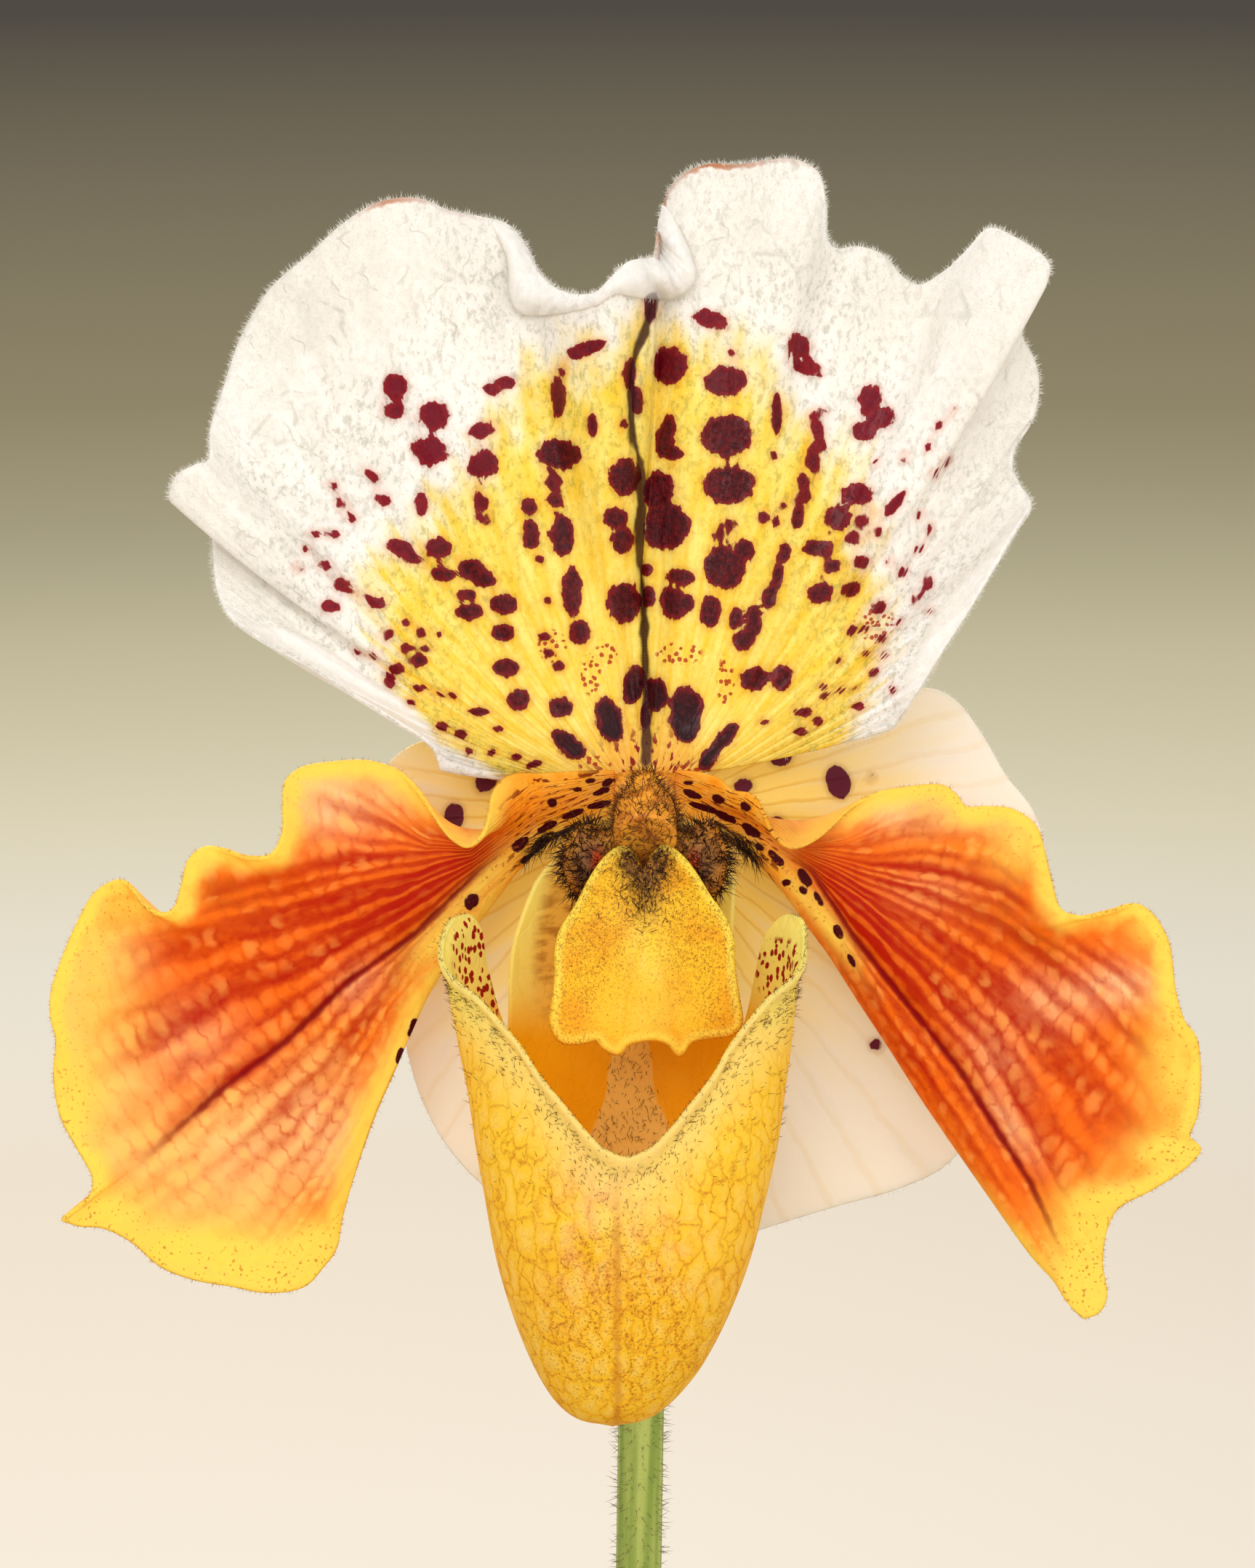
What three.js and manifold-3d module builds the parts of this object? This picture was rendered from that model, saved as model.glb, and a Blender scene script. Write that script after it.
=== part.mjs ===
// A slipper orchid of the Paphiopedilum kind in a plain clay pot, with one large bloom on a hairy scape.
// Units are millimetres and +Z is up. The origin is the centre of the pot's underside, and the bloom faces -Y.
// The bloom is drawn in its own frame: x to the viewer's right, y up the bloom and z towards the viewer.
// Its edges were read off a picture taken straight at its face, so every edge point is [x, y, z] as seen there.

import * as THREE from 'three';
import { mergeVertices } from 'three/addons/utils/BufferGeometryUtils.js';
import Module from 'manifold-3d';

const wasm = await Module();
wasm.setup();

const DEG = Math.PI / 180;

// Driving dimensions of the plant
const POT_HEIGHT = 95;
const POT_FOOT_RADIUS = 35;
const POT_LIP_RADIUS = 54;
const POT_BAND_HEIGHT = 20;
const POT_WALL = 5;
const POT_FLOOR = 6;
const EASE = 1.3;
const DRAIN = { radius: 4.5, fromCentre: 19, count: 4 };
const BARK_LEVEL = 82;
const GAP = 0.3;
const PIT = { halfLength: 29, halfWidth: 10, floor: 74 };
const BLOOM_CENTRE = [0, -38, 312];
const BLOOM_FACES_UP = 15 * DEG;
const VIEW_DISTANCE = 600;
const TEPAL_THICKNESS = 0.7;
const LIP_THICKNESS = 0.9;
const LEAF_THICKNESS = 1.3;
const NORMAL_PASSES = 6;
const SCAPE_RADIUS = 2.2;

const COLOURS = {
  clay: [0.62, 0.3, 0.19],
  bark: [0.25, 0.15, 0.09],
  leaf: [0.16, 0.3, 0.08],
  stem: [0.3, 0.33, 0.12],
  sepal: [0.93, 0.88, 0.72],
  petal: [0.86, 0.42, 0.1],
  lip: [0.9, 0.66, 0.16],
  column: [0.88, 0.62, 0.1],
};

// A small repeatable random source
function seededRandom(seed) {
  let state = seed;
  return () => {
    state = (state * 1664525 + 1013904223) % 4294967296;
    return state / 4294967296;
  };
}

function smooth(from, to, value) {
  const share = Math.min(1, Math.max(0, (value - from) / (to - from)));
  return share * share * (3 - 2 * share);
}

// A value read off a short table of [position, value] rows, on a smooth curve that never overshoots a row
function slopeAt(rows, k) {
  if (k === 0 || k === rows.length - 1) return 0;
  const [[x0, y0], [x1, y1], [x2, y2]] = rows.slice(k - 1, k + 2);
  const [before, after] = [(y1 - y0) / (x1 - x0), (y2 - y1) / (x2 - x1)];
  return before * after <= 0 ? 0 : (2 * before * after) / (before + after);
}

function along(rows, position) {
  const next = rows.findIndex((row) => row[0] >= position);
  if (next === 0) return rows[0][1];
  if (next < 0) return rows[rows.length - 1][1];
  const [[from, low], [to, high]] = [rows[next - 1], rows[next]];
  const span = to - from;
  const u = (position - from) / span;
  const bend = u * (1 - u) * span * (slopeAt(rows, next - 1) * (1 - u) - slopeAt(rows, next) * u);
  return low + (high - low) * u * u * (3 - 2 * u) + bend;
}

// Brings a point as seen in the picture to its place at depth z in front of the bloom's plane
function placed([x, y, z]) {
  const shrink = 1 - z / VIEW_DISTANCE;
  return new THREE.Vector3(x * shrink, y * shrink, z);
}

function rail(points) {
  return new THREE.CatmullRomCurve3(points.map(placed), false, 'catmullrom', 0.5);
}

// Geometry helpers: a sheet is a list of points with triangles, and thicken closes it into a solid
function geometryOf(points, triangles) {
  const geometry = new THREE.BufferGeometry();
  geometry.setAttribute('position', new THREE.Float32BufferAttribute(points.flatMap((p) => p.toArray()), 3));
  geometry.setIndex(triangles.flat());
  geometry.computeVertexNormals();
  return geometry;
}

function vertexNormals(points, triangles) {
  const normals = points.map(() => new THREE.Vector3());
  for (const [a, b, c] of triangles) {
    const ab = points[b].clone().sub(points[a]);
    const face = ab.cross(points[c].clone().sub(points[a]));
    for (const corner of [a, b, c]) normals[corner].add(face);
  }
  return normals.map((normal) => normal.normalize());
}

// Directions averaged with their neighbours' keep thin slivers of a waved sheet from crossing once thickened
function calmedNormals(normals, triangles) {
  const sums = normals.map((normal) => normal.clone());
  for (const face of triangles) {
    for (const corner of face) for (const other of face) sums[corner].add(normals[other]);
  }
  return sums.map((sum) => sum.normalize());
}

function signedVolume(points, triangles) {
  return triangles.reduce((sum, [a, b, c]) => sum + points[a].dot(points[b].clone().cross(points[c])) / 6, 0);
}

function thicken(points, triangles, thickness) {
  let normals = vertexNormals(points, triangles);
  for (let pass = 0; pass < NORMAL_PASSES; pass++) normals = calmedNormals(normals, triangles);
  const count = points.length;
  const shifted = (side) => points.map((p, i) => p.clone().addScaledVector(normals[i], (side * thickness) / 2));
  const all = [...shifted(1), ...shifted(-1)];
  const faces = [...triangles, ...triangles.map(([a, b, c]) => [c + count, b + count, a + count])];
  const seen = new Set(triangles.flatMap(([a, b, c]) => [`${a},${b}`, `${b},${c}`, `${c},${a}`]));
  for (const edge of seen) {
    const [a, b] = edge.split(',').map(Number);
    if (!seen.has(`${b},${a}`)) faces.push([b, a, a + count], [b, a + count, b + count]);
  }
  if (signedVolume(all, faces) < 0) faces.forEach((face) => face.reverse());
  return geometryOf(all, faces);
}

function gridTriangles(rows, columns, indexOf) {
  const triangles = [];
  for (let i = 0; i < rows; i++) {
    for (let j = 0; j < columns; j++) {
      const [a, b, c, d] = [indexOf(i, j), indexOf(i, j + 1), indexOf(i + 1, j + 1), indexOf(i + 1, j)];
      for (const face of [[a, b, c], [a, c, d]]) if (new Set(face).size === 3) triangles.push(face);
    }
  }
  return triangles;
}

// A tepal hangs between two edges and a midrib that start at its base. The veins leave the midrib up to the
// share "fan" of its length and sweep forward to the edge, and a ruffle dies out towards the midrib.
const RUFFLE_POWER = 3;
const CALM_SAMPLES = 4;
const END_ZONE = 0.2;

function calmed(curve, t, window) {
  const reach = window * Math.min(1, t / END_ZONE, (1 - t) / END_ZONE);
  const sum = new THREE.Vector3();
  for (let k = -CALM_SAMPLES; k <= CALM_SAMPLES; k++) {
    sum.add(curve.getPoint(Math.min(1, Math.max(0, t + (reach * k) / CALM_SAMPLES))));
  }
  return sum.divideScalar(2 * CALM_SAMPLES + 1);
}

function tepalPoint(tepal, t, across) {
  const { left, right, midrib, fan, calm, pace } = tepal;
  const [ta, tb] = [t ** pace[0], t ** pace[1]];
  const [a, b] = [calmed(left, ta, calm), calmed(right, tb, calm)];
  const root = midrib.getPoint(fan * t);
  const point = root.clone();
  point.addScaledVector(b.clone().sub(a), across / 2);
  point.addScaledVector(a.clone().add(b).divideScalar(2).sub(root), across * across);
  const [edge, quiet] = across < 0 ? [left.getPoint(ta), a] : [right.getPoint(tb), b];
  point.addScaledVector(edge.sub(quiet), Math.abs(across) ** RUFFLE_POWER);
  point.z += tepal.relief(point);
  return point;
}

function tepalSolid(spec, rows, half) {
  const tepal = {
    left: rail(spec.left),
    right: rail(spec.right),
    midrib: rail(spec.midrib),
    fan: spec.fan,
    calm: spec.calm,
    pace: spec.pace ?? [1, 1],
    relief: spec.relief ?? (() => 0),
  };
  const points = [];
  for (let i = 0; i <= rows; i++) {
    for (let j = -half; j <= half; j++) {
      const across = (Math.sign(j) * (1 - Math.cos((Math.PI * Math.abs(j)) / half))) / 2;
      points.push(tepalPoint(tepal, i / rows, across));
    }
  }
  const width = 2 * half + 1;
  const indexOf = (i, j) => i * width + (i === rows && j < half ? 2 * half - j : j);
  return compact(points, gridTriangles(rows, 2 * half, indexOf), spec.thickness ?? TEPAL_THICKNESS);
}

// Drops points that no triangle uses, then thickens
function compact(points, triangles, thickness) {
  const used = [...new Set(triangles.flat())];
  const place = new Map(used.map((index, k) => [index, k]));
  return thicken(used.map((i) => points[i]), triangles.map((face) => face.map((i) => place.get(i))), thickness);
}

// The dorsal sepal: an upright white fan, creased down its middle
const CREASE_DEPTH = 1.8;
const CREASE_WIDTH = 2.4;
const DORSAL = {
  fan: 0.42,
  calm: 0.1,
  relief: (p) => -CREASE_DEPTH * Math.exp(-((p.x / CREASE_WIDTH) ** 2)) * smooth(4, 12, p.y),
  midrib: [[0, 3.4, -1.4], [-0.2, 14, -1.6], [-0.6, 26, -1], [-0.4, 38, 0.6], [1, 51.2, 3.5]],
  left: [
    [-18.6, 4.2, 2], [-19.6, 6.4, 3], [-23, 8.7, 3.6],
    [-27, 11.2, 3.8], [-31.2, 14, 3.6], [-35, 16, 3], [-38, 18.2, 2], [-39.2, 21, 0.5], [-39.5, 24.5, -1.5],
    [-39.7, 27.4, -2.6], [-41.2, 28.6, -0.6], [-43.4, 28.9, 2.4], [-42.9, 31, 3.8], [-41.2, 32, 4.2],
    [-39.9, 32.6, 2.5], [-39.7, 35.5, -0.5], [-38.4, 39.5, -2], [-36.8, 44, -2], [-34.2, 48.2, -1],
    [-30.8, 51.2, 0.5], [-27.5, 54.2, 2], [-24.2, 56.1, 3], [-20.8, 56.4, 2.5], [-18, 55.3, 1],
    [-15, 54.7, -1], [-12.6, 54, -2], [-10.9, 52, -2], [-9.8, 49.7, -0.5], [-8, 48.1, 2], [-5.5, 47.6, 4.2],
    [-3.7, 48.2, 5.6], [-2.4, 50, 6], [-0.6, 50.8, 5.4], [1, 51.2, 3.5],
  ],
  right: [
    [22.6, 8, 1.2], [25, 11.5, 3],
    [27, 14.8, 3.6], [29.4, 18.5, 3.8], [32, 22.8, 3.4], [34, 26.2, 2.5], [35.3, 28.4, 1], [34.3, 30.2, -0.5],
    [33.6, 32, -2], [34.1, 34.2, -3], [35.5, 36.4, -3.5], [36, 39, -3.5], [35.7, 41.4, -3], [34.5, 43.8, -1.5],
    [34.4, 45.4, 1], [36, 47.5, 3.5], [37, 49.8, 4.5], [36.4, 51.2, 4.5], [34, 52.8, 3.5], [31.6, 53.7, 2],
    [29.8, 51.9, 0], [27.8, 50, -1.5], [25.4, 48.5, -2], [23.6, 49.2, -1], [21.8, 51.2, 1], [19.5, 52, 2.5],
    [17.6, 51.8, 2], [16.6, 53, 0], [16.5, 56, -2], [15.8, 58.8, -3], [13.5, 60, -2.5], [10.8, 59.8, -1],
    [8.5, 59.5, 0.5], [5.5, 59.5, 1.5], [2.9, 58.1, 1], [1.8, 55.8, 0.5], [1.3, 53.6, 1.5], [1, 51.2, 3.5],
  ],
};

// The synsepal: the two lower sepals grown together, behind the lip
const SYNSEPAL = {
  fan: 0.5,
  calm: 0.08,
  midrib: [[0, -0.6, -3.6], [0, -12, -4.4], [-0.5, -26, -6.6], [0, -40.5, -10]],
  left: [
    [-2.6, 2, -3.6], [-7, 4.5, -4], [-12, 6.5, -4.5], [-17, 7.2, -5], [-20.5, 6.6, -5.5], [-23.2, 4.8, -6],
    [-24.6, 1.6, -5.6], [-24.4, -3, -6.5], [-24, -9, -7.4], [-23, -15, -7.2], [-21.8, -21, -8],
    [-20.3, -26, -8.8], [-17.8, -30.5, -8.6], [-14, -34.5, -9], [-9, -38, -10], [-4, -40, -10], [0, -40.5, -10],
  ],
  right: [
    [2.6, 2, -3.6], [8, 5, -4], [14, 8, -5], [20, 10.5, -5.6], [25.5, 11.5, -6.4], [28.5, 10.3, -7.4],
    [31, 7, -8], [33, 3.5, -7.6], [35.6, 0, -7.6], [36.8, -5, -8.6], [36.5, -11, -9.4], [35, -17, -9],
    [32.8, -23, -8.4], [30.5, -28, -9], [27.5, -32, -9.2], [23, -34.2, -8], [18, -35.6, -7.4], [12, -37.4, -8.4],
    [6, -39.3, -9.6], [0, -40.5, -10],
  ],
};

// The petals, waved along their upper edges
const PETAL_LEFT = {
  fan: 0.85,
  calm: 0.1,
  pace: [1.3, 1],
  midrib: [
    [-2.9, 2.2, 1], [-10, -0.8, 1.3], [-16, -5.2, 1.6], [-22, -10.5, 1.8], [-28, -16, 2], [-34, -21.4, 2.2],
    [-40, -26.6, 3], [-46, -31.6, 4.5], [-50, -34.6, 6], [-53.4, -37, 8],
  ],
  left: [
    [-2.9, 0.4, 0.9], [-6, -0.9, 0.8], [-9, -2.5, 0.6], [-11.6, -4.8, 0.3], [-13.6, -7.4, 0.2], [-16, -10.5, 0.2],
    [-18.4, -13.6, 0.3], [-20.2, -16.6, 0.6], [-21.4, -19.4, 1], [-23, -23.2, 1.2], [-24.6, -26.8, 1.2],
    [-25.8, -30, 1.3], [-26.9, -33.4, 1.6], [-27.8, -36.6, 2.3], [-28.4, -39.6, 3.2], [-29.6, -41.3, 3.8],
    [-31.4, -43.1, 4.4], [-34.6, -43.6, 4.8], [-38, -43, 4.4], [-41.4, -42.4, 3.8], [-44.4, -41.2, 4],
    [-47, -39, 5], [-49.6, -37.7, 6], [-51.8, -37.5, 7], [-53.4, -37, 8],
  ],
  right: [
    [-2.9, 4, 1.2], [-6, 3.9, 1.5], [-9.5, 3.7, 2], [-12.2, 3.6, 2.5], [-13.8, 2.2, 3.5], [-14.3, 0, 4.6],
    [-15, -1.9, 5.6], [-16.3, -2.8, 6], [-17.8, -2, 5.4], [-19.2, -0.2, 4], [-20.8, 2.3, 2.2], [-22.6, 4, 0.8],
    [-25.4, 4.9, 0], [-28.6, 4.8, 0], [-31.4, 4.3, 0.5], [-32.9, 3, 1.5], [-33.1, 0.6, 3], [-33.2, -1.7, 4.5],
    [-34.3, -3.6, 5.5], [-36.6, -3.8, 5], [-38.7, -3.1, 4], [-40.4, -3, 3.5], [-41.8, -4.2, 4], [-42.4, -6.4, 5],
    [-43.1, -8.5, 6.2], [-44.5, -9, 6.5], [-46, -8.1, 6], [-47.1, -6.6, 5], [-48.3, -6, 4], [-50.4, -7.2, 3.5],
    [-52, -10, 3.5], [-53.3, -13, 4], [-54.3, -16, 5], [-54.4, -18.4, 6], [-53.9, -20.6, 6], [-54.1, -24, 5],
    [-53.5, -27.5, 4.5], [-52, -30.4, 5], [-50.6, -33, 6], [-50.8, -34.8, 7], [-52.2, -36, 7.6], [-53.4, -37, 8],
  ],
};

const PETAL_RIGHT = {
  fan: 0.8,
  calm: 0.1,
  pace: [1.1, 0.9],
  midrib: [
    [2.9, 2.2, 1], [8, 0.2, 1.5], [13.5, -4, 2], [18, -9, 2.6], [23, -15.5, 3], [27.5, -21.6, 3],
    [31.5, -27.5, 3], [35, -33.5, 3.2], [37.2, -38.5, 4], [39, -43, 5.5], [40.3, -46, 7],
  ],
  left: [
    [2.9, 0.4, 0.9], [6, -1.2, 0.8], [9, -3.2, 0.6], [12.2, -5.9, 0.3], [15, -8.6, 0], [17.2, -11.3, -0.5],
    [19.2, -14, -1], [21.4, -17.4, -1.5], [24, -21.5, -1.5], [26.6, -25.7, -1.5], [29.2, -30.2, -1],
    [31.4, -34, 0], [33.6, -37.6, 1.5], [35.8, -40.6, 3], [37.6, -42.6, 4.5], [39, -44.8, 6], [40.3, -46, 7],
  ],
  right: [
    [2.9, 4, 1.2], [5, 3.8, 1.6], [6.8, 3.2, 2.2], [8, 2.2, 2.8], [9.8, 1.8, 3.6], [10.8, 0.3, 4.6],
    [11.8, -1.7, 5.8], [13.2, -2.9, 6.4], [15, -2.5, 5.6], [16.8, -1.2, 4], [18.6, 0.5, 2.4], [21, 1.9, 1],
    [24, 2.5, 0], [27, 2.7, -0.3], [28.4, 1.9, 0.2], [29.4, 0.7, 1], [31.5, 0.7, 1], [33.8, 0.4, 0.5],
    [35.8, -1.1, 0.5], [36.6, -3.7, 1.2], [37.2, -6.2, 2.5], [38, -8.6, 4], [40, -9.3, 4.8], [42.6, -8.8, 4],
    [44.9, -8.2, 3], [46.6, -9.3, 2.6], [47.8, -11.4, 3], [48.2, -13.4, 3.8], [48.5, -16, 4.5], [49.3, -18.8, 4.2],
    [50.5, -20.6, 3.5], [50.8, -24, 3], [50.5, -27.4, 3.6], [49.8, -29.4, 5], [50.8, -30.6, 6.5],
    [49.2, -32.4, 7], [46.2, -34.3, 6.5], [43.4, -35.8, 6], [42.2, -38, 5.5], [41.8, -41, 5.5], [42.2, -43.8, 6],
    [41.6, -45.4, 6.5], [40.3, -46, 7],
  ],
};

// The lip: a deep pouch whose front rim is cut down in a V, with a rounded ear at each side, a notch behind
// each ear and a back wall that runs up to the column. Angles run from the front, 0, to the back, 180.
const LIP = {
  toe: -55.7,
  rim: [
    [0, -31.5], [8, -31], [14, -29.4], [21, -27], [29, -24], [35, -21], [42, -18.8], [51, -16.6], [64, -15],
    [76, -13.6], [90, -11.2], [100, -9.6], [110, -9.2], [118, -10.4], [123, -14], [127, -18.6], [130, -20.2],
    [133, -18], [137, -11.6], [142, -6], [150, -4], [164, -3.4], [180, -3.4],
  ],
  centre: [[-55.7, -3], [-50, -2.5], [-40, -2], [-28, -1.7], [-13, -2.1], [-3, -0.6]],
  halfWidth: [
    [-55.7, 0], [-55.2, 2.9], [-54.2, 4.8], [-52.6, 6.5], [-50, 8.4], [-45, 10.9], [-40, 12.7], [-35, 13.9],
    [-30, 15], [-25, 15.8], [-20, 16.7], [-13, 17.6], [-3, 17.6],
  ],
  front: [
    [-55.7, 9.5], [-55.2, 12.2], [-54.2, 14], [-52, 16], [-48, 18.4], [-42, 20.6], [-36, 21.8], [-30, 22], [-3, 21],
  ],
  back: [
    [-55.7, 9.5], [-55.2, 7], [-54.2, 5.4], [-52, 3.6], [-48, 1.6], [-42, 0], [-34, -0.8], [-22, -0.4], [-12, 1.4],
    [-3, 1.6],
  ],
  backNarrowing: 0.2,
};

function lipPoint(degrees, share) {
  const turn = degrees > 180 ? 360 - degrees : degrees;
  const top = along(LIP.rim, turn);
  const y = LIP.toe + (top - LIP.toe) * share ** 1.6;
  const [front, back] = [along(LIP.front, y), along(LIP.back, y)];
  const narrowing = 1 - (LIP.backNarrowing * (1 - Math.cos(turn * DEG))) / 2;
  const x = along(LIP.centre, y) + along(LIP.halfWidth, y) * Math.sin(degrees * DEG) * narrowing;
  return placed([x, y, back + ((front - back) * (1 + Math.cos(degrees * DEG))) / 2]);
}

function lipSolid() {
  const stations = [
    0, 8, 16, 24, 32, 40, 51, 64, 77, 90, 101, 112, 119, 124, 130, 135, 140, 147, 157, 169,
  ];
  const round = [...stations, 180, ...stations.slice(1).reverse().map((angle) => 360 - angle)];
  const shares = [0, 0.12, 0.24, 0.36, 0.48, 0.6, 0.72, 0.82, 0.91, 1];
  const points = shares.flatMap((share) => round.map((angle) => lipPoint(angle, share)));
  const indexOf = (i, j) => (i === 0 ? 0 : i * round.length + (j % round.length));
  return compact(points, gridTriangles(shares.length - 1, round.length, indexOf), LIP_THICKNESS);
}

// Solids by union, cut and intersection
function solid(geometry) {
  const bare = geometry.clone();
  for (const name of Object.keys(bare.attributes)) if (name !== 'position') bare.deleteAttribute(name);
  const merged = mergeVertices(bare, 1e-4);
  return new wasm.Manifold(new wasm.Mesh({
    numProp: 3,
    vertProperties: merged.attributes.position.array,
    triVerts: new Uint32Array(merged.index.array),
  }));
}

function geometryFrom(manifold) {
  const mesh = manifold.getMesh();
  const geometry = new THREE.BufferGeometry();
  geometry.setAttribute('position', new THREE.BufferAttribute(mesh.vertProperties, 3));
  geometry.setIndex(new THREE.BufferAttribute(mesh.triVerts, 1));
  return geometry;
}

// A round stalk along a curve, with a radius for each share of its length
function stalk(curve, radiusAt, sides, steps) {
  const frames = curve.computeFrenetFrames(steps, false);
  const points = [];
  for (let i = 0; i <= steps; i++) {
    const centre = curve.getPointAt(i / steps);
    for (let k = 0; k < sides; k++) {
      const angle = (2 * Math.PI * k) / sides;
      const radius = radiusAt(i / steps, angle);
      points.push(centre.clone()
        .addScaledVector(frames.normals[i], radius * Math.cos(angle))
        .addScaledVector(frames.binormals[i], radius * Math.sin(angle)));
    }
  }
  const triangles = gridTriangles(steps, sides, (i, j) => i * sides + (j % sides));
  for (const [ring, flip] of [[0, false], [steps, true]]) {
    const hub = points.push(curve.getPointAt(ring / steps)) - 1;
    for (let k = 0; k < sides; k++) {
      const [a, b] = [ring * sides + k, ring * sides + ((k + 1) % sides)];
      triangles.push(flip ? [a, b, hub] : [b, a, hub]);
    }
  }
  if (signedVolume(points, triangles) < 0) triangles.forEach((face) => face.reverse());
  return geometryOf(points, triangles);
}

function ellipsoid(centre, radii, widthSegments = 12, heightSegments = 8) {
  const geometry = new THREE.SphereGeometry(1, widthSegments, heightSegments);
  geometry.scale(...radii);
  geometry.translate(...centre);
  return geometry;
}

// The column: a hairy stub, the shield that closes the pouch, and an anther at each side
const SHIELD = {
  fan: 0.5,
  calm: 0.02,
  thickness: 1.1,
  midrib: [[-0.2, -5, 11.8], [0, -9.5, 13.6], [0, -15, 14.6], [0, -20.4, 13.6]],
  left: [
    [-0.8, -3.9, 11], [-2.1, -2.9, 10.6], [-3.6, -3.9, 10.8], [-4.9, -5.7, 11.2], [-6.2, -8.2, 12],
    [-7.6, -10.4, 12.4], [-8.1, -12.4, 12.6], [-8.1, -14.8, 12.8], [-8.4, -17.2, 12.8], [-8.5, -19.2, 12.6],
    [-7.6, -20.6, 12.6], [-5.8, -20.7, 12.8], [-4.5, -20.4, 13], [-3.7, -21.2, 13], [-2.5, -21.7, 13],
    [-1.6, -20.8, 13.4], [0, -20.4, 13.6],
  ],
  right: [
    [0.5, -3.9, 11], [1.7, -2.8, 10.6], [3.2, -3.7, 10.8], [4.5, -5.3, 11.2], [5.8, -7.4, 12], [7.2, -9.4, 12.4],
    [7.9, -11.4, 12.6], [8, -13.8, 12.8], [8.4, -16.6, 12.8], [8.7, -18.8, 12.6], [7.9, -19.9, 12.6],
    [5.8, -20.2, 12.8], [4.2, -20.6, 13], [3.2, -21.8, 13], [2.2, -20.8, 13.4], [1, -20.4, 13.5], [0, -20.4, 13.6],
  ],
};

function columnSolid() {
  const core = new THREE.CatmullRomCurve3([[0, 0.6, -2.5], [0, 0.8, 3], [0, 0.2, 7.5], [0, -2.2, 11]]
    .map((p) => new THREE.Vector3(...p)));
  const body = solid(stalk(core, (share) => 2.1 + 1.3 * smooth(0.3, 0.85, share), 12, 8));
  const crest = solid(ellipsoid([0, 2.4, 6.6], [1.7, 3, 3.4]));
  const anthers = [-1, 1].map((side) => solid(ellipsoid([side * 5.1, -4.2, 7.8], [2.4, 3.5, 1.6])));
  const bar = solid(ellipsoid([0, -2.6, 8.2], [5, 1.7, 1.7]));
  const shield = solid(tepalSolid(SHIELD, 22, 4));
  return geometryFrom([crest, ...anthers, bar, shield].reduce((whole, piece) => whole.add(piece), body));
}

// The ovary bends from behind the bloom down to the scape. Its six low ribs run its whole length.
const OVARY_PATH = [[0, -0.4, -5], [0, -2.6, -14], [0, -12, -22], [0, -25, -27], [0, -38, -31.5]];
const OVARY_RADIUS = [[0, 2.4], [0.12, 2.6], [0.4, 3.3], [0.7, 3.1], [1, 2.3]];
const RIBS = 6;

function ovarySolid() {
  const curve = new THREE.CatmullRomCurve3(OVARY_PATH.map((p) => new THREE.Vector3(...p)));
  const radius = (share, angle) => along(OVARY_RADIUS, share) * (1 + 0.08 * Math.cos(RIBS * angle));
  return stalk(curve, radius, 12, 14);
}

// The bract is a folded green sheath behind the foot of the ovary
const BRACT = { foot: [0, -39.5, -32.2], tip: [0, -11, -28.6], footRadius: 3.4, topRadius: 5.6, spread: 128 * DEG };

function bractSolid() {
  const [foot, tip] = [new THREE.Vector3(...BRACT.foot), new THREE.Vector3(...BRACT.tip)];
  const axis = tip.clone().sub(foot).normalize();
  const sideways = new THREE.Vector3(1, 0, 0);
  const backward = sideways.clone().cross(axis).normalize();
  if (backward.z > 0) backward.negate();
  const [rows, columns] = [9, 10];
  const points = [];
  for (let i = 0; i <= rows; i++) {
    const share = i / rows;
    const radius = BRACT.footRadius + (BRACT.topRadius - BRACT.footRadius) * share;
    const spread = BRACT.spread * Math.sqrt(1 - 0.985 * share ** 1.6);
    for (let j = 0; j <= columns; j++) {
      const angle = spread * ((2 * j) / columns - 1);
      points.push(foot.clone().lerp(tip, share)
        .addScaledVector(sideways, radius * Math.sin(angle))
        .addScaledVector(backward, radius * Math.cos(angle) - radius * 0.25));
    }
  }
  return thicken(points, gridTriangles(rows, columns, (i, j) => i * (columns + 1) + j), 0.7);
}

// The scape stands in the bark and leans forward to the bloom
const SCAPE_FOOT = [[0, 0, PIT.floor + GAP], [0.8, -0.5, 130], [-0.6, -7, 200]];

function scapeSolid(top) {
  const curve = new THREE.CatmullRomCurve3([...SCAPE_FOOT.map((p) => new THREE.Vector3(...p)), top]);
  return stalk(curve, (share) => SCAPE_RADIUS * (1.12 - 0.12 * share), 10, 16);
}

// Strap leaves in two ranks. A leaf arches in a vertical plane: its lean from upright grows along its length.
const LEAVES = [
  { side: 1, rank: 0, length: 138, width: 31, lean: [4, 62], turn: 9 },
  { side: -1, rank: 0.35, length: 152, width: 33, lean: [6, 74], turn: -12 },
  { side: 1, rank: 1, length: 168, width: 36, lean: [13, 88], turn: -10 },
  { side: -1, rank: 1.35, length: 176, width: 37, lean: [16, 98], turn: 12 },
  { side: 1, rank: 2, length: 172, width: 37, lean: [26, 108], turn: 14 },
  { side: -1, rank: 2.35, length: 166, width: 36, lean: [30, 114], turn: -8 },
  { side: 1, rank: 3, length: 128, width: 33, lean: [34, 112], turn: -6 },
];
const LEAF_FOOT = { innermost: 5.8, step: 4.1, halfWidth: 4.3 };
const LEAF_WIDTH = [[0, 0.28], [0.12, 0.4], [0.3, 0.82], [0.5, 1], [0.72, 0.97], [0.88, 0.74], [0.96, 0.42], [1, 0.06]];
const LEAF_FOLD = [[0, 46], [0.15, 38], [0.4, 20], [0.8, 12], [1, 6]];

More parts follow.
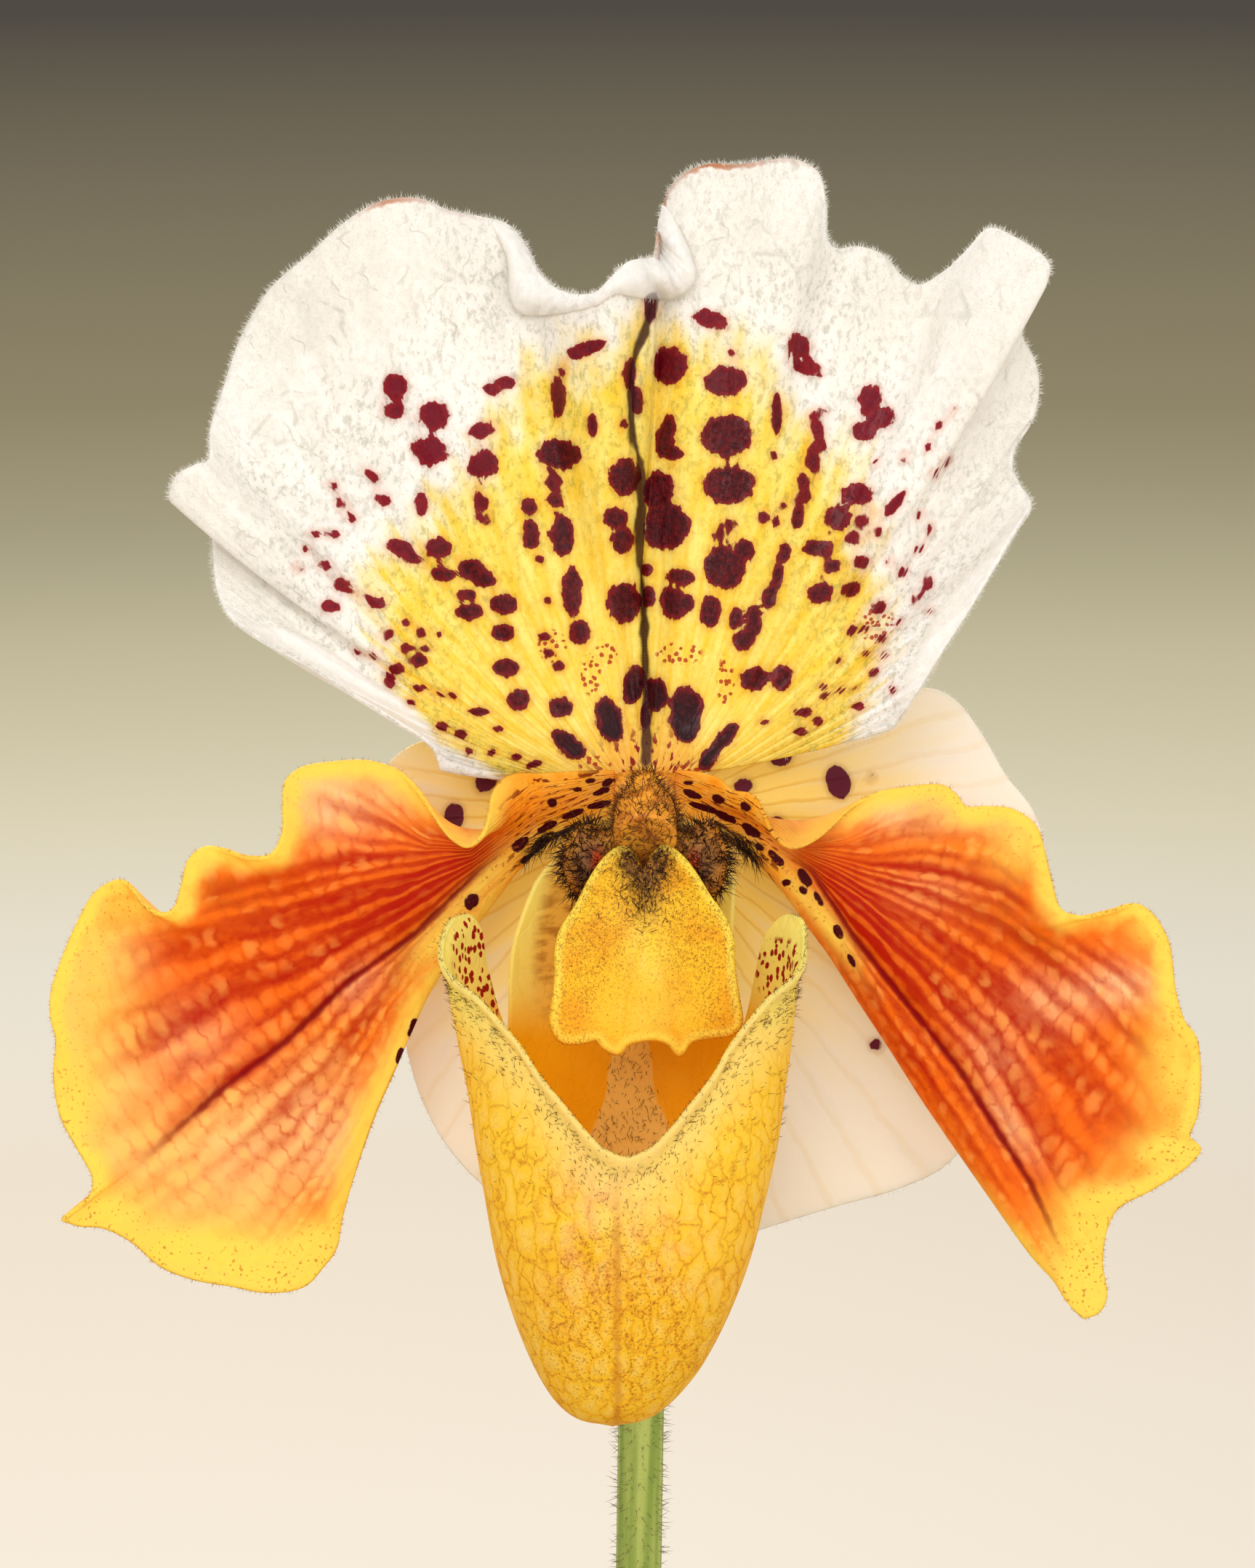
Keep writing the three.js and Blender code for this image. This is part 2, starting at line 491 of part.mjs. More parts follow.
function leafSolid({ side, rank, length, width, lean, turn }) {
  const [rows, half] = [14, 2];
  const [start, growth] = [lean[0] * DEG, (lean[1] - lean[0]) * DEG];
  const foot = new THREE.Vector3(side * (LEAF_FOOT.innermost + LEAF_FOOT.step * rank), 0, PIT.floor + 1);
  const heading = new THREE.Vector3(side * Math.cos(turn * DEG), side * Math.sin(turn * DEG), 0);
  const sideways = new THREE.Vector3(0, 0, 1).cross(heading);
  const points = [];
  for (let i = 0; i <= rows; i++) {
    const share = i / rows;
    const angle = start + growth * share;
    const spine = foot.clone()
      .addScaledVector(heading, (length / growth) * (Math.cos(start) - Math.cos(angle)))
      .add(new THREE.Vector3(0, 0, (length / growth) * (Math.sin(angle) - Math.sin(start))));
    const inward = heading.clone().multiplyScalar(-Math.cos(angle)).add(new THREE.Vector3(0, 0, Math.sin(angle)));
    const halfWidth = Math.max(LEAF_FOOT.halfWidth * (1 - 3 * share), (along(LEAF_WIDTH, share) * width) / 2);
    const fold = along(LEAF_FOLD, share) * DEG;
    for (let j = -half; j <= half; j++) {
      const reach = (halfWidth * j) / half;
      points.push(spine.clone()
        .addScaledVector(sideways, reach * Math.cos(fold))
        .addScaledVector(inward, Math.abs(reach) * Math.sin(fold)));
    }
  }
  return thicken(points, gridTriangles(rows, 2 * half, (i, j) => i * (2 * half + 1) + j), LEAF_THICKNESS);
}

// The pot is turned from one profile, with a band at its lip and a ring of drain holes through its floor
function wallRadius(height) {
  return POT_FOOT_RADIUS + (POT_LIP_RADIUS - 4 - POT_FOOT_RADIUS) * (height / POT_HEIGHT);
}

function potSolid() {
  const band = POT_HEIGHT - POT_BAND_HEIGHT;
  const inner = (height) => wallRadius(height) - POT_WALL;
  const profile = [
    [0, 0], [POT_FOOT_RADIUS - EASE, 0], [POT_FOOT_RADIUS, EASE], [wallRadius(band), band],
    [POT_LIP_RADIUS - 2, band + 0.6], [POT_LIP_RADIUS - EASE, band + 2], [POT_LIP_RADIUS, POT_HEIGHT - EASE],
    [POT_LIP_RADIUS - EASE, POT_HEIGHT], [inner(POT_HEIGHT) + EASE, POT_HEIGHT],
    [inner(POT_HEIGHT), POT_HEIGHT - EASE], [inner(POT_FLOOR), POT_FLOOR], [0, POT_FLOOR],
  ];
  const turned = new THREE.LatheGeometry(profile.map((p) => new THREE.Vector2(...p)), 40).rotateX(Math.PI / 2);
  const holes = Array.from({ length: DRAIN.count }, (_, k) => {
    const angle = (2 * Math.PI * (k + 0.5)) / DRAIN.count;
    const hole = new THREE.CylinderGeometry(DRAIN.radius, DRAIN.radius, 4 * POT_FLOOR, 12).rotateX(Math.PI / 2);
    return solid(hole.translate(DRAIN.fromCentre * Math.cos(angle), DRAIN.fromCentre * Math.sin(angle), 0));
  });
  return geometryFrom(holes.reduce((pot, hole) => pot.subtract(hole), solid(turned)));
}

// The bark fills the pot. Chips lie all over its top, trimmed to the pot's inside, with a pit for the plant.
const CHIPS = { rings: [[0, 1], [12, 8], [22, 13], [32, 19], [41, 25]], size: [13, 8.5, 6], seed: 7 };

function barkSolid() {
  const random = seededRandom(CHIPS.seed);
  const inside = (height) => wallRadius(height) - POT_WALL - GAP;
  const fill = (top) => new THREE.LatheGeometry([
    [0, POT_FLOOR + GAP], [inside(POT_FLOOR), POT_FLOOR + GAP], [inside(top), top], [0, top],
  ].map((p) => new THREE.Vector2(...p)), 40).rotateX(Math.PI / 2);
  const chips = CHIPS.rings.flatMap(([radius, count]) => Array.from({ length: count }, (_, k) => {
    const angle = (2 * Math.PI * (k + 0.5 * random())) / count;
    const scale = 0.8 + 0.45 * random();
    const chip = new THREE.BoxGeometry(...CHIPS.size.map((side) => side * scale));
    chip.rotateX((random() - 0.5) * 0.7);
    chip.rotateY((random() - 0.5) * 0.5);
    chip.rotateZ(2 * Math.PI * random());
    chip.translate(radius * Math.cos(angle), radius * Math.sin(angle), BARK_LEVEL + 2 * random());
    return solid(chip);
  }));
  const pit = new THREE.CylinderGeometry(1, 1, 40, 20).rotateX(Math.PI / 2);
  pit.scale(PIT.halfLength, PIT.halfWidth, 1);
  pit.translate(0, 0, PIT.floor + 20);
  const heap = chips.reduce((whole, chip) => whole.add(chip), solid(fill(BARK_LEVEL)));
  return geometryFrom(heap.intersect(solid(fill(POT_HEIGHT))).subtract(solid(pit)));
}

// Assembly
function piece(name, geometry, colour, roughness = 0.6) {
  const material = new THREE.MeshStandardMaterial({ color: new THREE.Color(...COLOURS[colour]), roughness, metalness: 0 });
  const mesh = new THREE.Mesh(geometry, material);
  mesh.name = name;
  return mesh;
}

const bloom = new THREE.Group();
bloom.add(
  piece('dorsal_sepal', tepalSolid(DORSAL, 42, 5), 'sepal'),
  piece('synsepal', tepalSolid(SYNSEPAL, 20, 4), 'sepal'),
  piece('petal_left', tepalSolid(PETAL_LEFT, 42, 5), 'petal'),
  piece('petal_right', tepalSolid(PETAL_RIGHT, 42, 5), 'petal'),
  piece('lip_pouch', lipSolid(), 'lip'),
  piece('column', columnSolid(), 'column'),
  piece('ovary', ovarySolid(), 'stem'),
  piece('bract', bractSolid(), 'leaf'),
);
bloom.rotation.x = Math.PI / 2 - BLOOM_FACES_UP;
bloom.position.set(...BLOOM_CENTRE);
bloom.updateMatrixWorld(true);

const ovaryFoot = new THREE.Vector3(...OVARY_PATH[OVARY_PATH.length - 1]);
const scapeTop = bloom.localToWorld(ovaryFoot).add(new THREE.Vector3(0, 0, -0.6));

const orchid = new THREE.Group();
orchid.add(
  piece('pot', potSolid(), 'clay', 0.85),
  piece('bark', barkSolid(), 'bark', 0.95),
  piece('scape', scapeSolid(scapeTop), 'stem'),
  ...LEAVES.map((leaf, k) => piece(`leaf_${k + 1}`, leafSolid(leaf), 'leaf', 0.45)),
  bloom,
);

export default orchid;
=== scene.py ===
"""Looks of a potted slipper orchid of the Paphiopedilum kind, with one large bloom on a hairy scape.

Everything stands in the frame of the plant's solids: metres, +Z up, with the origin at the centre of the pot's
underside. The bloom faces -Y, tipped up a little, and is drawn in its own frame in millimetres: x to the viewer's
right, y up the bloom and z towards the viewer. Edges are lists of x, y, z, and veins and spots are lists of x, y,
all with x and y as they are seen from the camera.
"""

import logging
import math
from dataclasses import dataclass, field
from enum import Enum
from typing import Callable, Sequence

import bpy
import numpy as np
from mathutils import Matrix


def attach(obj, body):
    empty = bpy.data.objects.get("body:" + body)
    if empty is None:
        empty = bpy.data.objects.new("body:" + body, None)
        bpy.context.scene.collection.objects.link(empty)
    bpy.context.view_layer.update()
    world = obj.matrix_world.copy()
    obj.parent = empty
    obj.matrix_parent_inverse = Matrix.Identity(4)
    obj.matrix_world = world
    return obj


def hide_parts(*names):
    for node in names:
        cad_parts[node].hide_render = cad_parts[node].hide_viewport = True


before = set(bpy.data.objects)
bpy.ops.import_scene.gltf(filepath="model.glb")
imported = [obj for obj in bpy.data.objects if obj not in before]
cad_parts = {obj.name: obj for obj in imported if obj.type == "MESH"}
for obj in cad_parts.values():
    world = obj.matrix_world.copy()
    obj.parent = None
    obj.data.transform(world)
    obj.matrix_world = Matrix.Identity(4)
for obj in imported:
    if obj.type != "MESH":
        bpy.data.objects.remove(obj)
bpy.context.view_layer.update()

LOG = logging.getLogger("orchid")

Array = np.ndarray
Colour = tuple[float, float, float, float]
Points = Sequence[tuple[float, ...]]
Socket = bpy.types.NodeSocket
Value = Socket | float

MM = 0.001
BODY = "root"


class Slot(Enum):
    """Material slots of the record."""

    CLAY = "clay"
    BARK = "bark"
    LEAF = "leaf"
    STEM = "stem"
    DORSAL = "dorsal"
    SYNSEPAL = "synsepal"
    PETAL = "petal"
    LIP = "lip"
    COLUMN = "column"


# Numbers and curves

def smooth(start: float, end: float, value: Array) -> Array:
    """Runs from 0 at start to 1 at end, with no slope at either.

    Args:
        start: Value that gives 0.
        end: Value that gives 1.
        value: Values to read.

    Returns:
        A share for each value.
    """
    share = np.clip((value - start) / (end - start), 0.0, 1.0)
    return share * share * (3.0 - 2.0 * share)


def along(rows: Points, position: Array | float) -> Array:
    """Reads values off a short table, on a smooth curve that never overshoots a row.

    Args:
        rows: Pairs of position and value, by rising position.
        position: Places to read.

    Returns:
        The value at each place.
    """
    x, y = np.asarray(rows, dtype=float).T
    steps = np.diff(y) / np.diff(x)
    product = steps[:-1] * steps[1:]
    total = steps[:-1] + steps[1:]
    slopes = np.zeros(len(x))
    slopes[1:-1] = np.where(product > 0, 2 * product / np.where(total == 0, 1, total), 0)
    place = np.clip(position, x[0], x[-1])
    k = np.clip(np.searchsorted(x, place) - 1, 0, len(x) - 2)
    span = x[k + 1] - x[k]
    u = (place - x[k]) / span
    bend = u * (1 - u) * span * (slopes[k] * (1 - u) - slopes[k + 1] * u)
    return y[k] + (y[k + 1] - y[k]) * u * u * (3 - 2 * u) + bend


def unit(vectors: Array) -> Array:
    """Scales each vector to a length of one."""
    return vectors / np.maximum(np.linalg.norm(vectors, axis=-1, keepdims=True), 1e-12)


def srgb(red: float, green: float, blue: float) -> Colour:
    """Turns a colour as it looks on a screen, 0 to 255, into a linear one."""
    shares = [value / 255 for value in (red, green, blue)]
    linear = [share / 12.92 if share < 0.04045 else ((share + 0.055) / 1.055) ** 2.4 for share in shares]
    return (*linear, 1.0)


@dataclass
class Rail:
    """A smooth curve through points.

    Attributes:
        points: Points that it passes.
        rounded: Whether it takes wider bends with care, as a stalk does.
    """

    points: Array
    rounded: bool = False

    def at(self, share: Array) -> Array:
        """Reads the curve.

        Args:
            share: Places on it, 0 to 1, with the same stretch from each point to the next.

        Returns:
            A point for each place.
        """
        points = np.asarray(self.points, dtype=float)
        padded = np.vstack([2 * points[0] - points[1], points, 2 * points[-1] - points[-2]])
        place = np.clip(np.asarray(share, dtype=float), 0, 1) * (len(points) - 1)
        k = np.minimum(place.astype(int), len(points) - 2)
        w = (place - k)[..., None]
        p0, p1, p2, p3 = (padded[k + n] for n in range(4))
        start, end = (p2 - p0) / 2, (p3 - p1) / 2
        if self.rounded:
            pairs = ((p0, p1), (p1, p2), (p2, p3))
            d0, d1, d2 = (np.linalg.norm(b - a, axis=-1, keepdims=True) ** 0.5 for a, b in pairs)
            start = d1 * ((p1 - p0) / d0 - (p2 - p0) / (d0 + d1) + (p2 - p1) / d1)
            end = d1 * ((p2 - p1) / d1 - (p3 - p1) / (d1 + d2) + (p3 - p2) / d2)
        cubic = 2 * p1 - 2 * p2 + start + end
        return p1 + w * start + w * w * (3 * p2 - 3 * p1 - 2 * start - end) + w ** 3 * cubic

    def evenly(self, count: int) -> Array:
        """Gives count + 1 points at equal distances along the curve."""
        fine = self.at(np.linspace(0, 1, 600))
        reach = np.concatenate([[0], np.cumsum(np.linalg.norm(np.diff(fine, axis=0), axis=1))])
        wanted = np.linspace(0, reach[-1], count + 1)
        return np.stack([np.interp(wanted, reach, fine[:, axis]) for axis in range(3)], axis=1)


@dataclass(frozen=True)
class BloomPlace:
    """Where the bloom stands and how it faces.

    Attributes:
        centre: The bloom's centre in millimetres.
        faces_up: How far its face is tipped up from level, in degrees.
        view_distance: Distance from which its edges were read, in millimetres.
    """

    centre: tuple[float, float, float] = (0.0, -38.0, 312.0)
    faces_up: float = 15.0
    view_distance: float = 600.0

    def axes(self) -> Array:
        """Gives the bloom's own axes as rows: right, up and towards the viewer."""
        tip = math.radians(self.faces_up)
        upward = (0.0, math.sin(tip), math.cos(tip))
        forward = (0.0, -math.cos(tip), math.sin(tip))
        return np.array([(1.0, 0.0, 0.0), upward, forward])

    def to_world(self, points: Array) -> Array:
        """Takes points of the bloom's frame, in millimetres, to the plant's, in millimetres."""
        return np.asarray(self.centre) + points @ self.axes()

    def placed(self, seen: Points) -> Array:
        """Brings points as seen by the viewer to their places at their own depths."""
        points = np.asarray(seen, dtype=float).copy()
        points[..., :2] *= (1 - points[..., 2:] / self.view_distance)
        return points

    def as_seen(self, points: Array) -> Array:
        """Gives x and y of points of the bloom's frame as the viewer sees them."""
        return points[..., :2] / (1 - points[..., 2:] / self.view_distance)


PLACE = BloomPlace()


# Sheets and bodies

@dataclass
class Body:
    """A closed mesh in millimetres.

    Attributes:
        points: Places of its corners.
        faces: Corner numbers of its faces.
        marks: Values at each corner that the finish reads.
    """

    points: Array
    faces: list[list[int]]
    marks: dict[str, Array] = field(default_factory=dict)

    def joined(self, other: "Body") -> "Body":
        """Puts two bodies in one mesh, with the marks that both have."""
        shift = len(self.points)
        faces = self.faces + [[corner + shift for corner in face] for face in other.faces]
        marks = {name: np.concatenate([self.marks[name], other.marks[name]])
                 for name in self.marks if name in other.marks}
        return Body(np.vstack([self.points, other.points]), faces, marks)


def whole_faces(quads: Array) -> list[list[int]]:
    """Turns rows of four corners into faces, with repeated corners dropped."""
    return [list(dict.fromkeys(row)) for row in quads.tolist() if len(set(row)) > 2]


def grid_quads(rows: int, columns: int, index: Callable[[Array, Array], Array]) -> Array:
    """Gives the faces of a grid of points.

    Args:
        rows: Number of faces one way.
        columns: Number of faces the other way.
        index: Gives the point's number for a row and a column.

    Returns:
        Four corner numbers for each face.
    """
    i, j = (part.ravel() for part in np.meshgrid(np.arange(rows), np.arange(columns), indexing="ij"))
    return np.stack([index(i, j), index(i, j + 1), index(i + 1, j + 1), index(i + 1, j)], axis=1)


@dataclass
class Sheet:
    """A surface with no thickness, as faces of four corners.

    Attributes:
        points: Places of its corners, in millimetres.
        quads: Corner numbers, four a face, two of them the same in a face of three.
        marks: Values at each corner.
    """

    points: Array
    quads: Array
    marks: dict[str, Array] = field(default_factory=dict)

    def compacted(self) -> "Sheet":
        """Drops the points that no face uses."""
        used, places = np.unique(self.quads, return_inverse=True)
        marks = {name: values[used] for name, values in self.marks.items()}
        return Sheet(self.points[used], places.reshape(self.quads.shape), marks)

    def normals(self, passes: int = 2) -> Array:
        """Finds the direction that the surface faces at each corner.

        Args:
            passes: How many times each direction is averaged with its neighbours'.

        Returns:
            A direction of length one for each corner.
        """
        a, b, c, d = (self.points[self.quads[:, k]] for k in range(4))
        facing = np.cross(c - a, d - b)
        result = np.zeros_like(self.points)
        for k in range(4):
            np.add.at(result, self.quads[:, k], facing)
        for _ in range(passes):
            result = unit(result)
            mean = sum(result[self.quads[:, k]] for k in range(4))
            total = result.copy()
            for k in range(4):
                np.add.at(total, self.quads[:, k], mean)
            result = total
        return unit(result)

    def border(self) -> Array:
        """Gives the border's edges as pairs of corner numbers, in the direction of their faces."""
        pairs = np.concatenate([self.quads[:, [k, (k + 1) % 4]] for k in range(4)])
        pairs = pairs[pairs[:, 0] != pairs[:, 1]]
        count = len(self.points)
        codes = pairs[:, 0] * count + pairs[:, 1]
        opposite = pairs[:, 1] * count + pairs[:, 0]
        return pairs[~np.isin(codes, opposite)]

    def facing(self, towards: Array) -> "Sheet":
        """Turns the sheet over if most of it faces away from a direction, given once or for each corner."""
        if np.sum(self.normals(0) * towards) < 0:
            return Sheet(self.points, self.quads[:, ::-1].copy(), self.marks)
        return self

    def outward(self, edges: Array, normals: Array) -> Array:
        """Gives the direction out of the sheet and along it, for each edge of its border."""
        way = self.points[edges[:, 1]] - self.points[edges[:, 0]]
        return unit(np.cross(way, normals[edges[:, 0]]))

    def thickened(self, thickness: Array | float, passes: int = 2) -> Body:
        """Makes a closed body of the sheet, with a rounded edge.

        Args:
            thickness: One thickness, or one for each corner, in millimetres.
            passes: How many times the directions are averaged.

        Returns:
            The body. Its mark "side" is 1 in front, -1 behind and 0 on the edge.
        """
        count = len(self.points)
        normals = self.normals(passes)
        half = np.broadcast_to(np.asarray(thickness, dtype=float) / 2, (count,))[:, None]
        edges = self.border()
        outward = np.zeros_like(self.points)
        way = self.outward(edges, normals)
        for k in range(2):
            np.add.at(outward, edges[:, k], way)
        rim = np.unique(edges)
        bulge = self.points[rim] + unit(outward[rim]) * half[rim] * 0.8
        ring = np.zeros(count, dtype=int)
        ring[rim] = 2 * count + np.arange(len(rim))
        a, b = edges[:, 0], edges[:, 1]
        quads = np.vstack([
            self.quads,
            self.quads[:, ::-1] + count,
            np.stack([b, a, ring[a], ring[b]], axis=1),
            np.stack([ring[b], ring[a], a + count, b + count], axis=1),
        ])
        points = np.vstack([self.points + normals * half, self.points - normals * half, bulge])
        marks = {name: np.concatenate([values, values, values[rim]]) for name, values in self.marks.items()}
        marks["side"] = np.concatenate([np.ones(count), -np.ones(count), np.zeros(len(rim))])
        return Body(points, whole_faces(quads), marks)

    def scatter(self, count: int, weight: Array, seed: int) -> tuple[Array, Array]:
        """Draws random places on the sheet.

        Args:
            count: How many places.
            weight: How dense they are at each corner.
            seed: Seed of the draw.

        Returns:
            The places, and the directions that the sheet faces there.
        """
        random = np.random.default_rng(seed)
        a, b, c, d = (self.points[self.quads[:, k]] for k in range(4))
        area = np.linalg.norm(np.cross(c - a, d - b), axis=1) * weight[self.quads].mean(axis=1)
        chosen = random.choice(len(area), count, p=area / area.sum())
        s, t = random.random((2, count, 1))
        corners = self.quads[chosen]
        shares = [(1 - s) * (1 - t), s * (1 - t), s * t, (1 - s) * t]
        normals = self.normals()
        place = sum(share * self.points[corners[:, k]] for k, share in enumerate(shares))
        return place, unit(sum(share * normals[corners[:, k]] for k, share in enumerate(shares)))

    def scatter_border(self, count: int, keep: Callable[[Array], Array], seed: int) -> tuple[Array, Array]:
        """Draws random places on the border.

        Args:
            count: How many places.
            keep: Gives the density at each edge's middle.
            seed: Seed of the draw.

        Returns:
            The places, and the directions out of the sheet there.
        """
        random = np.random.default_rng(seed)
        edges = self.border()
        start, end = self.points[edges[:, 0]], self.points[edges[:, 1]]
        length = np.linalg.norm(end - start, axis=1) * keep((start + end) / 2)
        chosen = random.choice(len(length), count, p=length / length.sum())
        share = random.random((count, 1))
        way = self.outward(edges, self.normals())
        return start[chosen] + share * (end - start)[chosen], way[chosen]


def distance_to(points: Array, targets: Array, chunk: int = 3000) -> Array:
    """Gives each point's distance to the nearest target."""
    parts = []
    for start in range(0, len(points), chunk):
        gaps = points[start:start + chunk, None, :] - targets[None, :, :]
        parts.append(np.sqrt((gaps ** 2).sum(axis=2).min(axis=1)))
    return np.concatenate(parts)


def side_distance(seen: Array, line: Points) -> Array:
    """Gives the distance of points to a line, with a sign for the side.

    Args:
        seen: Points as x, y.
        line: Corners of the line, which runs on straight past both ends.

    Returns:
        Distances, above 0 to the left of the line's direction.
    """
    corners = np.asarray(line, dtype=float)
    ends = [corners[0] + 60 * unit(corners[0] - corners[1]),
            corners[-1] + 60 * unit(corners[-1] - corners[-2])]
    corners = np.vstack([ends[0], corners, ends[1]])
    best = np.full(len(seen), np.inf)
    sign = np.ones(len(seen))
    for start, end in zip(corners[:-1], corners[1:]):
        way = end - start
        share = np.clip((seen - start) @ way / (way @ way), 0, 1)
        gap = seen - start - share[:, None] * way
        distance = np.hypot(gap[:, 0], gap[:, 1])
        cross = way[0] * (seen[:, 1] - start[1]) - way[1] * (seen[:, 0] - start[0])
        nearer = distance < best
        best = np.where(nearer, distance, best)
        sign = np.where(nearer, np.sign(cross), sign)
    return best * sign


def blob_distance(seen: Array, blobs: Points) -> tuple[Array, Array]:
    """Gives the distance to the nearest of some ovals, below 0 inside them, and that oval's size.

    Args:
        seen: Points as x, y.
        blobs: Ovals as x, y, half width, half height and, if turned, an angle in degrees.

    Returns:
        Distances, each measured on the ray from the oval's centre, and sizes.
    """
    best = np.full(len(seen), 99.0)
    nearest = np.zeros(len(seen))
    for x, y, wide, high, *turned in blobs:
        angle = math.radians(turned[0] if turned else 0.0)
        dx, dy = seen[:, 0] - x, seen[:, 1] - y
        across = dx * math.cos(angle) + dy * math.sin(angle)
        upward = dy * math.cos(angle) - dx * math.sin(angle)
        reach = np.hypot(across, upward) + 1e-9
        size = np.hypot(across / wide, upward / high) + 1e-9
        gap = reach - reach / size
        nearest = np.where(gap < best, math.sqrt(wide * high), nearest)
        best = np.minimum(best, gap)
    return best, nearest


def wash(seen: Array, patches: Points) -> Array:
    """Adds soft patches, each given as x, y, half width, half height, strength and, if turned, an angle."""
    total = np.zeros(len(seen))
    for x, y, wide, high, strength, *turned in patches:
        angle = math.radians(turned[0] if turned else 0.0)
        dx, dy = seen[:, 0] - x, seen[:, 1] - y
        across = (dx * math.cos(angle) + dy * math.sin(angle)) / wide
        upward = (dy * math.cos(angle) - dx * math.sin(angle)) / high
        total += strength * np.exp(-(across ** 2 + upward ** 2))
    return np.clip(total, 0, 1)


def tube(spine: Array, radius: Callable[[Array, Array], Array], sides: int) -> Sheet:
    """Wraps a round skin about a line of points, with a closed dome at each end.

    Args:
        spine: Points along the middle.
        radius: Gives the radius for a share of the length and an angle.
        sides: Number of faces round it.

    Returns:
        The skin, with marks "share" and "turn".
    """
    way = unit(np.gradient(spine, axis=0))
    across = np.array([1.0, 0.0, 0.0]) - way * way[:, :1]
    across = unit(across)
    upward = np.cross(way, across)
    steps = len(spine) - 1
    share, turn = np.meshgrid(np.linspace(0, 1, steps + 1), np.linspace(0, 2 * np.pi, sides, endpoint=False),
                              indexing="ij")
    size = radius(share, turn)[..., None]
    ring = across[:, None] * np.cos(turn)[..., None] + upward[:, None] * np.sin(turn)[..., None]
    points = (spine[:, None] + size * ring).reshape(-1, 3)
    quads = grid_quads(steps, sides, lambda i, j: i * sides + j % sides)
    hubs = np.array([len(points), len(points) + 1])
    k = np.arange(sides)
    after = (k + 1) % sides
    low = np.stack([after, k, np.full(sides, hubs[0]), np.full(sides, hubs[0])], axis=1)
    last = steps * sides
    high = np.stack([k + last, after + last, np.full(sides, hubs[1]), np.full(sides, hubs[1])], axis=1)
    points = np.vstack([points, spine[0], spine[-1]])
    marks = {"share": np.append(share.ravel(), [0, 1]), "turn": np.append(turn.ravel(), [0, 0])}
    return Sheet(points, np.vstack([quads, low, high]), marks)


@dataclass(frozen=True)
class Bristle:
    """One kind of hair: a tapering bristle of three sides with a bend in it.

    Attributes:
        length: Mean length in millimetres.
        radius: Radius at the foot in millimetres.
        bend: How far its tip is thrown aside, as a share of its length.
        spread: How much the hairs differ in direction.
        seed: Seed of the draw.
    """

    length: float
    radius: float
    bend: float = 0.25
    spread: float = 0.25
    seed: int = 1

    def grow(self, roots: Array, directions: Array, size: Array | float = 1.0) -> Body:
        """Grows a hair at each root.

        Args:
            roots: Feet of the hairs.
            directions: Which way they stand.
            size: Length of each hair as a share of the mean.

        Returns:
            All the hairs in one mesh, with the mark "tip" from 0 at the foot to 1.
        """
        random = np.random.default_rng(self.seed)
        count = len(roots)
        way = unit(directions + self.spread * random.normal(size=(count, 3)))
        length = (self.length * random.uniform(0.65, 1.3, count) * size)[:, None]
        side = unit(np.cross(way, random.normal(size=(count, 3))))
        other = np.cross(way, side)
        throw = unit(random.normal(size=(count, 3))) * length * self.bend
        middle = roots + way * length * 0.55 + throw * 0.3
        tip = roots + way * length + throw
        rings = []
        for centre, share in ((roots - way * 0.12, 1.0), (middle, 0.7)):
            for k in range(3):
                angle = 2 * math.pi * k / 3
                rings.append(centre + self.radius * share * (side * math.cos(angle) + other * math.sin(angle)))
        points = np.stack([*rings, tip], axis=1).reshape(-1, 3)
        base = np.array([[0, 1, 4, 3], [1, 2, 5, 4], [2, 0, 3, 5], [3, 4, 6, 6], [4, 5, 6, 6], [5, 3, 6, 6],
                         [2, 1, 0, 0]])
        quads = (base[None] + 7 * np.arange(count)[:, None, None]).reshape(-1, 4)
        marks = {"tip": np.tile([0, 0, 0, 0.55, 0.55, 0.55, 1.0], count)}
        return Body(points, whole_faces(quads), marks)


# Shading

@dataclass
class Coat:
    """What a finish paints: a colour, a relief for the bump and, if it varies, a roughness."""

    colour: Socket
    relief: Socket
    roughness: Socket | None = None


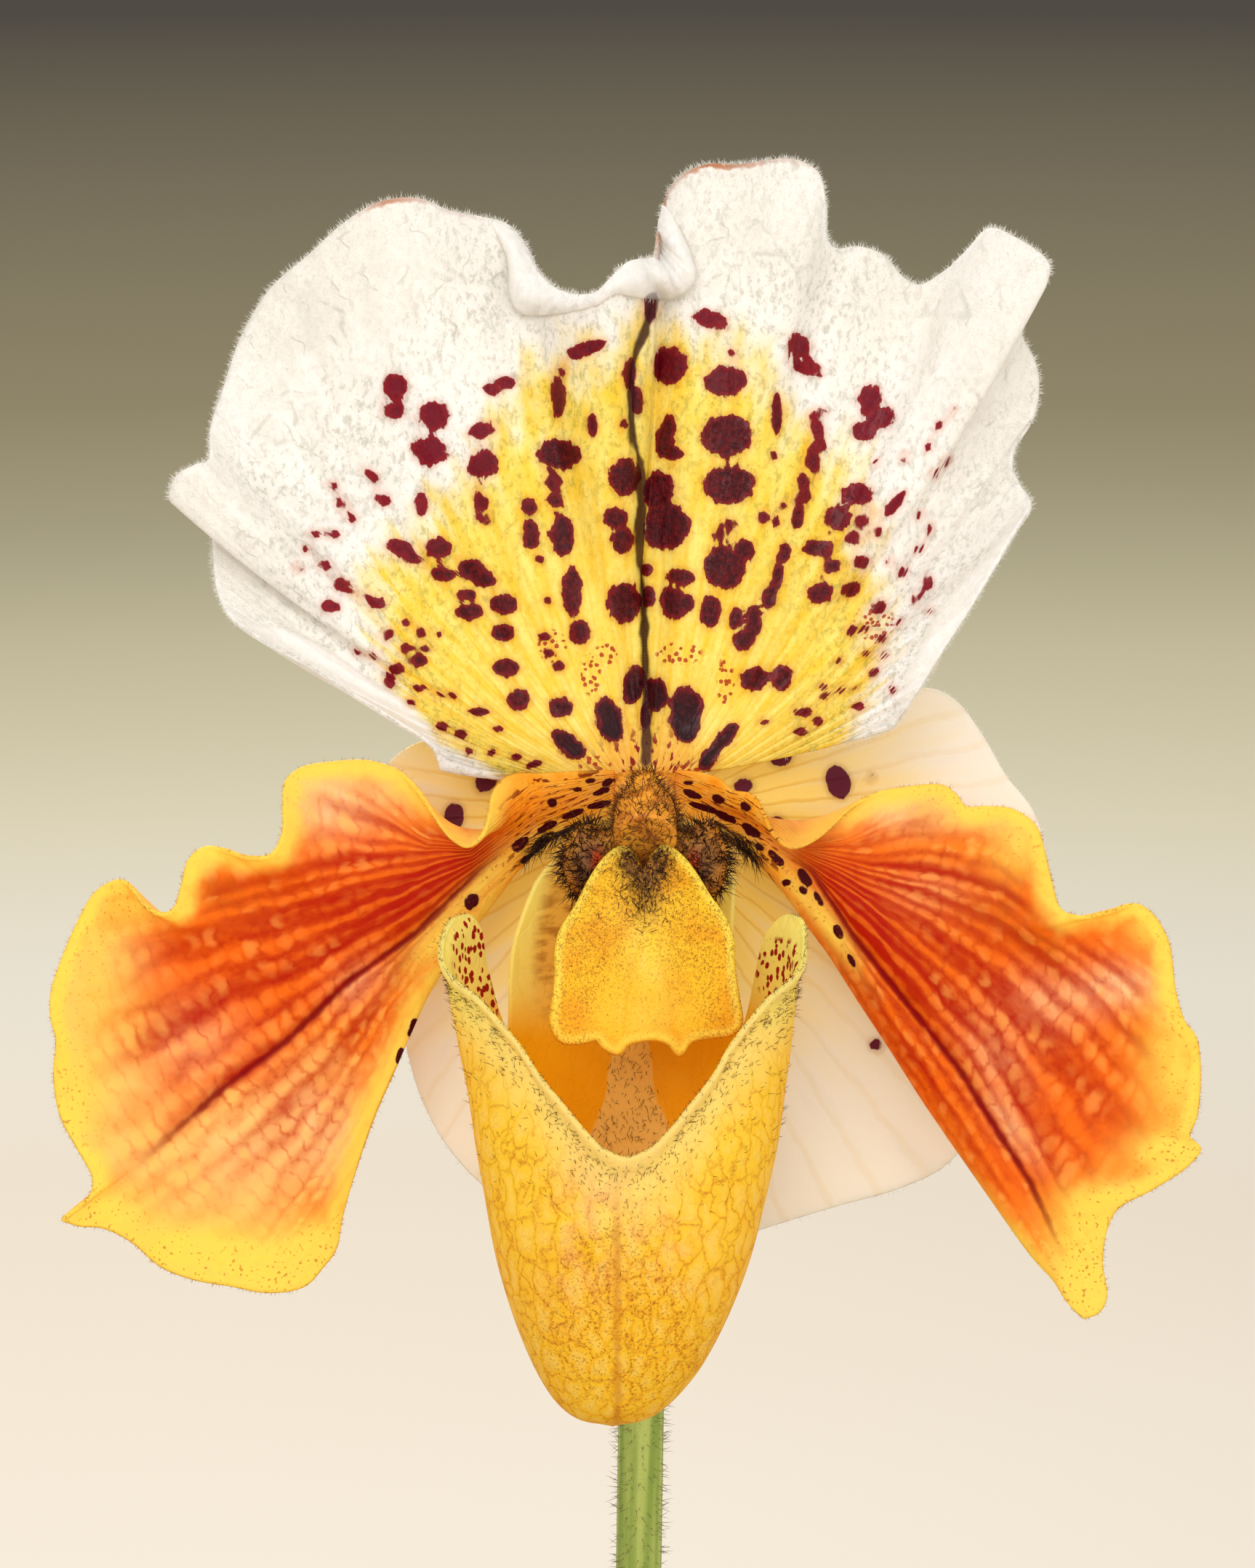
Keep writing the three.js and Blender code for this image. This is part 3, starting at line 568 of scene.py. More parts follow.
class Shading:
    """Short calls that add nodes to one tree and hand back their outputs."""

    def __init__(self, tree: bpy.types.NodeTree) -> None:
        """Starts on a tree."""
        self.tree = tree

    def feed(self, target: Socket, value: Value | Colour) -> None:
        """Links a socket to an output, or sets its own value."""
        if isinstance(value, bpy.types.NodeSocket):
            self.tree.links.new(value, target)
        else:
            target.default_value = value

    def put(self, kind: str, inputs: dict[str | int, Value | Colour] | None = None,
            **settings) -> bpy.types.Node:
        """Adds a node.

        Args:
            kind: Blender's name for the node.
            inputs: What each input gets.
            **settings: The node's own settings.

        Returns:
            The node.
        """
        node = self.tree.nodes.new(kind)
        for name, value in settings.items():
            setattr(node, name, value)
        for name, value in (inputs or {}).items():
            self.feed(node.inputs[name], value)
        return node

    def math(self, operation: str, first: Value, second: Value = 0.0) -> Socket:
        """Works out one step of arithmetic."""
        return self.put("ShaderNodeMath", {0: first, 1: second}, operation=operation).outputs[0]

    def times(self, first: Value, *others: Value) -> Socket:
        """Multiplies values."""
        result = first
        for other in others:
            result = self.math("MULTIPLY", result, other)
        return result

    def plus(self, first: Value, *others: Value) -> Socket:
        """Adds values."""
        result = first
        for other in others:
            result = self.math("ADD", result, other)
        return result

    def ease(self, value: Value, start: float, end: float, low: float = 0.0, high: float = 1.0) -> Socket:
        """Runs smoothly from low, where the value is at start, to high at end."""
        inputs = {"Value": value, "From Min": start, "From Max": end, "To Min": low, "To Max": high}
        return self.put("ShaderNodeMapRange", inputs, interpolation_type="SMOOTHSTEP").outputs["Result"]

    def mix(self, share: Value, first: Socket | Colour, second: Socket | Colour,
            blend: str = "MIX") -> Socket:
        """Mixes two colours."""
        inputs = {0: share, 6: first, 7: second}
        return self.put("ShaderNodeMix", inputs, data_type="RGBA", blend_type=blend).outputs[2]

    def ramp(self, value: Value, stops: Sequence[tuple[float, Colour]], mode: str = "EASE") -> Socket:
        """Reads a colour off a scale of stops."""
        node = self.put("ShaderNodeValToRGB", {"Fac": value})
        node.color_ramp.interpolation = mode
        elements = node.color_ramp.elements
        while len(elements) < len(stops):
            elements.new(0.5)
        for element, (position, colour) in zip(elements, stops):
            element.position = position
            element.color = colour
        return node.outputs["Color"]

    def mark(self, name: str) -> Socket:
        """Reads a value that the mesh carries at its corners."""
        return self.put("ShaderNodeAttribute", attribute_name=name).outputs["Fac"]

    def place(self) -> Socket:
        """Gives the place on the plant in millimetres."""
        inputs = {0: self.put("ShaderNodeTexCoord").outputs["Object"]}
        node = self.put("ShaderNodeVectorMath", inputs, operation="SCALE")
        node.inputs["Scale"].default_value = 1 / MM
        return node.outputs[0]

    def vector(self, x: Value, y: Value, z: Value = 0.0) -> Socket:
        """Puts three values in a vector."""
        return self.put("ShaderNodeCombineXYZ", {0: x, 1: y, 2: z}).outputs[0]

    def noise(self, place: Socket, scale: float, detail: float = 2.0, roughness: float = 0.5) -> Socket:
        """Gives soft noise between 0 and 1, with scale in waves a millimetre."""
        inputs = {"Vector": place, "Scale": scale, "Detail": detail, "Roughness": roughness}
        return self.put("ShaderNodeTexNoise", inputs, noise_dimensions="3D").outputs[0]

    def swing(self, place: Socket, scale: float, size: Value, detail: float = 2.0) -> Socket:
        """Gives noise about 0, up to about half of size each way."""
        return self.times(self.math("SUBTRACT", self.noise(place, scale, detail), 0.5), size)

    def stretched(self, place: Socket, shares: tuple[float, float, float]) -> Socket:
        """Scales a place by its own share along each axis."""
        return self.put("ShaderNodeVectorMath", {0: place, 1: shares}, operation="MULTIPLY").outputs[0]

    def warped(self, place: Socket, scale: float, size: float) -> Socket:
        """Shifts a place by soft noise, up to about half of size each way."""
        noise = self.put("ShaderNodeTexNoise", {"Vector": place, "Scale": scale,
                                                "Detail": 2.0}).outputs["Color"]
        centred = self.put("ShaderNodeVectorMath", {0: noise, 1: (0.5, 0.5, 0.5)},
                           operation="SUBTRACT").outputs[0]
        scaled = self.put("ShaderNodeVectorMath", {0: centred, "Scale": size}, operation="SCALE").outputs[0]
        return self.put("ShaderNodeVectorMath", {0: place, 1: scaled}, operation="ADD").outputs[0]

    def cells(self, place: Socket, scale: float, feature: str = "F1",
              randomness: float = 1.0) -> bpy.types.Node:
        """Adds a pattern of cells."""
        inputs = {"Vector": place, "Scale": scale, "Randomness": randomness}
        return self.put("ShaderNodeTexVoronoi", inputs, feature=feature)

    def effect(self, effect: "Effect", **inputs: Value) -> bpy.types.Node:
        """Places a shared effect with its own values."""
        node = self.put("ShaderNodeGroup", node_tree=effect.tree())
        for name, value in inputs.items():
            self.feed(node.inputs[name], value)
        return node


class Effect(Enum):
    """Effects that more than one finish uses, each a group of nodes made once."""

    VEINS = "vein net"
    BLOTCH = "blotch"
    SKIN = "skin grain"

    def tree(self) -> bpy.types.NodeTree:
        """Gives the group, made at its first use."""
        known = bpy.data.node_groups.get(self.value)
        if known:
            return known
        tree = bpy.data.node_groups.new(self.value, "ShaderNodeTree")
        recipe = {Effect.VEINS: make_veins, Effect.BLOTCH: make_blotch, Effect.SKIN: make_skin}[self]
        recipe(GroupShading(tree))
        return tree


class GroupShading(Shading):
    """Shading inside a group, with named inputs and outputs."""

    def __init__(self, tree: bpy.types.NodeTree) -> None:
        """Starts on a group's tree."""
        super().__init__(tree)
        self.inlet = self.put("NodeGroupInput")
        self.outlet = self.put("NodeGroupOutput")

    def takes(self, name: str, kind: str = "NodeSocketFloat", value: float = 0.0) -> Socket:
        """Adds an input to the group and gives its value."""
        socket = self.tree.interface.new_socket(name=name, in_out="INPUT", socket_type=kind)
        if kind == "NodeSocketFloat":
            socket.default_value = value
        return self.inlet.outputs[name]

    def gives(self, name: str, value: Socket) -> None:
        """Adds an output to the group and feeds it."""
        self.tree.interface.new_socket(name=name, in_out="OUTPUT", socket_type="NodeSocketFloat")
        self.tree.links.new(value, self.outlet.inputs[name])


def make_veins(s: GroupShading) -> None:
    """Soft veins that run lengthwise at whole numbers, with rows of beads between them.

    Args:
        s: The group's shading. Line is 1 on a vein, Link is 1 between two beads of a row, Bead is 1 at the
            middle of a bead, and Tone differs from bead to bead.
    """
    across, lengthwise = s.takes("Across"), s.takes("Along")
    bead, waver, width = s.takes("Bead", value=2.5), s.takes("Waver", value=0.3), s.takes("Width", value=0.2)
    place = s.vector(s.times(across, 0.9), s.times(lengthwise, 0.25))
    warped = s.plus(across, s.swing(place, 1.0, waver, 3.0))
    gap = s.math("PINGPONG", warped, 0.5)
    s.gives("Line", s.ease(s.math("DIVIDE", gap, width), 1.0, 0.05))
    column = s.math("FLOOR", warped)
    shift = s.put("ShaderNodeTexWhiteNoise", {"W": column}, noise_dimensions="1D").outputs["Value"]
    wobble = s.swing(s.vector(s.times(across, 1.7), s.times(lengthwise, 0.5), 4.0), 1.0, 1.3)
    rung = s.plus(s.math("DIVIDE", lengthwise, bead), s.times(shift, 5.0), wobble)
    step = s.math("PINGPONG", rung, 0.5)
    s.gives("Link", s.ease(step, 0.2, 0.04))
    offset = s.vector(s.math("SUBTRACT", 0.5, gap), s.math("SUBTRACT", 0.5, step))
    far = s.put("ShaderNodeVectorMath", {0: offset}, operation="LENGTH").outputs["Value"]
    seed = s.vector(column, s.math("FLOOR", rung))
    tone = s.put("ShaderNodeTexWhiteNoise", {"Vector": seed}, noise_dimensions="3D").outputs["Value"]
    s.gives("Tone", tone)
    s.gives("Bead", s.ease(s.plus(far, s.times(tone, -0.2)), 0.36, -0.05))


def make_blotch(s: GroupShading) -> None:
    """A blotch with a crisp outline that is nibbled into teeth along the veins.

    Args:
        s: The group's shading. It takes the distance to the plain outline in millimetres, below 0 inside.
    """
    distance, place = s.takes("Distance"), s.takes("Place", "NodeSocketVector")
    nibble = s.takes("Nibble", value=0.3)
    lobes = s.swing(place, 0.9, s.times(nibble, 2.0), 3.0)
    teeth = s.swing(s.stretched(place, (2.6, 0.6, 0.9)), 1.0, s.times(nibble, 1.5), 2.0)
    rough = s.plus(distance, lobes, teeth)
    s.gives("Mask", s.ease(rough, 0.07, -0.07))
    s.gives("Halo", s.ease(rough, 0.6, 0.0))
    s.gives("Core", s.ease(rough, -0.05, -0.8))


def make_skin(s: GroupShading) -> None:
    """The cells of a petal's skin, as a fine pebbled relief and a faint change of tone.

    Args:
        s: The group's shading. It takes the place in millimetres and the number of cells a millimetre.
    """
    place, size = s.takes("Place", "NodeSocketVector"), s.takes("Size", value=3.0)
    scaled = s.put("ShaderNodeVectorMath", {0: place, "Scale": size}, operation="SCALE").outputs[0]
    pebble = s.cells(scaled, 1.0).outputs["Distance"]
    broad = s.noise(scaled, 0.12, 3.0)
    s.gives("Height", s.math("SUBTRACT", s.times(broad, 0.8), s.times(pebble, 0.5)))
    s.gives("Tone", s.plus(s.times(s.noise(scaled, 0.55, 2.0), 0.6), s.times(broad, 0.4)))


@dataclass(frozen=True)
class Finish:
    """What every finish has.

    Attributes:
        name: The material's name.
        roughness: How dull it is.
        glow: Share of the light that passes through it.
        bump: Strength of the relief.
        relief_mm: Height of the relief in millimetres.
        gloss: Strength of its reflections.
    """

    name: str
    roughness: float = 0.5
    glow: float = 0.0
    bump: float = 0.4
    relief_mm: float = 0.15
    gloss: float = 0.25

    def paint(self, s: Shading) -> Coat:
        """Adds the nodes of this finish. Each finish has its own.

        Args:
            s: Shading of the material.

        Returns:
            The coat.
        """
        raise NotImplementedError

    def material(self) -> bpy.types.Material:
        """Gives the material, made at its first use."""
        known = bpy.data.materials.get(self.name)
        if known:
            return known
        material = bpy.data.materials.new(self.name)
        material.use_nodes = True
        material.node_tree.nodes.clear()
        s = Shading(material.node_tree)
        coat = self.paint(s)
        bump = s.put("ShaderNodeBump", {"Strength": self.bump, "Distance": self.relief_mm * MM,
                                        "Height": coat.relief}).outputs[0]
        rough = self.roughness if coat.roughness is None else coat.roughness
        skin = s.put("ShaderNodeBsdfPrincipled", {"Base Color": coat.colour, "Roughness": rough,
                                                  "Normal": bump, "Specular IOR Level": self.gloss})
        surface = skin.outputs[0]
        if self.glow:
            through = s.put("ShaderNodeBsdfTranslucent", {"Color": coat.colour, "Normal": bump}).outputs[0]
            surface = s.put("ShaderNodeMixShader", {0: self.glow, 1: surface, 2: through}).outputs[0]
        s.put("ShaderNodeOutputMaterial", {"Surface": surface})
        return material


def add_piece(name: str, body: Body, finish: Finish,
              nodes: Sequence[str] = ()) -> bpy.types.Object:
    """Puts a body in the scene, dressed and riding on the plant.

    Args:
        name: The piece's name.
        body: Its mesh, in millimetres of the plant's frame.
        finish: Its finish.
        nodes: Solids that it stands for.

    Returns:
        The object.
    """
    mesh = bpy.data.meshes.new(name)
    mesh.from_pydata((body.points * MM).tolist(), [], body.faces)
    for mark, values in body.marks.items():
        layer = mesh.attributes.new(mark, "FLOAT", "POINT")
        layer.data.foreach_set("value", np.asarray(values, dtype=np.float32))
    mesh.shade_smooth()
    mesh.materials.append(finish.material())
    piece = bpy.data.objects.new(name, mesh)
    bpy.context.scene.collection.objects.link(piece)
    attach(piece, BODY)
    if nodes:
        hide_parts(*nodes)
    triangles = sum(len(face) - 2 for face in body.faces)
    LOG.info("%s: %d triangles", name, triangles)
    return piece


def in_bloom(body: Body) -> Body:
    """Takes a body from the bloom's frame to the plant's."""
    return Body(PLACE.to_world(body.points), body.faces, body.marks)


# Edges of the sepals, the petals and the lip

DORSAL_MIDRIB = (
    (0, 3.4, -1.4), (-0.2, 14, -1.6), (-0.6, 26, -1), (-0.4, 38, 0.6), (1, 51.2, 3.5),
)
DORSAL_LEFT_EDGE = (
    (-18.6, 4.2, 2), (-19.6, 6.4, 3), (-23, 8.7, 3.6), (-27, 11.2, 3.8), (-31.2, 14, 3.6), (-35, 16, 3),
    (-38, 18.2, 2), (-39.2, 21, 0.5), (-39.5, 24.5, -1.5), (-39.7, 27.4, -2.6), (-41.2, 28.6, -0.6),
    (-43.4, 28.9, 2.4), (-42.9, 31, 3.8), (-41.2, 32, 4.2), (-39.9, 32.6, 2.5), (-39.7, 35.5, -0.5),
    (-38.4, 39.5, -2), (-36.8, 44, -2), (-34.2, 48.2, -1), (-30.8, 51.2, 0.5), (-27.5, 54.2, 2),
    (-24.2, 56.1, 3), (-20.8, 56.4, 2.5), (-18, 55.3, 1), (-15, 54.7, -1), (-12.6, 54, -2),
    (-10.9, 52, -2), (-9.8, 49.7, -0.5), (-8, 48.1, 2), (-5.5, 47.6, 4.2), (-3.7, 48.2, 5.6),
    (-2.4, 50, 6), (-0.6, 50.8, 5.4), (1, 51.2, 3.5),
)
DORSAL_RIGHT_EDGE = (
    (22.6, 8, 1.2), (25, 11.5, 3), (27, 14.8, 3.6), (29.4, 18.5, 3.8), (32, 22.8, 3.4), (34, 26.2, 2.5),
    (35.3, 28.4, 1), (34.3, 30.2, -0.5), (33.6, 32, -2), (34.1, 34.2, -3), (35.5, 36.4, -3.5),
    (36, 39, -3.5), (35.7, 41.4, -3), (34.5, 43.8, -1.5), (34.4, 45.4, 1), (36, 47.5, 3.5),
    (37, 49.8, 4.5), (36.4, 51.2, 4.5), (34, 52.8, 3.5), (31.6, 53.7, 2), (29.8, 51.9, 0),
    (27.8, 50, -1.5), (25.4, 48.5, -2), (23.6, 49.2, -1), (21.8, 51.2, 1), (19.5, 52, 2.5),
    (17.6, 51.8, 2), (16.6, 53, 0), (16.5, 56, -2), (15.8, 58.8, -3), (13.5, 60, -2.5), (10.8, 59.8, -1),
    (8.5, 59.5, 0.5), (5.5, 59.5, 1.5), (2.9, 58.1, 1), (1.8, 55.8, 0.5), (1.3, 53.6, 1.5), (1, 51.2, 3.5),
)
SYNSEPAL_MIDRIB = (
    (0, -0.6, -3.6), (0, -12, -4.4), (-0.5, -26, -6.6), (0, -40.5, -10),
)
SYNSEPAL_LEFT_EDGE = (
    (-2.6, 2, -3.6), (-7, 4.5, -4), (-12, 6.5, -4.5), (-17, 7.2, -5), (-20.5, 6.6, -5.5), (-23.2, 4.8, -6),
    (-24.6, 1.6, -5.6), (-24.4, -3, -6.5), (-24, -9, -7.4), (-23, -15, -7.2), (-21.8, -21, -8),
    (-20.3, -26, -8.8), (-17.8, -30.5, -8.6), (-14, -34.5, -9), (-9, -38, -10), (-4, -40, -10),
    (0, -40.5, -10),
)
SYNSEPAL_RIGHT_EDGE = (
    (2.6, 2, -3.6), (8, 5, -4), (14, 8, -5), (20, 10.5, -5.6), (25.5, 11.5, -6.4), (28.5, 10.3, -7.4),
    (31, 7, -8), (33, 3.5, -7.6), (35.6, 0, -7.6), (36.8, -5, -8.6), (36.5, -11, -9.4), (35, -17, -9),
    (32.8, -23, -8.4), (30.5, -28, -9), (27.5, -32, -9.2), (23, -34.2, -8), (18, -35.6, -7.4),
    (12, -37.4, -8.4), (6, -39.3, -9.6), (0, -40.5, -10),
)
LEFT_PETAL_MIDRIB = (
    (-2.9, 2.2, 1), (-10, -0.8, 1.3), (-16, -5.2, 1.6), (-22, -10.5, 1.8), (-28, -16, 2),
    (-34, -21.4, 2.2), (-40, -26.6, 3), (-46, -31.6, 4.5), (-50, -34.6, 6), (-53.4, -37, 8),
)
LEFT_PETAL_LEFT_EDGE = (
    (-2.9, 0.4, 0.9), (-6, -0.9, 0.8), (-9, -2.5, 0.6), (-11.6, -4.8, 0.3), (-13.6, -7.4, 0.2),
    (-16, -10.5, 0.2), (-18.4, -13.6, 0.3), (-20.2, -16.6, 0.6), (-21.4, -19.4, 1), (-23, -23.2, 1.2),
    (-24.6, -26.8, 1.2), (-25.8, -30, 1.3), (-26.9, -33.4, 1.6), (-27.8, -36.6, 2.3), (-28.4, -39.6, 3.2),
    (-29.6, -41.3, 3.8), (-31.4, -43.1, 4.4), (-34.6, -43.6, 4.8), (-38, -43, 4.4), (-41.4, -42.4, 3.8),
    (-44.4, -41.2, 4), (-47, -39, 5), (-49.6, -37.7, 6), (-51.8, -37.5, 7), (-53.4, -37, 8),
)
LEFT_PETAL_RIGHT_EDGE = (
    (-2.9, 4, 1.2), (-6, 3.9, 1.5), (-9.5, 3.7, 2), (-12.2, 3.6, 2.5), (-13.8, 2.2, 3.5), (-14.3, 0, 4.6),
    (-15, -1.9, 5.6), (-16.3, -2.8, 6), (-17.8, -2, 5.4), (-19.2, -0.2, 4), (-20.8, 2.3, 2.2),
    (-22.6, 4, 0.8), (-25.4, 4.9, 0), (-28.6, 4.8, 0), (-31.4, 4.3, 0.5), (-32.9, 3, 1.5), (-33.1, 0.6, 3),
    (-33.2, -1.7, 4.5), (-34.3, -3.6, 5.5), (-36.6, -3.8, 5), (-38.7, -3.1, 4), (-40.4, -3, 3.5),
    (-41.8, -4.2, 4), (-42.4, -6.4, 5), (-43.1, -8.5, 6.2), (-44.5, -9, 6.5), (-46, -8.1, 6),
    (-47.1, -6.6, 5), (-48.3, -6, 4), (-50.4, -7.2, 3.5), (-52, -10, 3.5), (-53.3, -13, 4),
    (-54.3, -16, 5), (-54.4, -18.4, 6), (-53.9, -20.6, 6), (-54.1, -24, 5), (-53.5, -27.5, 4.5),
    (-52, -30.4, 5), (-50.6, -33, 6), (-50.8, -34.8, 7), (-52.2, -36, 7.6), (-53.4, -37, 8),
)
RIGHT_PETAL_MIDRIB = (
    (2.9, 2.2, 1), (8, 0.2, 1.5), (13.5, -4, 2), (18, -9, 2.6), (23, -15.5, 3), (27.5, -21.6, 3),
    (31.5, -27.5, 3), (35, -33.5, 3.2), (37.2, -38.5, 4), (39, -43, 5.5), (40.3, -46, 7),
)
RIGHT_PETAL_LEFT_EDGE = (
    (2.9, 0.4, 0.9), (6, -1.2, 0.8), (9, -3.2, 0.6), (12.2, -5.9, 0.3), (15, -8.6, 0), (17.2, -11.3, -0.5),
    (19.2, -14, -1), (21.4, -17.4, -1.5), (24, -21.5, -1.5), (26.6, -25.7, -1.5), (29.2, -30.2, -1),
    (31.4, -34, 0), (33.6, -37.6, 1.5), (35.8, -40.6, 3), (37.6, -42.6, 4.5), (39, -44.8, 6),
    (40.3, -46, 7),
)
RIGHT_PETAL_RIGHT_EDGE = (
    (2.9, 4, 1.2), (5, 3.8, 1.6), (6.8, 3.2, 2.2), (8, 2.2, 2.8), (9.8, 1.8, 3.6), (10.8, 0.3, 4.6),
    (11.8, -1.7, 5.8), (13.2, -2.9, 6.4), (15, -2.5, 5.6), (16.8, -1.2, 4), (18.6, 0.5, 2.4), (21, 1.9, 1),
    (24, 2.5, 0), (27, 2.7, -0.3), (28.4, 1.9, 0.2), (29.4, 0.7, 1), (31.5, 0.7, 1), (33.8, 0.4, 0.5),
    (35.8, -1.1, 0.5), (36.6, -3.7, 1.2), (37.2, -6.2, 2.5), (38, -8.6, 4), (40, -9.3, 4.8),
    (42.6, -8.8, 4), (44.9, -8.2, 3), (46.6, -9.3, 2.6), (47.8, -11.4, 3), (48.2, -13.4, 3.8),
    (48.5, -16, 4.5), (49.3, -18.8, 4.2), (50.5, -20.6, 3.5), (50.8, -24, 3), (50.5, -27.4, 3.6),
    (49.8, -29.4, 5), (50.8, -30.6, 6.5), (49.2, -32.4, 7), (46.2, -34.3, 6.5), (43.4, -35.8, 6),
    (42.2, -38, 5.5), (41.8, -41, 5.5), (42.2, -43.8, 6), (41.6, -45.4, 6.5), (40.3, -46, 7),
)
SHIELD_MIDRIB = (
    (-0.2, -5, 11.8), (0, -9.5, 13.6), (0, -15, 14.6), (0, -20.4, 13.6),
)
SHIELD_LEFT_EDGE = (
    (-0.8, -3.9, 11), (-2.1, -2.9, 10.6), (-3.6, -3.9, 10.8), (-4.9, -5.7, 11.2), (-6.2, -8.2, 12),
    (-7.6, -10.4, 12.4), (-8.1, -12.4, 12.6), (-8.1, -14.8, 12.8), (-8.4, -17.2, 12.8),
    (-8.5, -19.2, 12.6), (-7.6, -20.6, 12.6), (-5.8, -20.7, 12.8), (-4.5, -20.4, 13), (-3.7, -21.2, 13),
    (-2.5, -21.7, 13), (-1.6, -20.8, 13.4), (0, -20.4, 13.6),
)
SHIELD_RIGHT_EDGE = (
    (0.5, -3.9, 11), (1.7, -2.8, 10.6), (3.2, -3.7, 10.8), (4.5, -5.3, 11.2), (5.8, -7.4, 12),
    (7.2, -9.4, 12.4), (7.9, -11.4, 12.6), (8, -13.8, 12.8), (8.4, -16.6, 12.8), (8.7, -18.8, 12.6),
    (7.9, -19.9, 12.6), (5.8, -20.2, 12.8), (4.2, -20.6, 13), (3.2, -21.8, 13), (2.2, -20.8, 13.4),
    (1, -20.4, 13.5), (0, -20.4, 13.6),
)
LIP_RIM = (
    (0, -31.4), (8, -30.6), (14, -29), (21, -26.6), (29, -23.8), (35, -21), (42, -18.8), (51, -16.6),
    (64, -15), (76, -13.6), (90, -11.2), (100, -9.6), (110, -9.2), (118, -10.4), (123, -14), (127, -18.6),
    (130, -20.2), (133, -18), (137, -11.6), (142, -6), (150, -4), (164, -3.4), (180, -3.4),
)
LIP_CENTRE = (
    (-55.7, -3), (-50, -2.5), (-40, -2), (-28, -1.7), (-13, -2.1), (-3, -0.6),
)
LIP_HALF_WIDTH = (
    (-55.7, 0), (-55.2, 2.9), (-54.2, 4.8), (-52.6, 6.5), (-50, 8.4), (-45, 10.9), (-40, 12.7),
    (-35, 13.9), (-30, 15), (-25, 15.8), (-20, 16.7), (-13, 17.6), (-3, 17.6),
)
LIP_FRONT = (
    (-55.7, 9.5), (-55.2, 12.2), (-54.2, 14), (-52, 16), (-48, 18.4), (-42, 20.6), (-36, 21.8), (-30, 22),
    (-3, 21),
)
LIP_BACK = (
    (-55.7, 9.5), (-55.2, 7), (-54.2, 5.4), (-52, 3.6), (-48, 1.6), (-42, 0), (-34, -0.8), (-22, -0.4),
    (-12, 1.4), (-3, 1.6),
)


# The dorsal sepal

DORSAL_CREASE = (
    (0.5, 47.4), (0, 45), (-1.2, 41.5), (-1.4, 38), (-1.2, 35), (-0.6, 32), (-0.5, 28), (-0.6, 24),
    (-0.2, 20), (0, 15), (0.1, 10), (0.1, 5),
)
DORSAL_HEART = (
    (-90, 14), (-70, 26), (-50, 33), (-35, 33), (-20, 38), (0, 43), (15, 42), (30, 36), (45, 31), (60, 27),
    (80, 20), )
DORSAL_BAND_LEFT = (
    (-39, 19.3), (-36, 17.3), (-33, 16.9), (-30, 15.5), (-27.5, 13.9), (-25, 12), (-22.5, 10.5), (-20, 8.3),
    (-19, 6), (-18.7, 4.1),
)
DORSAL_BAND_RIGHT = (
    (35, 28), (33.2, 25.8), (31.5, 23.3), (29, 21), (27, 18.5), (25.5, 15.5), (24.3, 13), (23.5, 10),
)
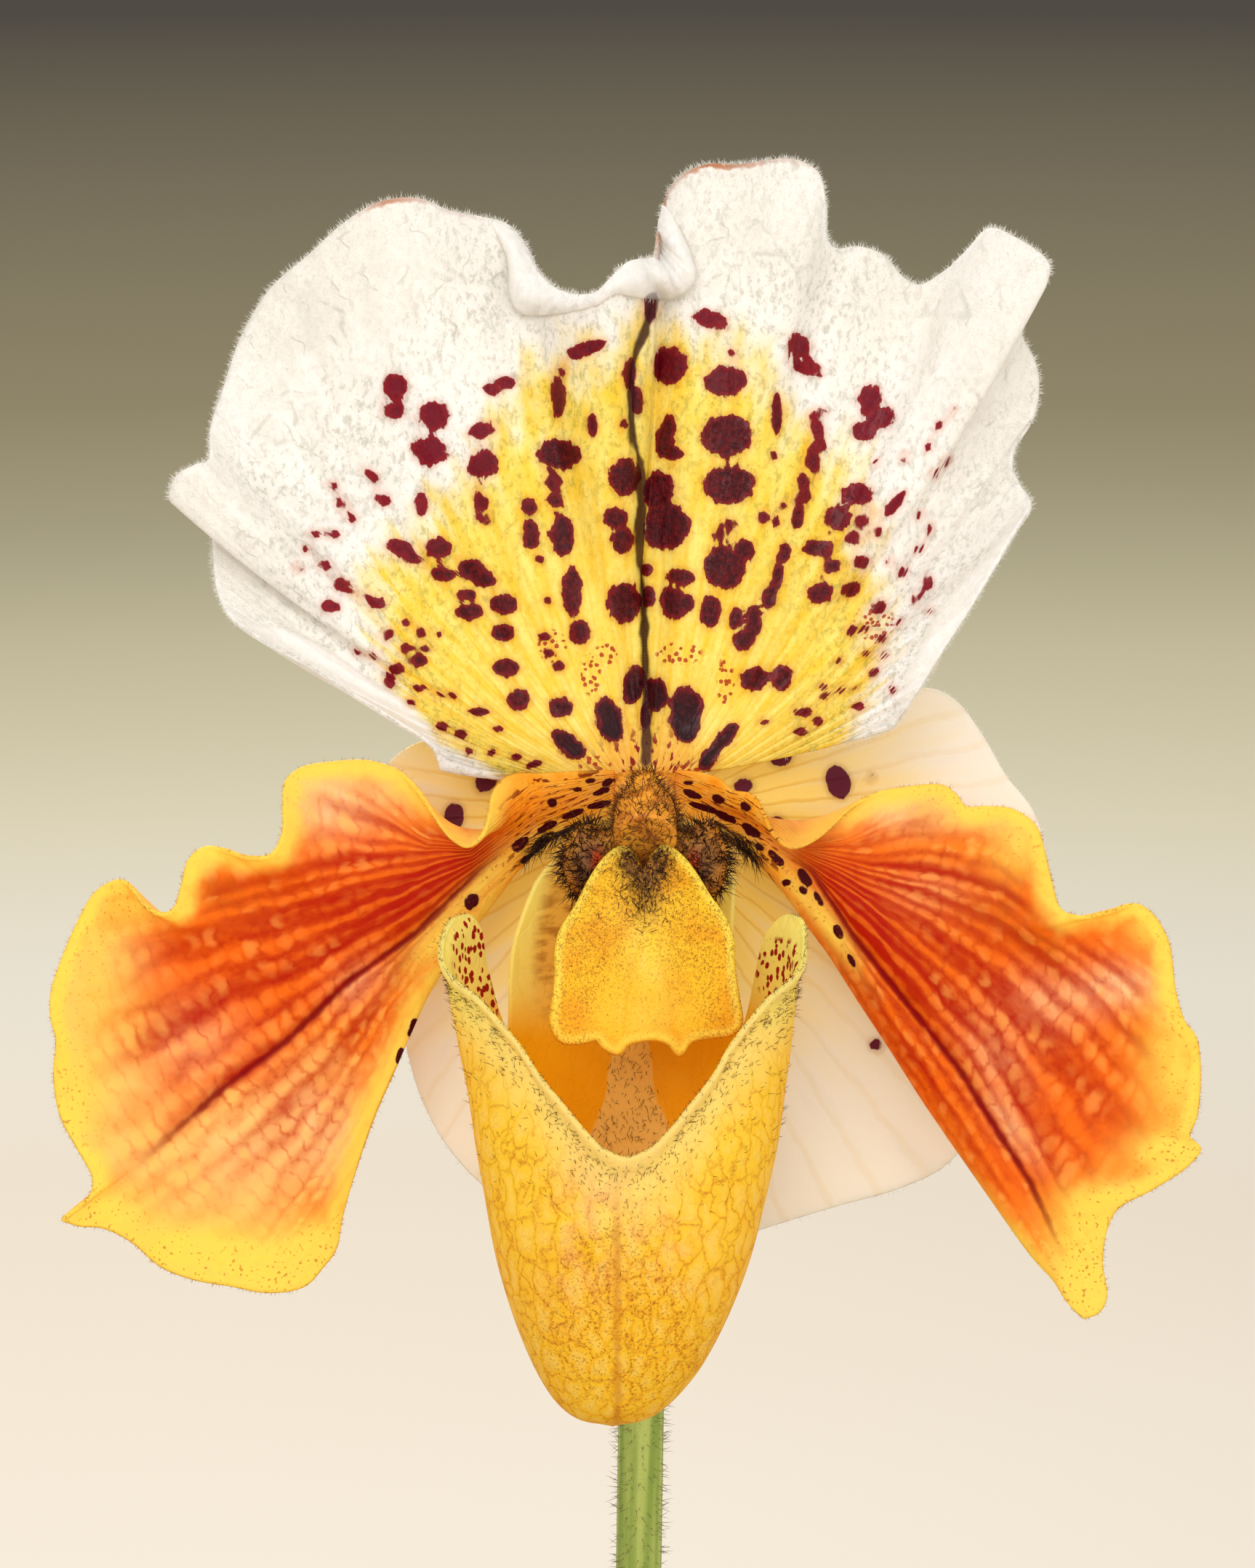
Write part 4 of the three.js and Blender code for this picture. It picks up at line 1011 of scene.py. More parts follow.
DORSAL_SPOTS_LEFT = (
    (-22.8, 39.3, 1.15, 1.2), (-23, 37.1, 1.1, 0.8), (-19.3, 36.6, 1.4, 1.35), (-19.8, 33.4, 1.6, 1.3),
    (-13.4, 39.4, 1.8, 0.6, 20), (-15, 35.3, 1.3, 0.7, 20), (-14.9, 32.1, 1.5, 1.2, 30),
    (-5.3, 42.8, 2, 0.6, 20), (-7.4, 40.8, 0.45, 0.4), (-7.8, 38.3, 0.7, 2), (-4.7, 35.8, 0.5, 1.1),
    (-2.1, 35.9, 0.4, 0.5), (-7.8, 33.1, 2.2, 1.4), (-8.4, 30.6, 0.9, 0.7), (-8.3, 28.9, 0.9, 0.7),
    (-10.7, 28.3, 0.9, 0.75), (-7.6, 25.6, 1.1, 2), (-10.5, 25.7, 0.8, 1.4), (-9.7, 23.5, 0.45, 0.45),
    (-15, 28.7, 0.75, 1), (-14.8, 27.1, 0.7, 0.5), (-20.5, 28.6, 0.6, 1.2), (-24, 28.9, 0.8, 0.6),
    (-28.6, 30.2, 0.5, 0.4), (-25.6, 31.6, 0.4, 0.35), (-24.6, 30.8, 0.35, 0.5), (-27.8, 28.5, 0.5, 0.6),
    (-26.9, 27.2, 0.6, 0.4), (-28.6, 25.7, 0.8, 0.4), (-30.4, 25.7, 0.5, 0.35), (-31.1, 24.3, 0.45, 0.35),
    (-31.9, 22.6, 0.5, 0.35), (-29.4, 22.8, 0.7, 0.45), (-27.9, 21.1, 0.8, 0.6), (-28.8, 19.2, 0.9, 0.6),
    (-27.2, 20.5, 0.4, 0.35), (-26.1, 20.1, 0.4, 0.35), (-24.7, 19.4, 0.9, 0.6), (-22.5, 24.6, 1.3, 0.7),
    (-21.3, 23.6, 1.1, 0.6), (-18.9, 24.5, 1.3, 1), (-18.5, 22.1, 1.1, 0.7), (-16, 22.6, 1.2, 1),
    (-14.7, 21.6, 1.3, 0.7), (-16.3, 20.2, 1, 0.55), (-16, 18.7, 1.4, 0.8), (-12.9, 19.4, 1.3, 1),
    (-6.7, 20.5, 0.9, 2.2), (-9, 19.7, 0.4, 0.4), (-6, 16.8, 0.9, 1.2), (-13, 16.7, 1.05, 0.9),
    (-12.7, 13.5, 1.3, 0.9), (-11.6, 10.6, 1.1, 1), (-7.7, 9.9, 1.2, 1), (-3.3, 8.7, 1.3, 2.1, 15),
    (-7, 6.5, 1.8, 1, -40), (-1.1, 12, 1.1, 1.8, -15), (-2, 19.5, 1.5, 1.9), (-2.2, 25.3, 1, 1.3),
    (-2.8, 27.3, 1.1, 1), (-2, 31, 1.4, 1.7), (-1.5, 40.5, 0.7, 1.5), (-0.8, 38, 0.5, 1.2),
    (-9.2, 16.4, 0.6, 0.45), (-8.8, 14.9, 0.5, 0.45), (-7.9, 13.7, 0.6, 0.5), (-21.9, 17.6, 0.5, 0.45),
    (-20.6, 16.6, 0.5, 0.45), (-19, 16.6, 0.4, 0.35), (-23.6, 16.6, 0.5, 0.5), (-21.8, 15.3, 0.7, 0.4),
    (-20, 15.2, 0.5, 0.35), (-26.4, 14.9, 0.4, 0.4), (-24.8, 14.7, 0.4, 0.4), (-22.7, 13.5, 0.7, 0.5),
    (-20.8, 14.2, 0.9, 0.6), (-23.4, 12.4, 0.5, 0.9), (-20.7, 11.7, 0.6, 0.4), (-18.9, 11.1, 0.5, 0.4),
    (-17.6, 11, 0.4, 0.35), (-21.5, 10.3, 0.5, 0.4), (-15.2, 9.5, 1.1, 0.4), (-18.7, 8, 0.6, 0.5),
    (-16.9, 7.4, 0.6, 0.5), (-13.5, 7.9, 0.5, 0.35), (-14.1, 5.7, 0.4, 0.35), (-16.2, 5.8, 0.35, 0.35),
    (-11.8, 5.3, 0.5, 0.35), (-10.2, 4.6, 0.8, 0.35, 20), )
DORSAL_SPOTS_RIGHT = (
    (0.3, 46.6, 0.6, 1.5), (6, 45.4, 1.7, 0.8, -15), (14.3, 43, 1.2, 1, -40), (15, 41, 1.8, 0.6, -15),
    (20.6, 38.2, 1.2, 1.3), (21.6, 36.4, 1.4, 1), (20.1, 35.2, 1.3, 0.9), (2.3, 41.2, 1.7, 1.8),
    (7.8, 42.4, 0.4, 0.4), (7.4, 39.8, 2, 1.4), (2, 34.8, 0.9, 2, -15), (2.6, 33.2, 1.1, 0.6),
    (7.5, 34.8, 2.4, 2), (7.7, 30.3, 2.5, 1.8), (1.3, 29.8, 1.7, 1.8), (2, 26.5, 2.2, 2.2),
    (12.2, 36.8, 0.5, 1.9), (11.9, 32.9, 0.4, 0.45), (15.8, 36.8, 0.9, 0.5), (15.7, 35.3, 0.7, 0.6),
    (15.7, 33.8, 0.9, 0.6), (15.2, 32.3, 0.9, 0.6), (14.7, 30.8, 0.9, 0.5), (14.4, 29.2, 0.8, 0.7),
    (13.9, 27.2, 0.6, 1), (12.8, 28.6, 0.35, 0.35), (10.9, 27.3, 0.7, 0.6), (12, 27, 0.4, 0.7),
    (7.8, 26.6, 0.8, 0.5), (6.9, 25.6, 0.8, 0.5), (7.3, 22.8, 1.9, 2), (9, 24.3, 1.1, 1),
    (12.7, 24, 0.6, 1), (12.2, 22, 0.6, 1.2), (11.4, 20, 0.8, 1.2), (3.3, 21.8, 1.2, 0.8),
    (2.7, 19.5, 1.2, 1.5), (3.8, 19.4, 0.7, 0.9), (0.3, 22.5, 0.5, 0.6), (0.5, 20, 0.6, 1),
    (6, 18.6, 0.9, 1.6), (8.4, 18, 0.7, 1.1), (10, 17.8, 0.7, 1.5), (9, 16, 0.9, 1),
    (16, 24.4, 1.5, 0.8), (17.2, 22.8, 1.1, 0.6),
    (16, 20.4, 1.4, 0.9), (19.7, 23.3, 0.9, 0.6), (18.9, 20.8, 0.9, 0.8), (19.5, 29.4, 1.5, 1),
    (17.7, 27.2, 1.2, 1.2), (19.2, 25.5, 0.8, 0.7), (20.3, 27.3, 0.9, 0.5), (21.1, 26, 0.7, 0.4),
    (22.9, 28.6, 1.5, 0.5, 50), (21.3, 32.3, 0.35, 0.3), (23.8, 32.8, 0.4, 0.5), (26.4, 31.4, 0.3, 0.4),
    (26, 33.8, 0.3, 0.6, -25), (26.9, 35.6, 0.3, 0.6, -25), (27.6, 32.6, 0.3, 0.5, -25),
    (28.2, 37, 0.3, 0.5, -25), (25.1, 27.6, 0.4, 0.4), (26.1, 26.3, 0.35, 0.6), (25.1, 24.4, 0.6, 0.35),
    (22.4, 23.3, 0.35, 0.35), (23.6, 22.3, 0.6, 0.6), (26, 21.2, 0.5, 0.8), (24.9, 19.7, 0.4, 0.6),
    (26.2, 18.6, 0.3, 0.3), (21.5, 19, 0.8, 0.7), (23.3, 17.6, 0.4, 0.4), (18.9, 16.9, 0.6, 0.6),
    (20.2, 17, 0.5, 0.35), (21.8, 16.1, 0.5, 0.5), (22, 14.6, 0.4, 0.35), (20.3, 14.7, 0.5, 0.35),
    (17.9, 14, 0.4, 0.35), (21, 13, 0.6, 0.5), (16.4, 11.7, 0.4, 0.35), (16.5, 10.8, 0.5, 0.4),
    (18, 11.4, 0.35, 0.3), (19.3, 11.6, 0.35, 0.3), (22.7, 11.5, 0.3, 0.4), (19.5, 10, 0.7, 0.35),
    (14.5, 9.4, 0.9, 0.45), (15.9, 8.6, 0.5, 0.4), (14.2, 7.7, 0.7, 0.35), (10, 12.5, 1.3, 1.2),
    (12.6, 12.6, 1, 1.3), (11, 8.5, 0.5, 0.3), (1.1, 11, 1.2, 1.7), (3.8, 9.2, 1.5, 2.6),
    (7.5, 7.2, 1.6, 0.7, 50), (6, 5.4, 1.6, 0.7, 50), (0, 9, 0.6, 1.2), )
DORSAL_SPECKLES = (
    (-5, 12.8, 0.9, 2), (-3.4, 14.8, 1.1, 1), (-8.5, 15.5, 1.4, 1.6), (3.2, 14.8, 2.2, 1.1),
    (7.4, 12, 0.8, 2.6), (-4.6, 4.6, 1.6, 0.9), (4.4, 4, 1.8, 0.8), (21, 17.5, 2, 2),
)
DORSAL_VEILS = (
    (-31, 44, 9, 12, 0.7), (-33, 24, 6, 8, 0.85), (-15, 47, 9, 6, 0.55), (31, 34, 5, 9, 0.8),
    (27, 22, 4, 6, 0.5), (9, 51, 8, 5, 0.4), (22, 44, 6, 5, 0.3), (-26, 33, 6, 5, 0.4),
)
DORSAL_NIBBLES = ((5, 60, 7, 1.6, 1.0), (1.5, 55, 1.5, 4, 1.0), (-24, 56.5, 4, 1.2, 0.8),
                  (-16, 56, 2, 1, 0.6))


# The rim that is turned down in front, at the top left and over the midrib: its fold and its free edge
DORSAL_CURL = (
    ((-14, 54.4), (-13.8, 54)), ((-12, 53.4), (-12.5, 51)), ((-10.7, 51.4), (-12.3, 48)),
    ((-9.7, 49.6), (-11.5, 46.2)), ((-8, 48.1), (-9.5, 45.9)), ((-6.2, 47.6), (-6.7, 46.3)),
    ((-4.4, 47.9), (-4.4, 46.9)), ((-3, 49.3), (-2.7, 47.9)), ((-1.4, 50.7), (-0.2, 47.5)),
    ((0.8, 51.1), (2.6, 47.5)), ((1.4, 52.4), (4.4, 49)), ((1.3, 54), (4.1, 51.4)),
    ((1.7, 55.8), (2.2, 55.4)), )


@dataclass(frozen=True)
class DorsalFinish(Finish):
    """White tissue with a yellow heart, fine veins and maroon blotches.

    Attributes:
        white: The outer tissue.
        veil: The thinner, greyer tissue of the margins, also laid over the top of the sepal as painted shade.
        gold: The heart.
        lemon: Paler patches of the heart.
        stipple: The grey-green dots where the heart ends.
        maroon: The blotches.
        crimson: Blotches far from the base.
        ink: Blotches near the base.
    """

    white: Colour = srgb(250, 246, 239)
    veil: Colour = srgb(226, 220, 208)
    gold: Colour = srgb(250, 214, 62)
    lemon: Colour = srgb(253, 236, 130)
    stipple: Colour = srgb(176, 172, 66)
    maroon: Colour = srgb(70, 6, 14)
    crimson: Colour = srgb(120, 8, 34)
    ink: Colour = srgb(44, 6, 14)

    def paint(self, s: Shading) -> Coat:
        """Lays the white ground, the heart, the veins and then the blotches."""
        place = s.place()
        across, reach, heart, rim = s.mark("vein_u"), s.mark("vein_v"), s.mark("heart"), s.mark("rim")
        net = s.effect(Effect.VEINS, Across=s.times(across, 2.4), Along=reach, Bead=2.1, Waver=0.5, Width=0.2)
        grain = s.effect(Effect.SKIN, Place=place, Size=4.0)
        streak = s.noise(s.vector(s.times(across, 3.4), s.times(reach, 0.2)), 1.0, 3.0)
        fine = s.noise(place, 2.6, 3.0, 0.7)

        # Painted shade: the top of the sepal is greyed towards the veil colour, to hold down the key lamp's light
        # there.
        crown = s.ease(reach, 42, 54, 0.0, 0.25)
        veil = s.plus(crown, s.times(s.mark("veil"), s.ease(s.plus(streak, s.times(fine, 0.6)), 0.5, 1.05)))
        ground = s.mix(s.times(veil, 0.7), self.white, self.veil)
        mesh = s.vector(s.plus(s.times(across, 1.9), s.swing(place, 0.35, 1.3, 3.0)), s.times(reach, 0.14))
        edge = s.cells(mesh, 1.0, "DISTANCE_TO_EDGE", 0.95).outputs["Distance"]
        threads = s.times(s.ease(edge, 0.04, 0.0), s.ease(s.noise(place, 0.45, 3.0), 0.46, 0.6),
                          s.ease(veil, 0.0, 0.5))
        ground = s.mix(s.times(threads, 0.4), ground, srgb(186, 182, 166))
        sand = s.times(s.ease(s.noise(place, 6.0, 1.0), 0.46, 0.34), s.ease(rim, 8, 1, 0.08, 0.3))
        ground = s.mix(sand, ground, srgb(206, 200, 184))

        edges = s.plus(s.times(s.math("SUBTRACT", streak, 0.5), 0.3), s.swing(place, 0.16, 0.25))
        within = s.ease(s.plus(heart, edges), 1.05, 0.84)
        patch = s.ease(s.plus(streak, s.times(grain.outputs["Tone"], 0.5)), 0.5, 1.0)
        yellow = s.mix(patch, self.gold, self.lemon)
        yellow = s.mix(s.times(net.outputs["Line"], s.ease(reach, 34, 20, 0.1, 0.4)), yellow,
                       srgb(246, 200, 30))
        colour = s.mix(within, ground, yellow)
        smudge = s.ease(s.noise(s.stretched(place, (1.7, 1.7, 1.1)), 1.0, 5.0, 0.75), 0.49, 0.66)
        zone = s.times(s.ease(heart, 0.42, 0.8), s.ease(s.plus(heart, s.swing(place, 0.1, 1.2)), 1.6, 1.1))
        frost = s.times(smudge, zone, s.ease(s.mark("band"), 0.6, 0.2))
        colour = s.mix(s.times(frost, 0.6), colour, s.mix(within, srgb(186, 182, 164), self.stipple))
        base = s.ease(s.plus(reach, s.swing(place, 0.6, 6.0)), 8.5, 2)
        colour = s.mix(s.times(base, 0.6), colour, srgb(242, 166, 44))
        dashes = s.ease(s.noise(s.vector(s.times(across, 2.6), s.times(reach, 0.8)), 1.0, 2.0), 0.54, 0.62)
        colour = s.mix(s.times(s.ease(reach, 6.5, 3.5), dashes), colour, srgb(150, 24, 16))
        colour = s.mix(s.mark("band"), colour, self.white)

        speckle = s.cells(place, 1.7, "F1", 1.0).outputs["Distance"]
        flecks = s.times(s.ease(s.plus(speckle, s.swing(place, 3.0, 0.4)), 0.42, 0.32),
                         s.ease(s.mark("speckle"), 0.3, 0.5))
        colour = s.mix(s.times(flecks, 0.9), colour, srgb(176, 38, 18))

        tone = s.plus(s.times(fine, 0.7), s.times(grain.outputs["Tone"], 0.5))
        nibble = s.ease(s.mark("spot_size"), 0.3, 1.6, 0.12, 0.5)
        blotch = s.effect(Effect.BLOTCH, Distance=s.mark("spots"), Place=place, Nibble=nibble)
        spot = s.mix(s.ease(heart, 0.75, 1.05), self.maroon, self.crimson)
        spot = s.mix(s.times(s.ease(tone, 0.5, 0.8), 0.6), spot, srgb(146, 22, 28))
        spot = s.mix(s.times(s.ease(tone, 0.5, 0.3), blotch.outputs["Core"], 0.7), spot, self.ink)
        spot = s.mix(s.ease(s.plus(reach, s.times(tone, 5)), 17, 7), spot, self.ink)
        spot = s.mix(s.times(s.ease(blotch.outputs["Core"], 0.6, 0.0), 0.5), spot, srgb(156, 24, 30))
        colour = s.mix(s.times(blotch.outputs["Halo"], 0.3), colour, srgb(226, 130, 80), "MULTIPLY")
        colour = s.mix(blotch.outputs["Mask"], colour, spot)

        crease = s.plus(s.mark("crease"), s.swing(place, 0.35, 1.1))
        fold = s.times(s.ease(crease, 0.6, 0.3), s.ease(reach, 47, 43))
        colour = s.mix(s.times(fold, 0.92), colour, srgb(70, 8, 14))
        brown = s.times(s.mark("nibble"), s.ease(s.plus(rim, s.swing(place, 1.2, 1.2, 3.0)), 0.4, 0.05))
        colour = s.mix(brown, colour, srgb(186, 104, 30))

        rough = s.ease(blotch.outputs["Mask"], 0.0, 1.0, 0.5, 0.28)
        ridges = s.plus(s.times(grain.outputs["Height"], 0.5), s.times(net.outputs["Line"], 0.4),
                        s.times(threads, -0.6), s.times(streak, 0.9), s.times(blotch.outputs["Mask"], 0.8),
                        s.times(smudge, -0.4))
        return Coat(colour, ridges, rough)


@dataclass
class Tepal:
    """A sheet that hangs between two edges and a midrib, all starting at its base.

    The veins leave the midrib up to the share "fan" of its length and sweep forward to the edge. The ruffle of
    the edge dies out towards the midrib.

    Attributes:
        left: Edge on the left half.
        right: Edge on the right half.
        midrib: Midrib from base to tip.
        fan: Share of the midrib that veins leave.
        calm: How far along the edge its ruffle is evened out for the inner part.
        pace: How early the rows reach the tip on either edge.
        thickness: Thickness in millimetres.
        rows: Rows of faces from base to tip.
        half: Faces from the midrib to an edge.
    """

    left: Points
    right: Points
    midrib: Points
    fan: float
    calm: float
    pace: tuple[float, float] = (1.0, 1.0)
    thickness: float = 0.45
    rows: int = 240
    half: int = 70

    RUFFLE_POWER = 3
    CALM_SAMPLES = 4
    END_ZONE = 0.2

    def calmed(self, curve: Rail, share: Array) -> Array:
        """Gives the edge with its ruffle evened out."""
        reach = self.calm * np.minimum(1, np.minimum(share, 1 - share) / self.END_ZONE)
        steps = np.arange(-self.CALM_SAMPLES, self.CALM_SAMPLES + 1)
        return sum(curve.at(share + reach * k / self.CALM_SAMPLES) for k in steps) / len(steps)

    def relief(self, points: Array) -> Array:
        """Gives how far each point is moved towards the viewer. A plain tepal has no relief."""
        return np.zeros(points.shape[:-1])

    def surface(self) -> Sheet:
        """Makes the middle surface, with marks "share", "across" and those of every tepal."""
        left, right, midrib = (Rail(PLACE.placed(edge)) for edge in (self.left, self.right, self.midrib))
        quick = 1
        rows, half = self.rows // quick, self.half // quick
        share = np.linspace(0, 1, rows + 1)
        step = np.arange(-half, half + 1) / half
        across = 0.55 * step + 0.225 * np.sign(step) * (1 - np.cos(np.pi * np.abs(step)))
        ta, tb = share ** self.pace[0], share ** self.pace[1]
        a, b, root = self.calmed(left, ta), self.calmed(right, tb), midrib.at(self.fan * share)
        u = across[None, :, None]
        grid = root[:, None] + (b - a)[:, None] * u / 2 + ((a + b) / 2 - root)[:, None] * u * u
        ruffle = np.where(u < 0, (left.at(ta) - a)[:, None], (right.at(tb) - b)[:, None])
        grid = grid + ruffle * np.abs(u) ** self.RUFFLE_POWER
        grid[..., 2] += self.relief(grid)
        width = 2 * half + 1
        quads = grid_quads(rows, 2 * half, lambda i, j: i * width + np.where((i == rows) & (j < half),
                                                                             2 * half - j, j))
        marks = {"share": np.repeat(share, width), "across": np.tile(across, rows + 1)}
        sheet = Sheet(grid.reshape(-1, 3), quads, marks).compacted().facing(np.array([0, 0, 1.0]))
        margin = sheet.points[(np.abs(sheet.marks["across"]) > 0.999) & (sheet.marks["share"] > 0.02)]
        sheet.marks["rim"] = distance_to(sheet.points, margin)
        return sheet


@dataclass
class DorsalSepal(Tepal):
    """The upright white sepal, creased down its middle.

    Attributes:
        crease_depth: Depth of the wide valley.
        crease_width: Width of the wide valley.
        fold_depth: Depth of the narrow fold in it.
        fold_width: Width of the narrow fold.
        vein_spacing: How close the veins stand.
    """

    left: Points = DORSAL_LEFT_EDGE
    right: Points = DORSAL_RIGHT_EDGE
    midrib: Points = DORSAL_MIDRIB
    fan: float = 0.42
    calm: float = 0.1
    rows: int = 286
    half: int = 68
    crease_depth: float = 1.8
    crease_width: float = 2.4
    fold_depth: float = 0.9
    fold_width: float = 0.5
    vein_spacing: float = 1.6

    def relief(self, points: Array) -> Array:
        """Sinks the valley and the fold, and raises the pleats along the veins."""
        seen = PLACE.as_seen(points).reshape(-1, 2)
        x, y = points[..., 0], points[..., 1]
        fade = smooth(4, 12, y)
        valley = -self.crease_depth * np.exp(-((x / self.crease_width) ** 2)) * fade
        gap = distance_to(seen, Rail(np.asarray(DORSAL_CREASE)).at(np.linspace(0, 1, 200))).reshape(x.shape)
        fold = -self.fold_depth * np.exp(-((gap / self.fold_width) ** 2)) * fade * smooth(50, 44, y)
        lines, reach = self.veins(seen)
        pleat = 0.2 * np.cos(2 * np.pi * lines * 1.2) * smooth(4, 14, reach) * smooth(46, 30, reach)
        return valley + fold + (pleat + 0.45 * self.band(seen)).reshape(x.shape)

    def band(self, seen: Array) -> Array:
        """Gives 1 on the turned margins low on either side, and 0 elsewhere."""
        x, y = seen.T
        left = smooth(0.25, -0.25, side_distance(seen, DORSAL_BAND_LEFT))
        left = left * smooth(-17, -20, x) * smooth(22, 18, y)
        right = smooth(-0.25, 0.25, side_distance(seen, DORSAL_BAND_RIGHT))
        right = right * smooth(22, 25, x) * smooth(31, 26, y)
        return np.maximum(left, right)

    def veins(self, seen: Array) -> tuple[Array, Array]:
        """Gives the number of the vein at each point, and its distance from the base."""
        reach = np.hypot(seen[:, 0], seen[:, 1] - 3)
        rise = np.maximum(seen[:, 1] - 3, 0) + 1
        return seen[:, 0] / rise ** 0.65 * self.vein_spacing, reach

    def read(self, sheet: Sheet) -> None:
        """Gives a sheet the marks that the finish reads."""
        seen = PLACE.as_seen(sheet.points)
        lines, reach = self.veins(seen)
        angle = np.degrees(np.arctan2(seen[:, 0], seen[:, 1] - 3))
        gaps, sizes = blob_distance(seen, DORSAL_SPOTS_LEFT + DORSAL_SPOTS_RIGHT)
        sheet.marks.update(
            vein_u=lines,
            vein_v=reach,
            heart=reach / along(DORSAL_HEART, angle),
            spots=gaps,
            spot_size=sizes,
            band=self.band(seen),
            speckle=wash(seen, [(*row, 1.0) for row in DORSAL_SPECKLES]),
            veil=wash(seen, DORSAL_VEILS),
            nibble=wash(seen, DORSAL_NIBBLES),
            crease=distance_to(seen, Rail(np.asarray(DORSAL_CREASE)).at(np.linspace(0, 1, 200))),
        )

    def turned_rim(self, blade: Sheet) -> Sheet:
        """Makes the rim that is turned down in front.

        Args:
            blade: The sepal, whose depths it starts from.

        Returns:
            A strip that bulges towards the viewer, with its own marks.
        """
        share = np.linspace(0, 1, 100)
        lines = [Rail(np.asarray(line, dtype=float)).at(share) for line in zip(*DORSAL_CURL)]
        seen = PLACE.as_seen(blade.points)
        fold, free = (blade.points[[np.argmin(((seen - spot) ** 2).sum(axis=1)) for spot in line],
                                   2] for line in lines)
        step = np.linspace(0, 1, 13)[None, :]
        flat = lines[0][:, None] + (lines[1] - lines[0])[:, None] * step[..., None]
        width = np.linalg.norm(lines[1] - lines[0], axis=1)[:, None]
        depth = fold[:, None] * (1 - step) + (free[:, None] + 0.3 * width) * step
        depth = depth + 0.35 * width * np.sin(np.pi * step)
        points = PLACE.placed(np.dstack([flat, depth])).reshape(-1, 3)
        strip = Sheet(points, grid_quads(99, 12, lambda i, j: i * 13 + j)).facing(np.array([0, 0, 1.0]))
        self.read(strip)
        strip.marks.update(rim=np.full(len(points), 3.0), band=np.ones(len(points)),
                           spots=np.full(len(points), 9.0))
        return strip

    def build(self) -> None:
        """Builds the sepal and the fringe along its margin."""
        sheet = self.surface()
        self.read(sheet)
        rim = self.turned_rim(sheet)
        finish = DorsalFinish("white and gold sepal", glow=0.35, bump=0.6)
        body = sheet.thickened(self.thickness).joined(rim.thickened(self.thickness * 0.8))
        add_piece("dorsal_blade", in_bloom(body), finish, ["dorsal_sepal"])
        hairs = Bristle(0.55, 0.024, bend=0.35, spread=0.3, seed=12)
        fringe = hairs.grow(*sheet.scatter_border(5000, lambda middle: smooth(5, 8, middle[:, 1]), seed=11))
        fringe = fringe.joined(hairs.grow(*rim.scatter_border(420, lambda middle: np.ones(len(middle)),
                                                              seed=13)))
        add_piece("dorsal_fringe", in_bloom(fringe), PALE_HAIR)


# Hairs

@dataclass(frozen=True)
class HairFinish(Finish):
    """Hairs that change colour from foot to tip.

    Attributes:
        foot: Colour at the foot.
        point: Colour at the tip.
    """

    foot: Colour = srgb(250, 246, 236)
    point: Colour = srgb(250, 246, 236)

    def paint(self, s: Shading) -> Coat:
        """Runs from one colour to the other, a little unevenly."""
        tone = s.noise(s.place(), 0.8, 2.0)
        colour = s.mix(s.mark("tip"), self.foot, self.point)
        colour = s.mix(s.ease(tone, 0.35, 0.75, 0.0, 0.35), colour, self.point)
        return Coat(colour, tone)


PALE_HAIR = HairFinish("pale hairs", glow=0.4, foot=srgb(248, 242, 226), point=srgb(252, 250, 244))
BLACK_HAIR = HairFinish("black hairs", roughness=0.35, foot=srgb(70, 30, 14), point=srgb(22, 12, 10))
BROWN_HAIR = HairFinish("brown hairs", foot=srgb(120, 72, 20), point=srgb(60, 34, 12))
GOLD_HAIR = HairFinish("golden hairs", glow=0.3, foot=srgb(236, 176, 60), point=srgb(190, 120, 40))


# The petals

